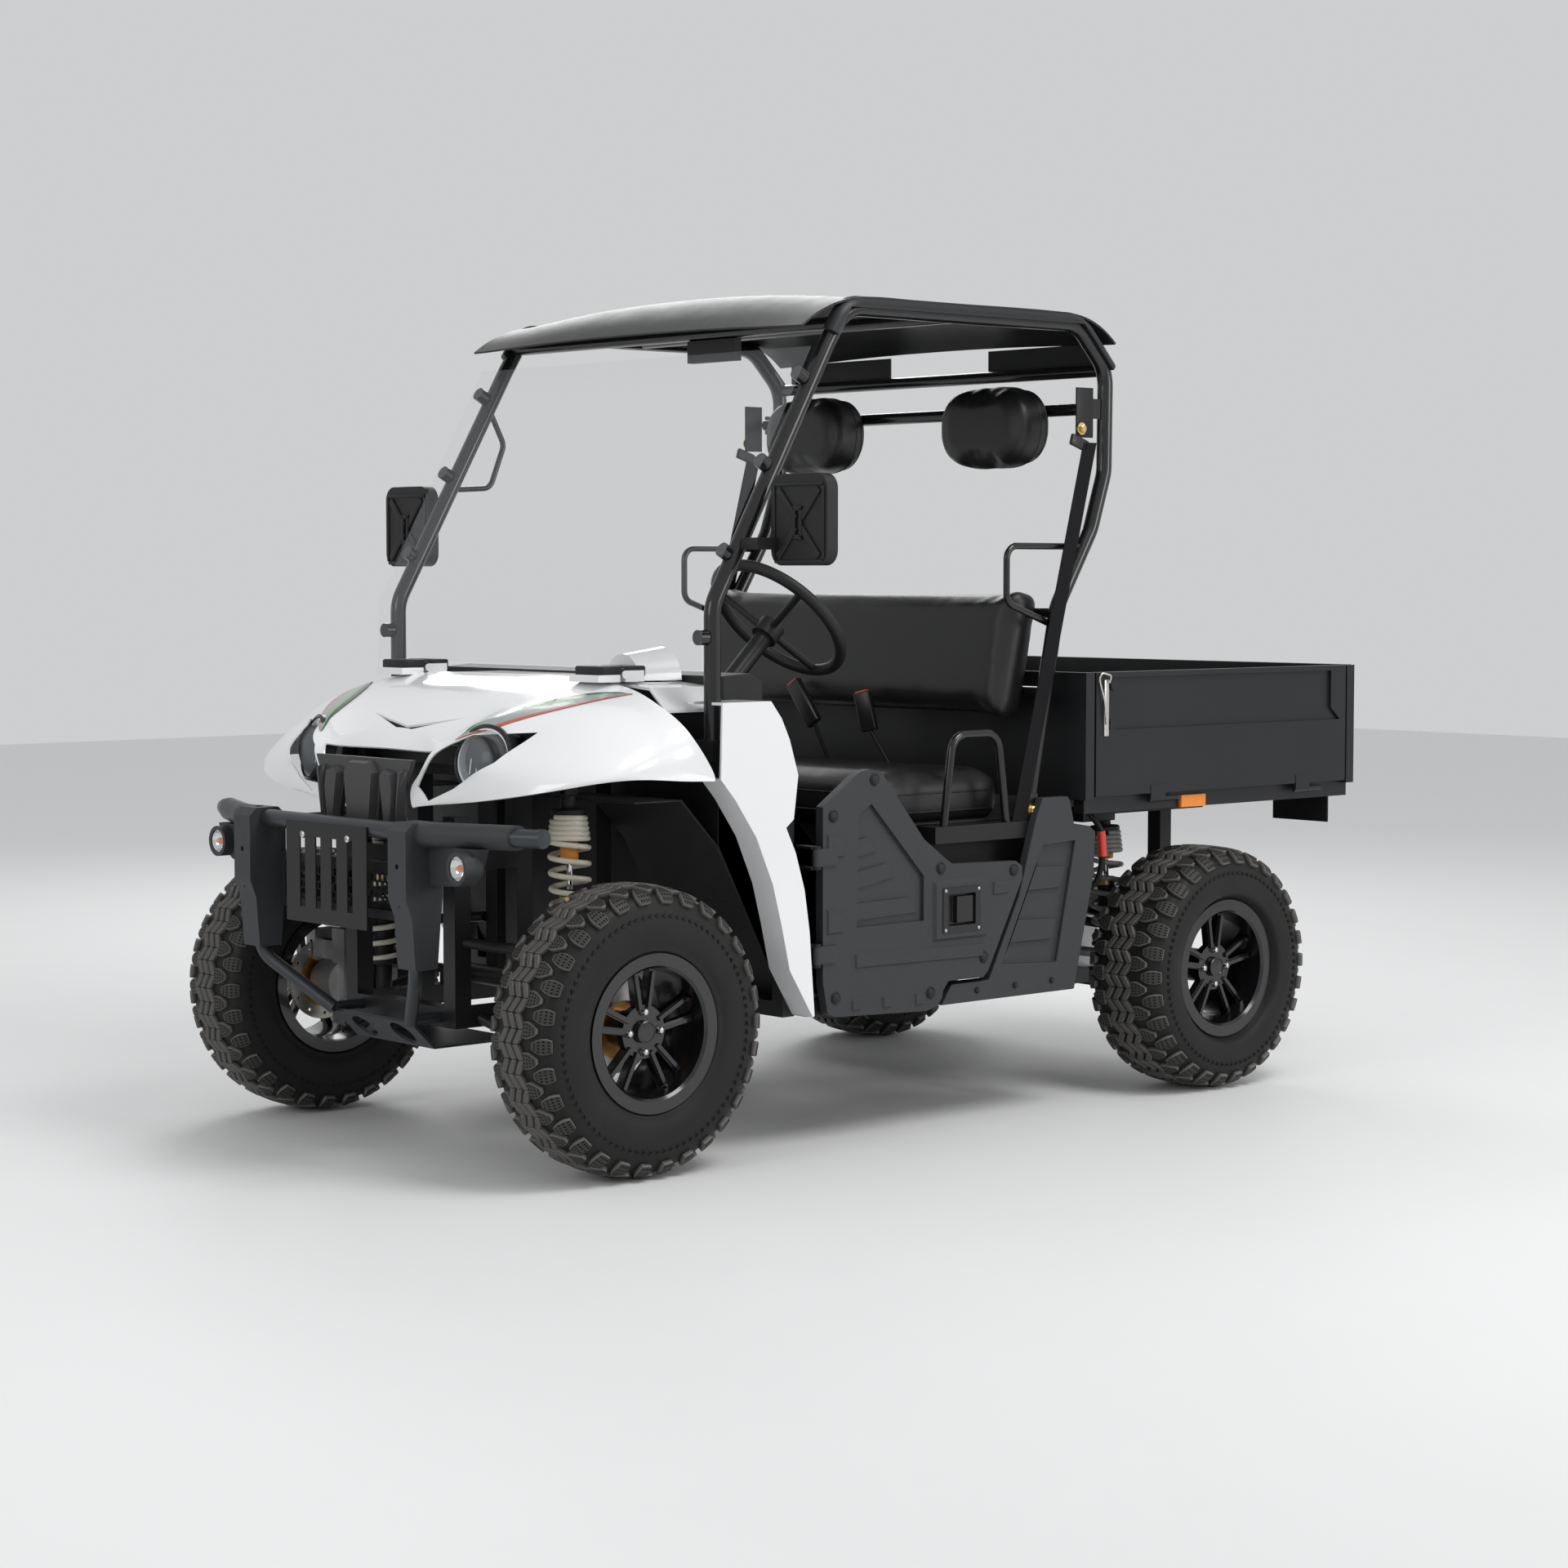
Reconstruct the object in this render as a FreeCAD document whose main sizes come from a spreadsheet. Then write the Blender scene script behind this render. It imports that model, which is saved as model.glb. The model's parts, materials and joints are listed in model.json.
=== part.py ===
import FreeCAD, Part
import Sketcher
import math
import os
import re
from FreeCAD import Placement, Rotation, Vector

# Side by side utility vehicle with a tipping bed.
# Millimetres. +X is the vehicle's left, +Y its rear, +Z up, and the ground is Z 0.
# The origin lies on the ground under the middle of the length and width.
# Places along the vehicle are written as distances behind the front axle.

os.makedirs("parts", exist_ok=True)
doc = FreeCAD.newDocument("utility_vehicle")
sheet = doc.addObject("Spreadsheet::Sheet", "Sizes")
aliases = []
nodes = {}


def enter(values):
    """Adds named sizes to the sheet."""
    for alias, value in values.items():
        aliases.append(alias)
        cell = "B%d" % len(aliases)
        sheet.set("A%d" % len(aliases), alias)
        sheet.set(cell, str(value))
        sheet.setAlias(cell, alias)
    sheet.recompute()


class Reader:
    """Gives a named size of the sheet as a number."""

    def __getattr__(self, alias):
        return float(sheet.get(alias))


s = Reader()


def bound(text):
    """Writes an expression of named sizes the way the sheet is addressed."""
    names = set(aliases)
    return re.sub(r"[A-Za-z_]\w*",
                  lambda m: "Sizes." + m.group(0) if m.group(0) in names else m.group(0),
                  str(text))


def place(obj, at):
    """Binds an object's base point to three expressions."""
    for axis, text in zip("xyz", at):
        obj.setExpression("Placement.Base." + axis, bound(text))


def box(name, size, at):
    """A box whose sides and low corner follow named sizes."""
    obj = doc.addObject("Part::Box", name)
    for side, text in zip(("Length", "Width", "Height"), size):
        obj.setExpression(side, bound(text))
    place(obj, at)
    return obj


TURNS = {"x": Rotation(Vector(0, 1, 0), 90), "y": Rotation(Vector(1, 0, 0), -90),
         "z": Rotation()}


def rod(name, radius, length, at, axis="z"):
    """A cylinder along +X, +Y or +Z from its start point."""
    obj = doc.addObject("Part::Cylinder", name)
    obj.setExpression("Radius", bound(radius))
    obj.setExpression("Height", bound(length))
    obj.Placement = Placement(Vector(), TURNS[axis])
    place(obj, at)
    return obj


def fuse(name, parts):
    """Joins pieces that are welded or moulded together."""
    obj = doc.addObject("Part::MultiFuse", name)
    obj.Shapes = parts
    obj.Refine = True
    return obj


def cut(name, base, tool):
    """Takes one piece's room out of another."""
    obj = doc.addObject("Part::Cut", name)
    obj.Base = base
    obj.Tool = tool
    return obj


def mirror(name, source):
    """The same piece on the vehicle's other side."""
    obj = doc.addObject("Part::Mirroring", name)
    obj.Source = source
    obj.Normal = Vector(1, 0, 0)
    return obj


def group(name, parts):
    """Several solids of one kind that share a node."""
    obj = doc.addObject("Part::Compound", name)
    obj.Links = parts
    return obj


def feature(name, shape):
    """A piece whose form is bent or lofted in space."""
    obj = doc.addObject("Part::Feature", name)
    obj.Shape = shape
    return obj


def node(label, obj):
    """Names a finished sub-part."""
    obj.Label = label
    nodes[label] = obj
    return obj


ROLE = {"xy": "XY_Plane", "xz": "XZ_Plane", "yz": "YZ_Plane"}


def sketch(body, name, plane, points):
    """A closed outline whose corners follow named sizes."""
    drawn = body.newObject("Sketcher::SketchObject", name)
    origin = [f for f in body.Origin.OriginFeatures if f.Role == ROLE[plane]][0]
    drawn.AttachmentSupport = [(origin, "")]
    drawn.MapMode = "FlatFace"
    outline(drawn, points)
    return drawn


def outline(drawn, points):
    """Adds one closed run of lines held by bound distances."""
    first = drawn.GeometryCount
    start = []
    for across, up in points:
        start.append(Vector(number(across), number(up), 0))
    count = len(points)
    for i in range(count):
        drawn.addGeometry(Part.LineSegment(start[i], start[(i + 1) % count]), False)
    for i in range(count):
        drawn.addConstraint(Sketcher.Constraint(
            "Coincident", first + i, 2, first + (i + 1) % count, 1))
    for i, pair in enumerate(points):
        for kind, text, value in (("DistanceX", pair[0], start[i].x),
                                  ("DistanceY", pair[1], start[i].y)):
            index = drawn.addConstraint(Sketcher.Constraint(kind, first + i, 1, value))
            drawn.setExpression("Constraints[%d]" % index, bound(text))


def number(text):
    """The present value of an expression of named sizes."""
    probe = doc.getObject("Probe") or doc.addObject("Part::Feature", "Probe")
    return float(FreeCAD.Units.Quantity(str(probe.evalExpression(bound(text)))).Value)


def body(name, at=("0", "0", "0")):
    """A machined or moulded piece with its own origin."""
    made = doc.addObject("PartDesign::Body", name)
    place(made, at)
    return made


def pad(piece, name, plane, points, length, start="0", midplane=False, more=(), taper=0):
    """Pushes one or more outlines out of a plane that stands at a given offset."""
    drawn = sketch(piece, name + "_outline", plane, points)
    for other in more:
        outline(drawn, other)
    drawn.setExpression("AttachmentOffset.Base.z", bound(start))
    made = piece.newObject("PartDesign::Pad", name)
    made.Profile = drawn
    made.setExpression("Length", bound(length))
    made.Midplane = midplane
    made.TaperAngle = -taper
    return made


def pocket(piece, name, plane, points, length, start="0", reverse=False):
    """Sinks an outline into the piece."""
    drawn = sketch(piece, name + "_outline", plane, points)
    drawn.setExpression("AttachmentOffset.Base.z", bound(start))
    made = piece.newObject("PartDesign::Pocket", name)
    made.Profile = drawn
    made.setExpression("Length", bound(length))
    made.Reversed = reverse
    return made


def revolve(piece, name, points):
    """Turns a profile about the piece's X axis; up in the outline is the radius."""
    drawn = sketch(piece, name + "_outline", "xz", points)
    made = piece.newObject("PartDesign::Revolution", name)
    made.Profile = drawn
    made.ReferenceAxis = (drawn, ["H_Axis"])
    made.Angle = FULL_TURN
    return made


def around(piece, name, features, count):
    """Repeats features round the piece's X axis."""
    made = piece.newObject("PartDesign::PolarPattern", name)
    made.Originals = features
    axis = [f for f in piece.Origin.OriginFeatures if f.Role == "X_Axis"][0]
    made.Axis = (axis, [""])
    made.Angle = FULL_TURN
    made.setExpression("Occurrences", bound(count))
    piece.Tip = made
    return made


def along(text):
    """A place behind the front axle, as an expression."""
    return "((front_overhang - wheelbase - rear_overhang) / 2 + " + text + ")"


def even_ring(count, radius, across, up):
    """The corners of an even polygon, as expressions."""
    corners = []
    for i in range(count):
        turn = 2 * math.pi * (i + 1 / 2) / count
        corners.append(("%s + %s * %.5f" % (across, radius, math.cos(turn)),
                        "%s + %s * %.5f" % (up, radius, math.sin(turn))))
    return corners


def spread(shares, across, up, width, height):
    """Turns an outline's shares into expressions of its piece's own size."""
    return [("%s + %s * %s" % (across, a, width), "%s + %s * %s" % (up, b, height))
            for a, b in shares]


def bent(points, radius, corner, hollow=0):
    """A round tube along straight runs joined by arcs."""
    edges = []
    here = points[0]
    for i in range(1, len(points) - 1):
        back = (points[i - 1] - points[i]).normalize()
        ahead = (points[i + 1] - points[i]).normalize()
        turn = math.pi - back.getAngle(ahead)
        reach = corner * math.tan(turn / 2)
        reach = min(reach, (points[i - 1] - points[i]).Length * BEND_SHARE,
                    (points[i + 1] - points[i]).Length * BEND_SHARE)
        real = reach / math.tan(turn / 2)
        first = points[i] + back * reach
        last = points[i] + ahead * reach
        middle = (back + ahead).normalize()
        centre = points[i] + middle * (real / math.cos(turn / 2))
        edges.append(Part.LineSegment(here, first).toShape())
        edges.append(Part.Arc(first, centre - middle * real, last).toShape())
        here = last
    edges.append(Part.LineSegment(here, points[-1]).toShape())
    path = Part.Wire(edges)
    ring = Part.Wire(Part.makeCircle(radius, points[0], points[1] - points[0]))
    return path.makePipeShell([ring], True, True)


def skin(grid, wall):
    """A panel of even thickness through a grid of outer points, row after row."""
    rows = len(grid)
    count = len(grid[0])
    inner = []
    for i in range(rows):
        line = []
        for j in range(count):
            down = grid[min(i + 1, rows - 1)][j] - grid[max(i - 1, 0)][j]
            over = grid[i][min(j + 1, count - 1)] - grid[i][max(j - 1, 0)]
            line.append(grid[i][j] - down.cross(over).normalize() * wall)
        inner.append(line)
    faces = []
    for points in (grid, inner):
        surface = Part.BSplineSurface()
        surface.interpolate(points)
        faces.append(surface.toShape())
    outer_edges = faces[0].OuterWire.Edges
    for edge in outer_edges:
        middle = edge.valueAt((edge.FirstParameter + edge.LastParameter) / 2)
        twin = min(faces[1].OuterWire.Edges,
                   key=lambda e: e.valueAt((e.FirstParameter + e.LastParameter) / 2)
                   .distanceToPoint(middle))
        faces.append(Part.makeRuledSurface(edge, twin))
    shell = Part.makeShell(faces)
    shell.sewShape()
    solid = Part.makeSolid(shell)
    if solid.Volume < 0:
        solid.reverse()
    return solid


def both_sides(half):
    """Mirrors the rows of a left half grid about the middle row."""
    other = [[Vector(-p.x, p.y, p.z) for p in row] for row in half[:0:-1]]
    return other + half


FULL_TURN = 360
BEND_SHARE = 0.49

# Driving dimensions of the whole vehicle
vehicle_sizes = {
    "wheelbase": 1855, "front_overhang": 392, "rear_overhang": 569, "half_track": 600,
    "overrun": 20, "seat_gap": 0.3, "shaft_gap": 0.05}
enter(vehicle_sizes)
axle = (s.front_overhang - s.wheelbase - s.rear_overhang) / 2
MIDDLE_FRONT = along("0")
MIDDLE_REAR = along("wheelbase")


def spot(x, behind_axle, z):
    """A point by its place behind the front axle."""
    return Vector(x, axle + behind_axle, z)


# Tyres
tyre_sizes = {
    "front_tyre_radius": 317, "front_tyre_width": 205, "rear_tyre_radius": 305,
    "rear_tyre_width": 238, "bead_radius": 152, "tyre_wall": 14, "rim_lip_radius": 172,
    "rim_half_width": 89}
enter(tyre_sizes)
TYRE_SHARES = [(0.985, 0.27), (1, 0.48), (0.96, 0.70), (0.93, 0.89), (0.80, 0.965), (0.42, 1)]


def tyre(name, radius, width, at):
    """A hollow tyre with square shoulders, turned about its axle."""
    made = body(name, at)
    half = "%s / 2" % width
    depth = "(%s - bead_radius)" % radius
    bead = "rim_half_width - seat_gap"
    outer = [(bead, "bead_radius"), (bead, "rim_lip_radius + seat_gap")]
    inner = [(bead + " - tyre_wall", "bead_radius"),
             (bead + " - tyre_wall", "rim_lip_radius + seat_gap")]
    for a, b in TYRE_SHARES:
        outer.append(("%s * %s" % (a, half), "bead_radius + %s * %s" % (b, depth)))
        inner.append(("%s * (%s - tyre_wall)" % (a, half),
                      "bead_radius + %s * (%s - tyre_wall)" % (b, depth)))
    profile = [("-(%s)" % a, b) for a, b in outer] + outer[::-1]
    profile += inner + [("-(%s)" % a, b) for a, b in inner[::-1]]
    revolve(made, name + "_turned", profile)
    return made


front_at = ("half_track", MIDDLE_FRONT, "front_tyre_radius")
rear_at = ("half_track", MIDDLE_REAR, "rear_tyre_radius")
tyre_fl = node("tyre_fl", tyre("TyreFrontLeft", "front_tyre_radius", "front_tyre_width", front_at))
tyre_rl = node("tyre_rl", tyre("TyreRearLeft", "rear_tyre_radius", "rear_tyre_width", rear_at))
node("tyre_fr", mirror("TyreFrontRight", tyre_fl))
node("tyre_rr", mirror("TyreRearRight", tyre_rl))

# Rims: a drop-centre barrel, a spoked face and the hub that runs on the stub axle
rim_sizes = {
    "rim_wall": 6, "rim_well_radius": 135, "rim_face_x": 34, "rim_face_depth": 20,
    "rim_centre_radius": 58, "hub_radius": 42, "hub_inner_x": -42, "stub_radius": 20,
    "spoke_pairs": 5, "spoke_root": 46, "spoke_width": 15, "spoke_lean": 17,
    "spoke_root_lean": 3.4, "spoke_bevel": 3, "spoke_ridge": 6, "cap_radius": 26,
    "cap_height": 9, "lug_radius": 9, "lug_circle": 43, "lug_height": 16, "lug_count": 4}
enter(rim_sizes)
HEX = 6


def rim(name, at):
    """A cast wheel, with its hub, its centre cap and its lug nuts."""
    made = body(name, at)
    barrel = [("-rim_half_width", "bead_radius - seat_gap"),
              ("-rim_half_width", "rim_lip_radius"),
              ("-rim_half_width - rim_wall", "rim_lip_radius"),
              ("-rim_half_width - rim_wall", "bead_radius - rim_wall"),
              ("-rim_half_width / 2", "rim_well_radius"),
              ("rim_half_width * 0.6", "rim_well_radius"),
              ("rim_half_width", "bead_radius - 2 * rim_wall"),
              ("rim_half_width + rim_wall", "bead_radius - rim_wall"),
              ("rim_half_width + rim_wall", "rim_lip_radius"),
              ("rim_half_width", "rim_lip_radius"),
              ("rim_half_width", "bead_radius - seat_gap"),
              ("rim_half_width * 0.5", "rim_well_radius + rim_wall"),
              ("-rim_half_width * 0.4", "rim_well_radius + rim_wall")]
    revolve(made, name + "_barrel", barrel)
    hub = [("hub_inner_x", "stub_radius + shaft_gap"), ("hub_inner_x", "hub_radius"),
           ("rim_face_x", "hub_radius"), ("rim_face_x", "rim_centre_radius"),
           ("rim_face_x + rim_face_depth", "rim_centre_radius"),
           ("rim_face_x + rim_face_depth", "stub_radius + shaft_gap")]
    revolve(made, name + "_hub", hub)
    blades = []
    ridges = []
    for side in (1, -1):
        blades.append([
            ("%d * spoke_root_lean" % side, "spoke_root"),
            ("%d * (spoke_root_lean + spoke_width)" % side, "spoke_root"),
            ("%d * (spoke_lean + spoke_width)" % side, "rim_well_radius + rim_wall / 2"),
            ("%d * spoke_lean" % side, "rim_well_radius + rim_wall / 2")])
        ridges.append([
            ("%d * (spoke_root_lean + spoke_bevel)" % side, "spoke_root"),
            ("%d * (spoke_root_lean + spoke_width - spoke_bevel)" % side, "spoke_root"),
            ("%d * (spoke_lean + spoke_width - spoke_bevel)" % side, "rim_well_radius - rim_wall"),
            ("%d * (spoke_lean + spoke_bevel)" % side, "rim_well_radius - rim_wall")])
    arms = pad(made, name + "_spokes", "yz", blades[0], "rim_face_depth", "rim_face_x",
               more=blades[1:])
    ribs = pad(made, name + "_ridges", "yz", ridges[0], "spoke_ridge",
               "rim_face_x + rim_face_depth", more=ridges[1:])
    around(made, name + "_spoke_ring", [arms, ribs], "spoke_pairs")
    nut = pad(made, name + "_nut", "yz", even_ring(HEX, "lug_radius", "0", "lug_circle"),
              "lug_height", "rim_face_x + rim_face_depth - rim_wall")
    around(made, name + "_nuts", [nut], "lug_count")
    cap = [("rim_face_x + rim_face_depth - rim_wall", "0"),
           ("rim_face_x + rim_face_depth - rim_wall", "cap_radius"),
           ("rim_face_x + rim_face_depth + cap_height", "cap_radius * 0.85"),
           ("rim_face_x + rim_face_depth + cap_height", "0")]
    made.Tip = revolve(made, name + "_cap", cap)
    return made


rim_fl = node("rim_fl", rim("RimFrontLeft", front_at))
rim_rl = node("rim_rl", rim("RimRearLeft", rear_at))
node("rim_fr", mirror("RimFrontRight", rim_fl))
node("rim_rr", mirror("RimRearRight", rim_rl))

# Front brake discs, each on its wheel's hub
disc_sizes = {
    "disc_radius": 98, "disc_thickness": 5, "disc_x": -34, "disc_hole_radius": 4,
    "disc_hole_circle": 84, "disc_holes": 12}
enter(disc_sizes)


def disc(name, at):
    """A drilled brake disc on the hub's inner end."""
    made = body(name, at)
    revolve(made, name + "_plate",
            [("disc_x", "hub_radius + seat_gap"), ("disc_x", "disc_radius"),
             ("disc_x + disc_thickness", "disc_radius"),
             ("disc_x + disc_thickness", "hub_radius + seat_gap")])
    hole = made.newObject("Sketcher::SketchObject", name + "_hole_outline")
    origin = [f for f in made.Origin.OriginFeatures if f.Role == "YZ_Plane"][0]
    hole.AttachmentSupport = [(origin, "")]
    hole.MapMode = "FlatFace"
    hole.addGeometry(Part.Circle(Vector(0, s.disc_hole_circle, 0), Vector(0, 0, 1),
                                 s.disc_hole_radius), False)
    index = hole.addConstraint(Sketcher.Constraint("Radius", 0, s.disc_hole_radius))
    hole.setExpression("Constraints[%d]" % index, bound("disc_hole_radius"))
    index = hole.addConstraint(Sketcher.Constraint("DistanceX", 0, 3, 0))
    index = hole.addConstraint(Sketcher.Constraint("DistanceY", 0, 3, s.disc_hole_circle))
    hole.setExpression("Constraints[%d]" % index, bound("disc_hole_circle"))
    hole.setExpression("AttachmentOffset.Base.z", bound("disc_x - overrun"))
    drill = made.newObject("PartDesign::Pocket", name + "_hole")
    drill.Profile = hole
    drill.Reversed = True
    drill.setExpression("Length", bound("disc_thickness + 2 * overrun"))
    around(made, name + "_holes", [drill], "disc_holes")
    return made


disc_fl = node("brake_disc_fl", disc("DiscFrontLeft", front_at))
node("brake_disc_fr", mirror("DiscFrontRight", disc_fl))

# Frame: lower rails, sills, cross members, front tower and the bed's subframe
frame_sizes = {
    "beam": 44, "sill_beam": 36, "rail_x": 190, "frame_low": 291, "frame_top": 335,
    "frame_front": -130, "floor_front": 500, "bulkhead_y": 905, "seat_rear": 1300,
    "frame_kick": 1440, "deck_top": 705, "deck_beam": 40, "outrigger_half": 612,
    "tower_y": 20, "tower_top": 852, "cowl_beam_y": 245, "cowl_beam_top": 930,
    "bed_rail_top": 712, "bed_rail_rear": 2252, "bed_rail_x": 250, "rear_post_y": 2080,
    "door_post_x": 575, "door_post_y": 470, "door_post_top": 800, "sill_outer": 620,
    "front_rail_z": 640, "rear_rail_low": 420, "front_post_top": 760, "lamp_bar_low": 866,
    "hitch_y": 2262, "hitch_half": 60, "hitch_sheet": 10, "hitch_hole": 9.8, "hitch_margin": 36}
enter(frame_sizes)

# Places that the frame shares with the headlights it carries
lamp_place_sizes = {
    "lens_x": 329, "lens_radius": 56, "bezel_front": -108, "bezel_depth": 30}
enter(lamp_place_sizes)


def frame():
    """Welded square tubes from the bumper mounts to the bed's rear."""
    parts = []

    def bar(name, size, at):
        parts.append(box(name, size, at))

    for side, sign in (("Left", 1), ("Right", -1)):
        inner = "%d * rail_x - beam / 2" % sign
        bar("Rail" + side, ("beam", "frame_kick - frame_front", "beam"),
            (inner, along("frame_front"), "frame_low"))
        bar("Kick" + side, ("beam", "beam", "bed_rail_top - frame_low"),
            (inner, along("frame_kick - beam"), "frame_low"))
        bar("Tower" + side, ("beam", "beam", "tower_top - frame_low"),
            (inner, along("tower_y - beam / 2"), "frame_low"))
        bar("CowlPost" + side, ("beam", "beam", "cowl_beam_top - frame_low"),
            (inner, along("cowl_beam_y - beam / 2"), "frame_low"))
        bar("FrontRail" + side, ("beam", "tower_y - frame_front + beam", "beam"),
            (inner, along("frame_front - beam"), "front_rail_z"))
        bar("FrontPost" + side, ("beam", "beam", "front_post_top - frame_low"),
            (inner, along("frame_front - beam"), "frame_low"))
        bar("LampPost" + side, ("beam", "beam / 2", "lamp_bar_low + beam - front_rail_z - beam"),
            (inner, along("bezel_front + bezel_depth + seat_gap"), "front_rail_z + beam"))
        bar("BedRail" + side, ("beam", "bed_rail_rear - seat_rear", "beam"),
            ("%d * bed_rail_x - beam / 2" % sign, along("seat_rear"), "bed_rail_top - beam"))
        bar("RearPost" + side, ("beam", "beam", "bed_rail_top - rear_rail_low"),
            ("%d * bed_rail_x - beam / 2" % sign, along("rear_post_y"), "rear_rail_low"))
        bar("RearRail" + side, ("beam", "rear_post_y - frame_kick + 2 * beam", "beam"),
            (inner, along("frame_kick - beam"), "rear_rail_low"))
        edge = "sill_outer - sill_beam" if sign > 0 else "-sill_outer"
        bar("Sill" + side, ("sill_beam", "frame_kick - floor_front - beam", "sill_beam"),
            (edge, along("floor_front"), "frame_top - sill_beam"))
        bar("DoorPost" + side, ("sill_beam", "sill_beam", "door_post_top - frame_top + sill_beam"),
            ("%d * door_post_x - sill_beam / 2" % sign,
             along("door_post_y - sill_beam / 2"), "frame_top - sill_beam"))
        bar("SeatPost" + side, ("beam", "beam", "deck_top - frame_top"),
            (inner, along("bulkhead_y + beam"), "frame_top"))
        edge = "sill_outer - outrigger_half * 0.1" if sign > 0 else "-sill_outer"
        bar("DeckEnd" + side, ("outrigger_half * 0.1", "seat_rear - bulkhead_y", "deck_beam"),
            (edge, along("bulkhead_y"), "deck_top - deck_beam"))
    parts.append(box("LampBar", ("2 * (lens_x + lens_radius)", "beam / 2", "beam"),
                     ("-(lens_x + lens_radius)", along("bezel_front + bezel_depth + seat_gap"),
                      "lamp_bar_low")))
    across = (("Floor", "floor_front", "frame_top - sill_beam", "sill_outer", "sill_beam"),
              ("Bulkhead", "bulkhead_y", "frame_top - sill_beam", "sill_outer", "sill_beam"),
              ("Kick", "frame_kick - beam", "frame_top - sill_beam", "sill_outer", "sill_beam"),
              ("DeckFront", "bulkhead_y + beam", "deck_top - deck_beam", "sill_outer", "deck_beam"),
              ("DeckRear", "seat_rear - deck_beam", "deck_top - deck_beam", "sill_outer", "deck_beam"),
              ("Cowl", "cowl_beam_y - beam / 2", "cowl_beam_top - beam", "sill_outer", "beam"),
              ("Front", "frame_front - beam", "frame_low", "rail_x + beam / 2", "beam"),
              ("FrontTop", "frame_front - beam", "front_rail_z", "rail_x + beam / 2", "beam"),
              ("Door", "door_post_y - sill_beam / 2", "frame_top - sill_beam",
               "door_post_x + sill_beam / 2", "sill_beam"),
              ("Rear", "rear_post_y", "bed_rail_top - beam", "bed_rail_x + beam / 2", "beam"),
              ("RearLow", "rear_post_y", "rear_rail_low", "bed_rail_x + beam / 2", "beam"),
              ("Tail", "bed_rail_rear - beam", "bed_rail_top - beam", "bed_rail_x + beam / 2", "beam"))
    for name, y, z, half, thick in across:
        bar("Cross" + name, ("2 * (%s)" % half, thick, thick), ("-(%s)" % half, along(y), z))
    return fuse("FrameTubes", parts)


frame_tubes = frame()

# Shock towers reach out from the front tower to the upper shock eyes
shock_place_sizes = {
    "shock_top_x": 350, "shock_top_z": 816, "shock_low_x": 366, "shock_y": 35,
    "shock_radius": 34, "rod_radius": 11, "coil_count": 8, "shock_eye": 16}
enter(shock_place_sizes)
shock_arm = box("ShockBeam", ("2 * (shock_top_x + shock_eye)", "beam", "sill_beam"),
                ("-(shock_top_x + shock_eye)", along("tower_y - beam / 2"),
                 "tower_top - sill_beam / 2"))
hitch = cut("HitchPlate", box("HitchSheet", ("2 * hitch_half", "hitch_y + hitch_margin - rear_post_y",
                                             "hitch_sheet"),
                              ("-hitch_half", along("rear_post_y"), "rear_rail_low - hitch_sheet")),
            rod("HitchHole", "hitch_hole", "hitch_sheet + 2 * overrun",
                ("0", along("hitch_y"), "rear_rail_low - hitch_sheet - overrun")))


# The bed's rear pivot: two lugs and a pin on the end of each bed rail
pivot_sizes = {
    "pivot_y": 2240, "pivot_z": 724, "pivot_radius": 10, "pivot_pin": 5, "pivot_lug": 7,
    "running_gap": 0.5}
enter(pivot_sizes)
pivots = []
for side, x in (("Left", "bed_rail_x"), ("Right", "-bed_rail_x")):
    for end, low in (("In", x + " - beam / 2"), ("Out", x + " + beam / 2 - pivot_lug")):
        pivots.append(box("PivotLug" + side + end,
                          ("pivot_lug", "2 * pivot_radius", "pivot_z - bed_rail_top"),
                          (low, along("pivot_y - pivot_radius"), "bed_rail_top")))
        pivots.append(rod("PivotEar" + side + end, "pivot_radius", "pivot_lug",
                          (low, along("pivot_y"), "pivot_z"), "x"))
    pivots.append(rod("PivotPin" + side, "pivot_pin", "beam",
                      (x + " - beam / 2", along("pivot_y"), "pivot_z"), "x"))
node("frame", fuse("Frame", [frame_tubes, shock_arm, hitch] + pivots))

# Floor pan: a flat floor, a raked toe board and the firewall
floor_sizes = {
    "floor_sheet": 4, "toe_y": 372, "toe_z": 560, "firewall_y": 300, "firewall_top": 990, "toe_half": 550}
enter(floor_sizes)
floor = body("FloorPan")
FLOOR = [(along("door_post_y + sill_beam / 2"), "frame_top"),
         (along("bulkhead_y - seat_gap"), "frame_top"),
         (along("bulkhead_y - seat_gap"), "frame_top + floor_sheet"),
         (along("door_post_y + sill_beam / 2"), "frame_top + floor_sheet"),
         (along("toe_y + floor_sheet"), "toe_z"), (along("firewall_y + floor_sheet"), "toe_z + beam * 3"),
         (along("firewall_y + floor_sheet"), "firewall_top"), (along("firewall_y"), "firewall_top"),
         (along("firewall_y"), "toe_z + beam * 3"), (along("toe_y"), "toe_z")]
floor_pad = pad(floor, "FloorPad", "yz", FLOOR, "2 * toe_half", midplane=True)
node("floor_pan", floor)

# Seat box: a moulded front wall and deck over the battery, with side walls
seat_box_sizes = {
    "box_half": 556, "box_wall": 5, "box_front": 870}
enter(seat_box_sizes)
seat_cover = body("SeatCover")
DECK = [(along("box_front"), "frame_top + floor_sheet"),
        (along("box_front + box_wall"), "frame_top + floor_sheet"),
        (along("box_front + box_wall"), "deck_top"), (along("seat_rear"), "deck_top"),
        (along("seat_rear"), "deck_top + box_wall"),
        (along("box_front"), "deck_top + box_wall")]
pad(seat_cover, "SeatDeck", "yz", DECK, "2 * box_half", midplane=True)
side_wall = box("SeatSide", ("box_wall", "frame_kick - beam - box_front - 2 * box_wall",
                             "deck_top - deck_beam - frame_top - floor_sheet - seat_gap"),
                ("box_half - box_wall", along("box_front + box_wall"), "frame_top + floor_sheet"))
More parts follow.
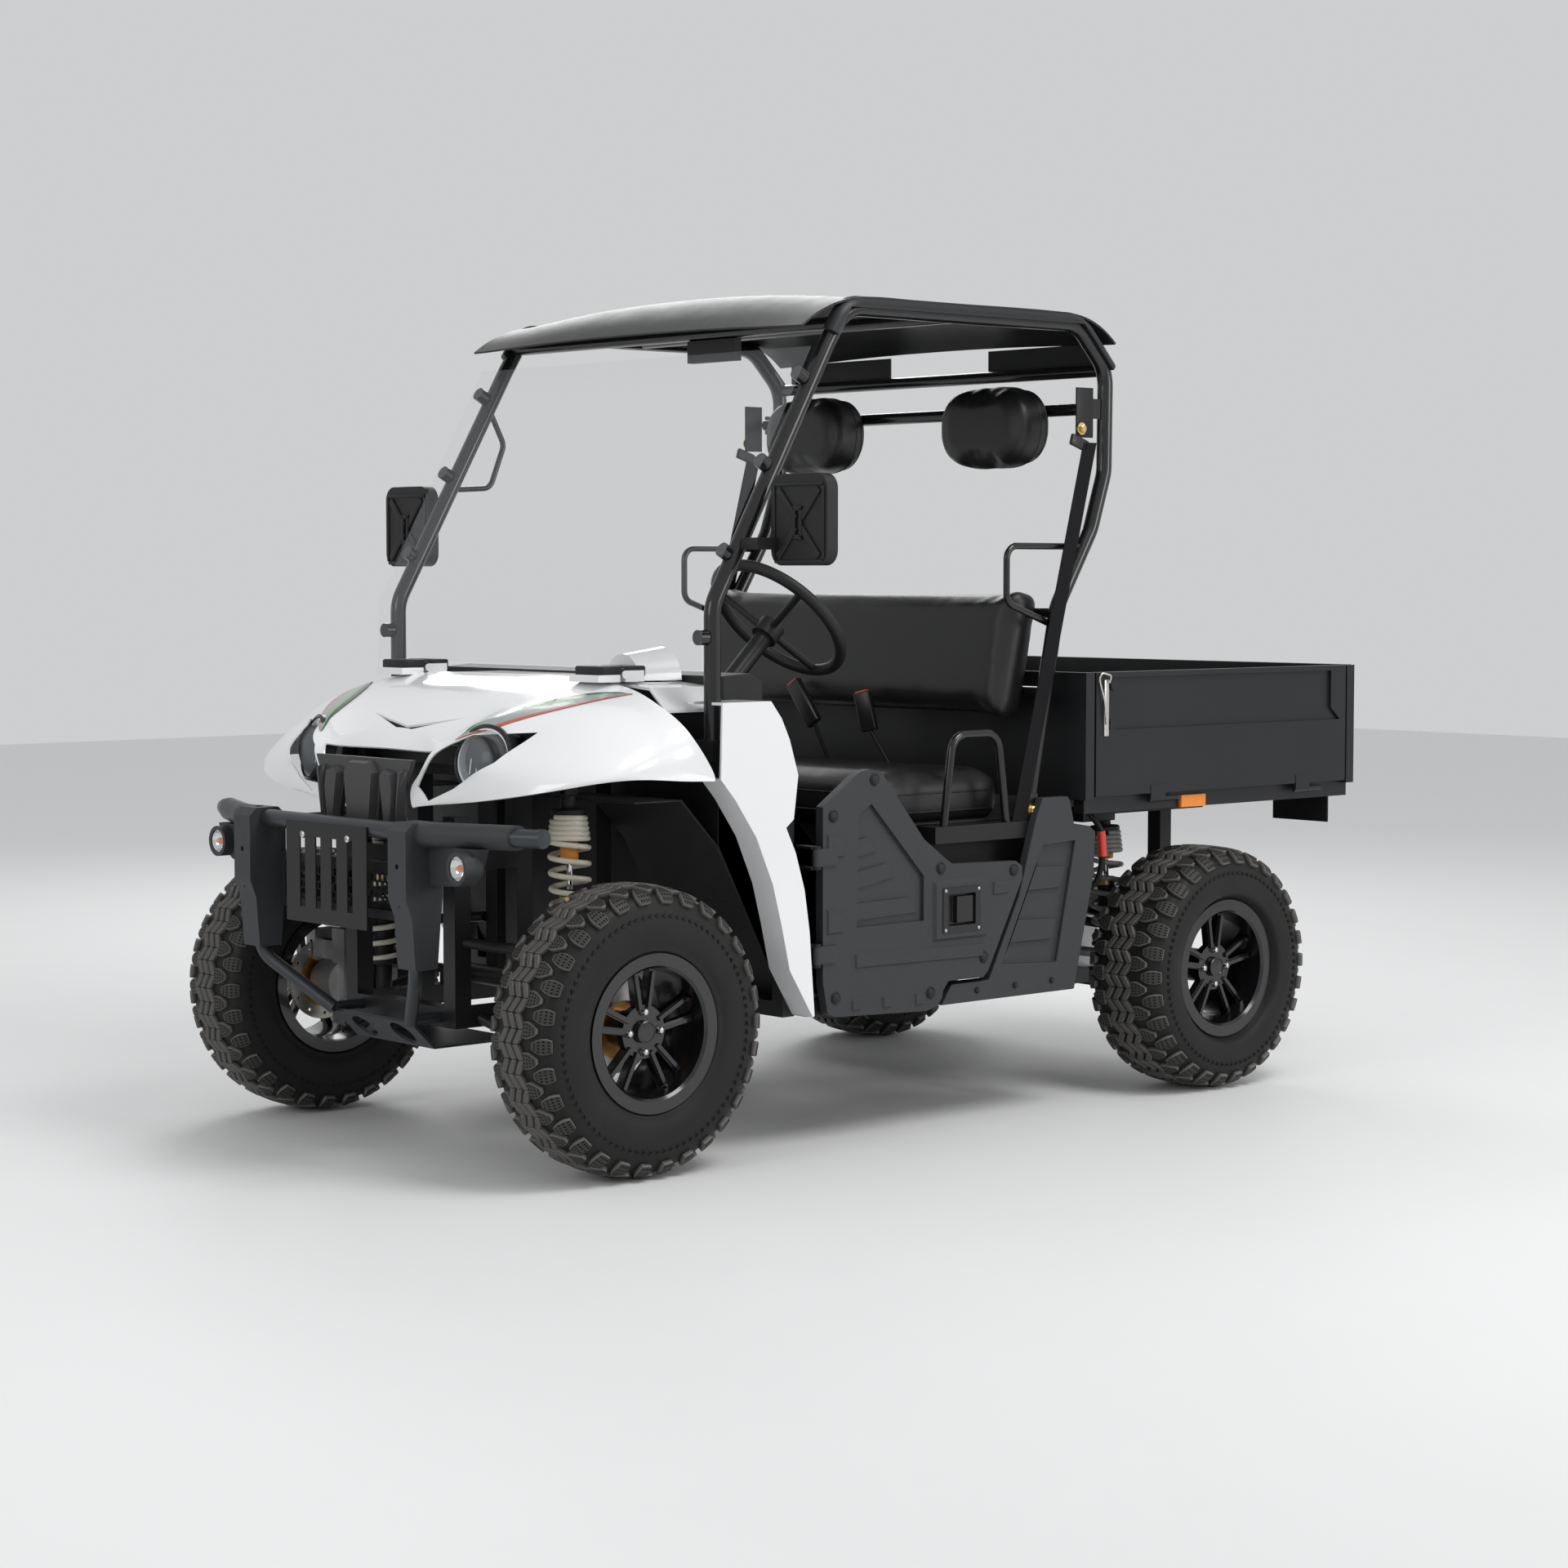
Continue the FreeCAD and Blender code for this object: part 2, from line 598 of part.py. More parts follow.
node("seat_box", fuse("SeatBox", [seat_cover, side_wall, mirror("SeatSideRight", side_wall)]))

# Drive: the battery pack under the seat, and the motor and gearbox at the rear axle
drive_sizes = {
    "pack_half": 300, "pack_height": 250, "pack_clear": 152.7, "gearbox_half": 167.7,
    "gearbox_length": 190, "gearbox_low": 215, "motor_radius": 95, "motor_half": 120,
    "half_shaft_radius": 13, "carrier_x": 432, "carrier_thick": 38, "carrier_half": 45,
    "carrier_height": 190, "flange_radius": 52, "flange_end": -50}
enter(drive_sizes)
pack_front = "bulkhead_y + 2 * beam + seat_gap"
pack = box("BatteryPack", ("2 * pack_half", "frame_kick - beam - pack_clear - (" + pack_front + ")",
                           "pack_height"), ("-pack_half", along(pack_front), "frame_top"))
gearbox = box("Gearbox", ("2 * gearbox_half", "gearbox_length",
                          "rear_rail_low + beam - gearbox_low"),
              ("-gearbox_half", along("wheelbase - gearbox_length / 2"), "gearbox_low"))
motor = rod("Motor", "motor_radius", "2 * motor_half",
            ("-motor_half", along("wheelbase - gearbox_length / 2 - motor_radius * 0.8"),
             "rear_rail_low - beam"), "x")
shafts = rod("HalfShafts", "half_shaft_radius", "2 * (carrier_x - seat_gap)",
             ("-carrier_x + seat_gap", MIDDLE_REAR, "rear_tyre_radius"), "x")
node("drive_unit", group("DriveUnit", [pack, fuse("Transaxle", [gearbox, motor, shafts])]))

# Front knuckles: an upright on the kingpin, a stub axle, a caliper and a steering arm
knuckle_sizes = {
    "kingpin_x": 470, "upright_half": 25, "upright_low": 218, "upright_top": 447,
    "knuckle_flange_x": 550, "arm_pin_y": 110, "arm_half": 13, "arm_low": 270, "arm_thick": 12,
    "ball_radius": 14, "caliper_out": 122, "caliper_length": 70,
    "caliper_thick": 14}
enter(knuckle_sizes)
upright = box("Upright", ("2 * upright_half", "2 * upright_half", "upright_top - upright_low"),
              ("kingpin_x - upright_half", along("-upright_half"), "upright_low"))
flange = rod("KnuckleFlange", "flange_radius", "knuckle_flange_x - kingpin_x",
             ("kingpin_x", MIDDLE_FRONT, "front_tyre_radius"), "x")
stub = rod("FrontStub", "stub_radius", "half_track + rim_face_x - kingpin_x",
           ("kingpin_x", MIDDLE_FRONT, "front_tyre_radius"), "x")
steer_arm = box("SteeringArm", ("2 * arm_half", "arm_pin_y + arm_half", "arm_thick"),
                ("kingpin_x - arm_half", MIDDLE_FRONT, "arm_low"))
caliper_block = box("CaliperBlock", ("2 * caliper_thick + disc_thickness * 2",
                                     "caliper_length", "caliper_out - flange_radius * 0.9"),
                    ("half_track + disc_x - caliper_thick", along("-caliper_length / 2"),
                     "front_tyre_radius + flange_radius * 0.9"))
disc_room = rod("DiscRoom", "disc_radius + disc_thickness", "disc_thickness * 2",
                ("half_track + disc_x - disc_thickness / 2", MIDDLE_FRONT,
                 "front_tyre_radius"), "x")
hub_room = rod("HubRoom", "disc_radius * 0.62", "caliper_thick * 4",
               ("knuckle_flange_x + disc_thickness / 2", MIDDLE_FRONT, "front_tyre_radius"), "x")
caliper = cut("Caliper", caliper_block, fuse("CaliperRoom", [disc_room, hub_room]))
bracket = box("CaliperBracket", ("half_track + disc_x - kingpin_x", "upright_half", "caliper_length"),
              ("kingpin_x", along("-upright_half / 2"), "front_tyre_radius + flange_radius * 0.5"))
bracket_cut = cut("CaliperBracketCut", bracket,
                  fuse("BracketRoom", [
                      rod("BracketDiscRoom", "disc_radius + disc_thickness", "disc_thickness * 2",
                          ("half_track + disc_x - disc_thickness / 2", MIDDLE_FRONT,
                           "front_tyre_radius"), "x"),
                      rod("BracketHubRoom", "disc_radius * 0.62", "caliper_thick * 4",
                          ("knuckle_flange_x + disc_thickness / 2", MIDDLE_FRONT,
                           "front_tyre_radius"), "x")]))
knuckle = node("knuckle_left", fuse("KnuckleLeft", [upright, flange, stub, steer_arm,
                                                    caliper, bracket_cut]))
node("knuckle_right", mirror("KnuckleRight", knuckle))

# Front wishbones, from the frame's rails and posts to a ball joint above and below
wishbone_sizes = {
    "arm_radius": 12, "arm_spread": 110, "arm_inner_z": 316, "arm_upper_z": 482,
    "ball_height": 22, "turn_gap": 5}
enter(wishbone_sizes)


def rail_room():
    """The room of the left rail, post and all between, up to its outer face."""
    return Part.makeBox(s.rail_x + s.beam / 2 + s.seat_gap, s.wheelbase * 2, s.tower_top,
                        spot(0, -s.wheelbase / 2, 0))


def wishbones():
    """Both front wishbones of the left side, each two tubes that meet at its ball."""
    inner = s.rail_x
    low = spot(s.kingpin_x, 0, s.upright_low - s.ball_height / 2)
    high = spot(s.kingpin_x, 0, s.upright_top + s.ball_height / 2)
    pieces = []
    for ball, z, places in ((low, s.arm_inner_z, (-s.arm_spread, s.arm_spread)),
                            (high, s.arm_upper_z, (s.frame_front - s.beam / 2, s.cowl_beam_y))):
        legs = []
        for y in places:
            start = spot(inner, y, z)
            run = ball - start
            legs.append(Part.makeCylinder(s.arm_radius, run.Length, start, run))
        bottom = ball - Vector(0, 0, s.ball_height / 2 - s.seat_gap / 2)
        cup = Part.makeCylinder(s.ball_radius, s.ball_height - s.seat_gap, bottom)
        pieces.append(legs[0].fuse([legs[1], cup]))
    turn_radius = math.hypot(s.upright_half, s.upright_half) + s.turn_gap
    room = Part.makeCylinder(turn_radius, s.upright_top - s.upright_low + s.seat_gap,
                             spot(s.kingpin_x, 0, s.upright_low - s.seat_gap / 2))
    return Part.makeCompound([p.cut([room, rail_room()]) for p in pieces])


arms_left = feature("WishbonesLeft", wishbones())
node("front_arms", group("FrontArms", [arms_left, mirror("WishbonesRight", arms_left)]))

# Rack and tie rods, which slide across the vehicle, and the housing they slide in
rack_sizes = {
    "rack_z": 364, "rack_radius": 11, "rack_half": 280, "housing_radius": 23,
    "housing_half": 200, "tie_radius": 8, "tie_gap": 1}
enter(rack_sizes)


def rack():
    """The rack bar with a tie rod and a rod eye at each end."""
    z = s.rack_z
    bar = Part.makeCylinder(s.rack_radius, 2 * s.rack_half, spot(-s.rack_half, s.arm_pin_y, z),
                            Vector(1, 0, 0))
    pieces = []
    eye_low = s.arm_low + s.arm_thick + s.tie_gap
    for side in (1, -1):
        start = spot(side * (s.rack_half - s.rack_radius), s.arm_pin_y, z)
        end = spot(side * s.kingpin_x, s.arm_pin_y, eye_low + s.ball_height / 2)
        pieces.append(Part.makeCylinder(s.tie_radius, (end - start).Length, start, end - start))
        pieces.append(Part.makeCylinder(s.ball_radius, s.ball_height,
                                        spot(side * s.kingpin_x, s.arm_pin_y, eye_low)))
    return bar.fuse(pieces)


node("tie_rods", feature("TieRods", rack()))

# Steering column, the rack housing, and the wheel on the column's end
steering_sizes = {
    "wheel_x": 300, "wheel_y": 700, "wheel_z": 1190, "wheel_tilt": 44, "wheel_radius": 172,
    "grip_radius": 14, "column_radius": 22, "wheel_hub_radius": 32, "wheel_hub_length": 40,
    "spoke_tube": 9, "wheel_dish": 24, "wheel_spokes": 3}
enter(steering_sizes)
lean = Vector(0, math.cos(math.radians(s.wheel_tilt)), math.sin(math.radians(s.wheel_tilt)))
wheel_middle = spot(s.wheel_x, s.wheel_y, s.wheel_z)


def column():
    """The tube that carries the wheel's shaft, up to just below the hub."""
    top = wheel_middle - lean * (s.wheel_dish + s.wheel_hub_length + s.seat_gap)
    reach = top.y - axle - s.firewall_y - s.floor_sheet - s.seat_gap - s.column_radius * lean.z
    tube = Part.makeCylinder(s.column_radius, reach / lean.y, top, lean * -1)
    housing = Part.makeCylinder(s.housing_radius, 2 * s.housing_half,
                                spot(-s.housing_half, s.arm_pin_y, s.rack_z), Vector(1, 0, 0))
    bore = Part.makeCylinder(s.rack_radius + s.shaft_gap, 2 * (s.housing_half + s.overrun),
                             spot(-s.housing_half - s.overrun, s.arm_pin_y, s.rack_z),
                             Vector(1, 0, 0))
    feet = []
    for side in (1, -1):
        feet.append(Part.makeBox(s.beam, s.beam, s.rack_z - s.frame_top,
                                 spot(side * s.rail_x - s.beam / 2, s.arm_pin_y - s.beam / 2,
                                      s.frame_top)))
    return Part.makeCompound([tube, housing.fuse(feet).cut(bore)])


node("steering_column", feature("SteeringColumn", column()))


def steering_wheel():
    """A round grip on three spokes and a hub."""
    ring = Part.makeTorus(s.wheel_radius, s.grip_radius, wheel_middle, lean)
    base = wheel_middle - lean * (s.wheel_dish + s.wheel_hub_length)
    hub = Part.makeCylinder(s.wheel_hub_radius, s.wheel_hub_length, base, lean)
    hub_top = base + lean * (s.wheel_hub_length / 2)
    pieces = [ring]
    across = Vector(1, 0, 0)
    up = lean.cross(across) * -1
    for i in range(int(s.wheel_spokes)):
        angle = math.radians(FULL_TURN * i / s.wheel_spokes - FULL_TURN / 4)
        out = across * math.cos(angle) + up * math.sin(angle)
        end = wheel_middle + out * s.wheel_radius
        pieces.append(Part.makeCylinder(s.spoke_tube, (end - hub_top).Length, hub_top,
                                        end - hub_top))
    return hub.fuse(pieces)


node("steering_wheel", feature("SteeringWheel", steering_wheel()))

# Front shocks: a sprung strut each, turned with one groove for each coil
shock_sizes = {
    "coil_depth": 7, "shock_cap": 14, "body_radius": 17}
enter(shock_sizes)


def shock(x_top, z_top, x_low, z_low, behind, radius, coils):
    """A coil spring round its damper, with an eye at each end."""
    top = spot(x_top, behind, z_top)
    low = spot(x_low, behind, z_low)
    run = top - low
    length = run.Length
    first = s.shock_eye + s.shock_cap
    pitch = (length * 0.78 - first) / coils
    profile = [Vector(0, 0, 0), Vector(s.body_radius, 0, 0), Vector(s.body_radius, 0, first),
               Vector(radius, 0, first)]
    for i in range(int(coils)):
        z = first + pitch * i
        profile += [Vector(radius, 0, z + pitch * 0.25), Vector(radius, 0, z + pitch * 0.6),
                    Vector(radius - s.coil_depth, 0, z + pitch * 0.8)]
    profile += [Vector(radius, 0, first + pitch * coils),
                Vector(radius, 0, first + pitch * coils + s.shock_cap),
                Vector(s.rod_radius, 0, first + pitch * coils + s.shock_cap),
                Vector(s.rod_radius, 0, length), Vector(0, 0, length)]
    profile.append(profile[0])
    face = Part.Face(Part.makePolygon(profile))
    turned = face.revolve(Vector(), Vector(0, 0, 1), FULL_TURN)
    turned.Placement = Placement(low, Rotation(Vector(0, 0, 1), run))
    eyes = [Part.makeCylinder(s.shock_eye, 2 * s.body_radius, p - Vector(0, s.body_radius, 0),
                              Vector(0, 1, 0)) for p in (top, low)]
    return turned.fuse(eyes)


arm_fall = (s.arm_inner_z - s.upright_low + s.ball_height / 2) / (s.kingpin_x - s.rail_x)
shock_low_z = s.arm_inner_z - arm_fall * (s.shock_low_x - s.rail_x)
shock_low_z += (s.arm_radius + s.shock_eye + 2 * s.seat_gap) * math.hypot(1, arm_fall)
front_shock = feature("FrontShock", shock(s.shock_top_x, s.shock_top_z, s.shock_low_x,
                                          shock_low_z, s.shock_y, s.shock_radius,
                                          s.coil_count))
node("front_shocks", group("FrontShocks", [front_shock, mirror("FrontShockRight", front_shock)]))

# Rear suspension: hub carriers, their stub axles and the arms from the gearbox's sides
rear_arm_sizes = {
    "rear_arm_low": 245, "rear_arm_high": 405, "rear_arm_spread": 80, "rear_shock_x": 400,
    "rear_shock_y": -215, "rear_shock_top": 676, "rear_shock_low": 300}
enter(rear_arm_sizes)


def rear_arms():
    """The left carrier with its stub axle and two pairs of arms."""
    carrier = Part.makeBox(s.carrier_thick, 2 * s.carrier_half, s.carrier_height,
                           spot(s.carrier_x, s.wheelbase - s.carrier_half,
                                s.rear_tyre_radius - s.carrier_height / 2))
    flange = Part.makeCylinder(s.flange_radius, s.half_track + s.flange_end - s.carrier_x,
                               spot(s.carrier_x, s.wheelbase, s.rear_tyre_radius),
                               Vector(1, 0, 0))
    stub = Part.makeCylinder(s.stub_radius, s.half_track + s.rim_face_x - s.carrier_x,
                             spot(s.carrier_x, s.wheelbase, s.rear_tyre_radius),
                             Vector(1, 0, 0))
    pieces = [flange, stub]
    inner = s.gearbox_half * 0.9
    for z in (s.rear_arm_low, s.rear_arm_high):
        outer_z = s.rear_tyre_radius + math.copysign(s.carrier_height * 0.38,
                                                     z - s.rear_tyre_radius)
        for side in (-1, 1):
            start = spot(inner, s.wheelbase + side * s.rear_arm_spread, z)
            end = spot(s.carrier_x + s.carrier_thick / 2,
                       s.wheelbase + side * s.carrier_half * 0.6, outer_z)
            pieces.append(Part.makeCylinder(s.arm_radius, (end - start).Length, start, end - start))
    foot = spot(s.rear_shock_x - s.carrier_thick / 2, s.wheelbase + s.rear_shock_y
                - s.carrier_thick / 2, s.rear_shock_low - s.shock_eye - s.seat_gap
                - s.carrier_thick / 2)
    pieces.append(Part.makeBox(s.carrier_x + s.carrier_thick - s.rear_shock_x
                               + s.carrier_thick / 2, -s.rear_shock_y, s.carrier_thick / 2, foot))
    side = Part.makeBox(s.gearbox_half + s.seat_gap, s.wheelbase, s.tower_top,
                        spot(0, s.wheelbase / 2, 0))
    return carrier.fuse(pieces).cut(side)


rear_left = feature("RearArmsLeft", rear_arms())
node("rear_arms", group("RearArms", [rear_left, mirror("RearArmsRight", rear_left)]))
rear_shock = feature("RearShock", shock(s.bed_rail_x + s.beam / 2 + s.body_radius * 4,
                                        s.rear_shock_top, s.rear_shock_x, s.rear_shock_low,
                                        s.wheelbase + s.rear_shock_y, s.shock_radius,
                                        s.coil_count))
node("rear_shocks", group("RearShocks", [rear_shock, mirror("RearShockRight", rear_shock)]))

# Roll cage: two bent side hoops and the tubes across them
cage_sizes = {
    "cage_x": 595, "cage_radius": 19, "cage_bend": 95, "pillar_y": 245, "pillar_foot": 930,
    "screen_bend_z": 1225, "brow_y": 578, "brow_z": 1801, "roof_front_y": 636,
    "roof_tube_z": 1893, "roof_rear_y": 1400, "rear_top_y": 1503, "rear_top_z": 1787,
    "rear_knee_y": 1500, "rear_knee_z": 1540, "rear_waist_y": 1453, "rear_waist_z": 1401,
    "rear_low_y": 1337, "rear_low_z": 1216, "rear_foot_y": 1230, "rear_foot_z": 700,
    "cross_radius": 15, "header_y": 606, "header_z": 1856, "seat_tube_radius": 13,
    "low_seat_tube_z": 1010, "high_seat_tube_z": 1200, "head_tube_y": 1452, "head_tube_z": 1693,
    "head_plate": 8}
enter(cage_sizes)


def hoop_path():
    """The left hoop's centre line, from the front foot over the roof to the rear one."""
    path = [spot(s.cage_x, s.pillar_y, s.pillar_foot), spot(s.cage_x, s.pillar_y, s.screen_bend_z),
            spot(s.cage_x, s.brow_y, s.brow_z), spot(s.cage_x, s.roof_front_y, s.roof_tube_z),
            spot(s.cage_x, s.roof_rear_y, s.roof_tube_z), spot(s.cage_x, s.rear_top_y, s.rear_top_z),
            spot(s.cage_x, s.rear_knee_y, s.rear_knee_z), spot(s.cage_x, s.rear_waist_y, s.rear_waist_z),
            spot(s.cage_x, s.rear_low_y, s.rear_low_z), spot(s.cage_x, s.rear_foot_y, s.rear_foot_z)]
    return path


def cage():
    """The left hoop, its mirror and every tube between them."""
    left = bent(hoop_path(), s.cage_radius, s.cage_bend)
    right = left.mirror(Vector(), Vector(1, 0, 0))
    slope = (s.rear_low_y - s.rear_foot_y) / (s.rear_low_z - s.rear_foot_z)
    pieces = [right]

    def across(y, z, radius):
        pieces.append(Part.makeCylinder(radius, 2 * s.cage_x, spot(-s.cage_x, y, z),
                                        Vector(1, 0, 0)))

    across(s.header_y, s.header_z, s.cross_radius)
    across((s.roof_front_y + s.roof_rear_y) / 2, s.roof_tube_z, s.cross_radius)
    across(s.rear_top_y, s.rear_top_z, s.cross_radius)
    for z in (s.low_seat_tube_z, s.high_seat_tube_z):
        across(s.rear_foot_y + slope * (z - s.rear_foot_z), z, s.seat_tube_radius)
    across(s.head_tube_y, s.head_tube_z, s.cross_radius)
    for side in (1, -1):
        plate = Part.makeBox(s.head_plate, s.rear_top_y - s.head_tube_y, 6 * s.head_plate,
                             spot(side * s.cage_x - s.head_plate / 2, s.head_tube_y,
                                  s.head_tube_z - 3 * s.head_plate))
        pieces.append(plate)
    ground = Part.makeBox(4 * s.cage_x, s.wheelbase, s.deck_top,
                          spot(-2 * s.cage_x, s.wheelbase / 2, 0))
    return left.fuse(pieces).cut(ground)


node("roll_cage", feature("RollCage", cage()))

# Grab handles beside the seat, bent from thin tube
handle_sizes = {
    "loop_radius": 8, "loop_bend": 32, "loop_front_y": 1163, "loop_top_z": 1360,
    "loop_low_z": 1225, "loop_foot_z": 1165, "hoop_radius": 10, "hoop_bend": 45,
    "hoop_front_y": 947, "hoop_rear_y": 1156, "hoop_top_z": 918, "hoop_lean": 30, "hoop_x": 604}
enter(handle_sizes)


def handle_loops():
    """The side loop by the rear pillar and the hip hoop on the deck, left side."""
    loop = bent([spot(s.cage_x, s.rear_waist_y - s.loop_radius, s.loop_top_z),
                 spot(s.cage_x, s.loop_front_y, s.loop_top_z),
                 spot(s.cage_x, s.loop_front_y, s.loop_low_z),
                 spot(s.cage_x, s.rear_low_y, s.loop_foot_z)], s.loop_radius, s.loop_bend)
    loop = loop.cut(bent(hoop_path(), s.cage_radius + s.seat_gap, s.cage_bend))
    hoop = bent([spot(s.hoop_x, s.hoop_front_y, s.deck_top),
                 spot(s.hoop_x, s.hoop_front_y + s.hoop_lean, s.hoop_top_z),
                 spot(s.hoop_x, s.hoop_rear_y - s.hoop_lean, s.hoop_top_z),
                 spot(s.hoop_x, s.hoop_rear_y, s.deck_top)], s.hoop_radius, s.hoop_bend)
    hoop = hoop.cut(Part.makeBox(s.beam * 2, s.hoop_rear_y, s.beam,
                                 spot(s.hoop_x - s.beam, s.hoop_front_y / 2, s.deck_top - s.beam)))
    return Part.makeCompound([max(loop.Solids, key=lambda part: part.Volume), hoop])


def pillar_handle():
    """The passenger's loop on the right front pillar."""
    loop = bent([spot(-s.cage_x, s.grab_top_y, s.grab_top_z),
                 spot(-s.cage_x, s.grab_out_y, s.grab_out_z),
                 spot(-s.cage_x, s.grab_low_y, s.grab_low_z),
                 spot(-s.cage_x, s.grab_foot_y, s.grab_foot_z)], s.grab_radius, s.loop_bend)
    post = bent(hoop_path(), s.cage_radius + s.seat_gap, s.cage_bend)
    loop = loop.cut(post.mirror(Vector(), Vector(1, 0, 0)))
    return max(loop.Solids, key=lambda part: part.Volume)


grab_sizes = {
    "grab_top_y": 524, "grab_top_z": 1708, "grab_out_y": 571, "grab_out_z": 1617,
    "grab_low_y": 527, "grab_low_z": 1508, "grab_foot_y": 408, "grab_foot_z": 1502,
    "grab_radius": 7}
enter(grab_sizes)
loops = feature("HandlesLeft", handle_loops())
node("grab_handles", group("GrabHandles", [loops, mirror("HandlesRight", loops),
                                           feature("PillarHandle", pillar_handle())]))

# Roof: one moulded panel with a front brow and turned down rear corners
roof_sizes = {
    "roof_half": 612, "roof_front": 492, "roof_rear": 1522, "roof_sheet": 5, "roof_crown": 34,
    "roof_low": 1845, "roof_edge": 1916, "roll_radius": 28, "roll_start": 0.3, "flap_in": 180,
    "flap_out": 566, "flap_low": 1784, "flap_corner": 26, "flap_gap": 1.5}
enter(roof_sizes)
ROOF_SHARES = [(0, 0.0), (0.03, 0.28), (0.13, 0.86), (0.30, 1), (0.55, 1), (0.80, 1),
               (0.90, 0.86), (0.97, 0.42), (1, 0.1)]
ROOF_END_SHARE = 0.35
ROOF_CROWN_SHARES = [(0, 1), (0.35, 0.9), (0.7, 0.5), (0.92, 0.16), (1, 0.1)]


def roof():
    """A crowned sheet that lies on the side tubes."""
    half = []
    for across, crown in ROOF_CROWN_SHARES:
        row = []
        for run, rise in ROOF_SHARES:
            lift = ROOF_END_SHARE + (1 - ROOF_END_SHARE) * rise
            row.append(spot(s.roof_half * across,
                            s.roof_front + (s.roof_rear - s.roof_front) * run,
                            s.roof_low + (s.roof_edge - s.roof_low) * rise
                            + s.roof_crown * crown * lift))
        half.append(row)
    panel = skin(both_sides(half), s.roof_sheet)
    flap = Part.makeBox(s.flap_out - s.flap_in, s.roof_sheet, s.roof_low + 2 * s.roof_sheet - s.flap_low,
                        spot(s.flap_in, s.roof_rear - s.roof_sheet + s.flap_gap, s.flap_low))
    flap = flap.makeFillet(s.flap_corner, [edge for edge in flap.Edges
                                           if edge.Length < s.roof_sheet + s.seat_gap
                                           and edge.Vertexes[0].Z < s.roof_low])
    pieces = [flap, side_roll()]
    pieces += [piece.mirror(Vector(), Vector(1, 0, 0)) for piece in pieces]
    return panel.fuse(pieces)


def side_roll():
    """The moulded edge that wraps the left hoop from the brow to its rear bend."""
    path = hoop_path()[2:6]
    path[0] = path[0] + (path[1] - path[0]) * s.roll_start
    outer = bent(path, s.roll_radius, s.cage_bend)
    below = path + [Vector(point.x, point.y, s.deck_top) for point in (path[-1], path[0])]
    below = [point + Vector(-2 * s.roll_radius, 0, 0) for point in below]
    under = Part.Face(Part.makePolygon(below + below[:1])).extrude(Vector(4 * s.roll_radius, 0, 0))
    tube = bent(hoop_path(), s.cage_radius + s.seat_gap, s.cage_bend)
    outboard = Part.makeBox(2 * s.roll_radius, s.wheelbase, s.roof_edge,
                            spot(s.cage_x + s.seat_gap, 0, s.deck_top))
    return outer.common(outboard).cut([under, tube])


node("roof", feature("Roof", roof()))

# Windshield: a clear sheet bent once, ahead of the front pillars
screen_sizes = {
    "screen_half": 611, "screen_sheet": 5, "screen_y": 197, "screen_low": 1086,
    "screen_top_y": 517, "screen_top": 1800, "clamp_length": 34}
enter(screen_sizes)
screen = body("Windshield")
pad(screen, "ScreenSheet", "yz",
    [(along("screen_y"), "screen_low"), (along("screen_y + screen_sheet"), "screen_low"),
     (along("screen_y + screen_sheet"), "screen_bend_z"),
     (along("screen_top_y + screen_sheet"), "screen_top"), (along("screen_top_y"), "screen_top"),
     (along("screen_y"), "screen_bend_z")], "2 * screen_half", midplane=True)
node("windshield", screen)


def screen_clamps():
    """Rubber blocks between the sheet and the left pillar, three high."""
    pieces = []
    lean_up = Vector(0, s.brow_y - s.pillar_y, s.brow_z - s.screen_bend_z)
    for share in (-0.5, 0.18, 0.52, 0.86):
        if share < 0:
            z = (s.screen_low + s.screen_bend_z) / 2
            start = spot(s.cage_x, s.screen_y + s.screen_sheet, z)
            run = Vector(0, 1, 0)
            gap = s.pillar_y - s.cage_radius - s.screen_y - s.screen_sheet
        else:
            start = spot(s.cage_x, s.pillar_y, s.screen_bend_z) + lean_up * share
            run = Vector(0, lean_up.z, -lean_up.y).normalize()
            sheet_y = s.screen_y + s.screen_sheet + (s.screen_top_y - s.screen_y) * (
                (start.z - s.screen_bend_z) / (s.screen_top - s.screen_bend_z))
            gap = (start.y - axle - sheet_y) * run.y - s.cage_radius - 2 * s.seat_gap
            start = start - run * (s.cage_radius + s.seat_gap + gap)
        block = Part.makeCylinder(s.clamp_length / 2, gap, start, run)
        pieces.append(block)
    return Part.makeCompound(pieces)


clamps = feature("ClampsLeft", screen_clamps())
node("screen_clamps", group("ScreenClamps", [clamps, mirror("ClampsRight", clamps)]))

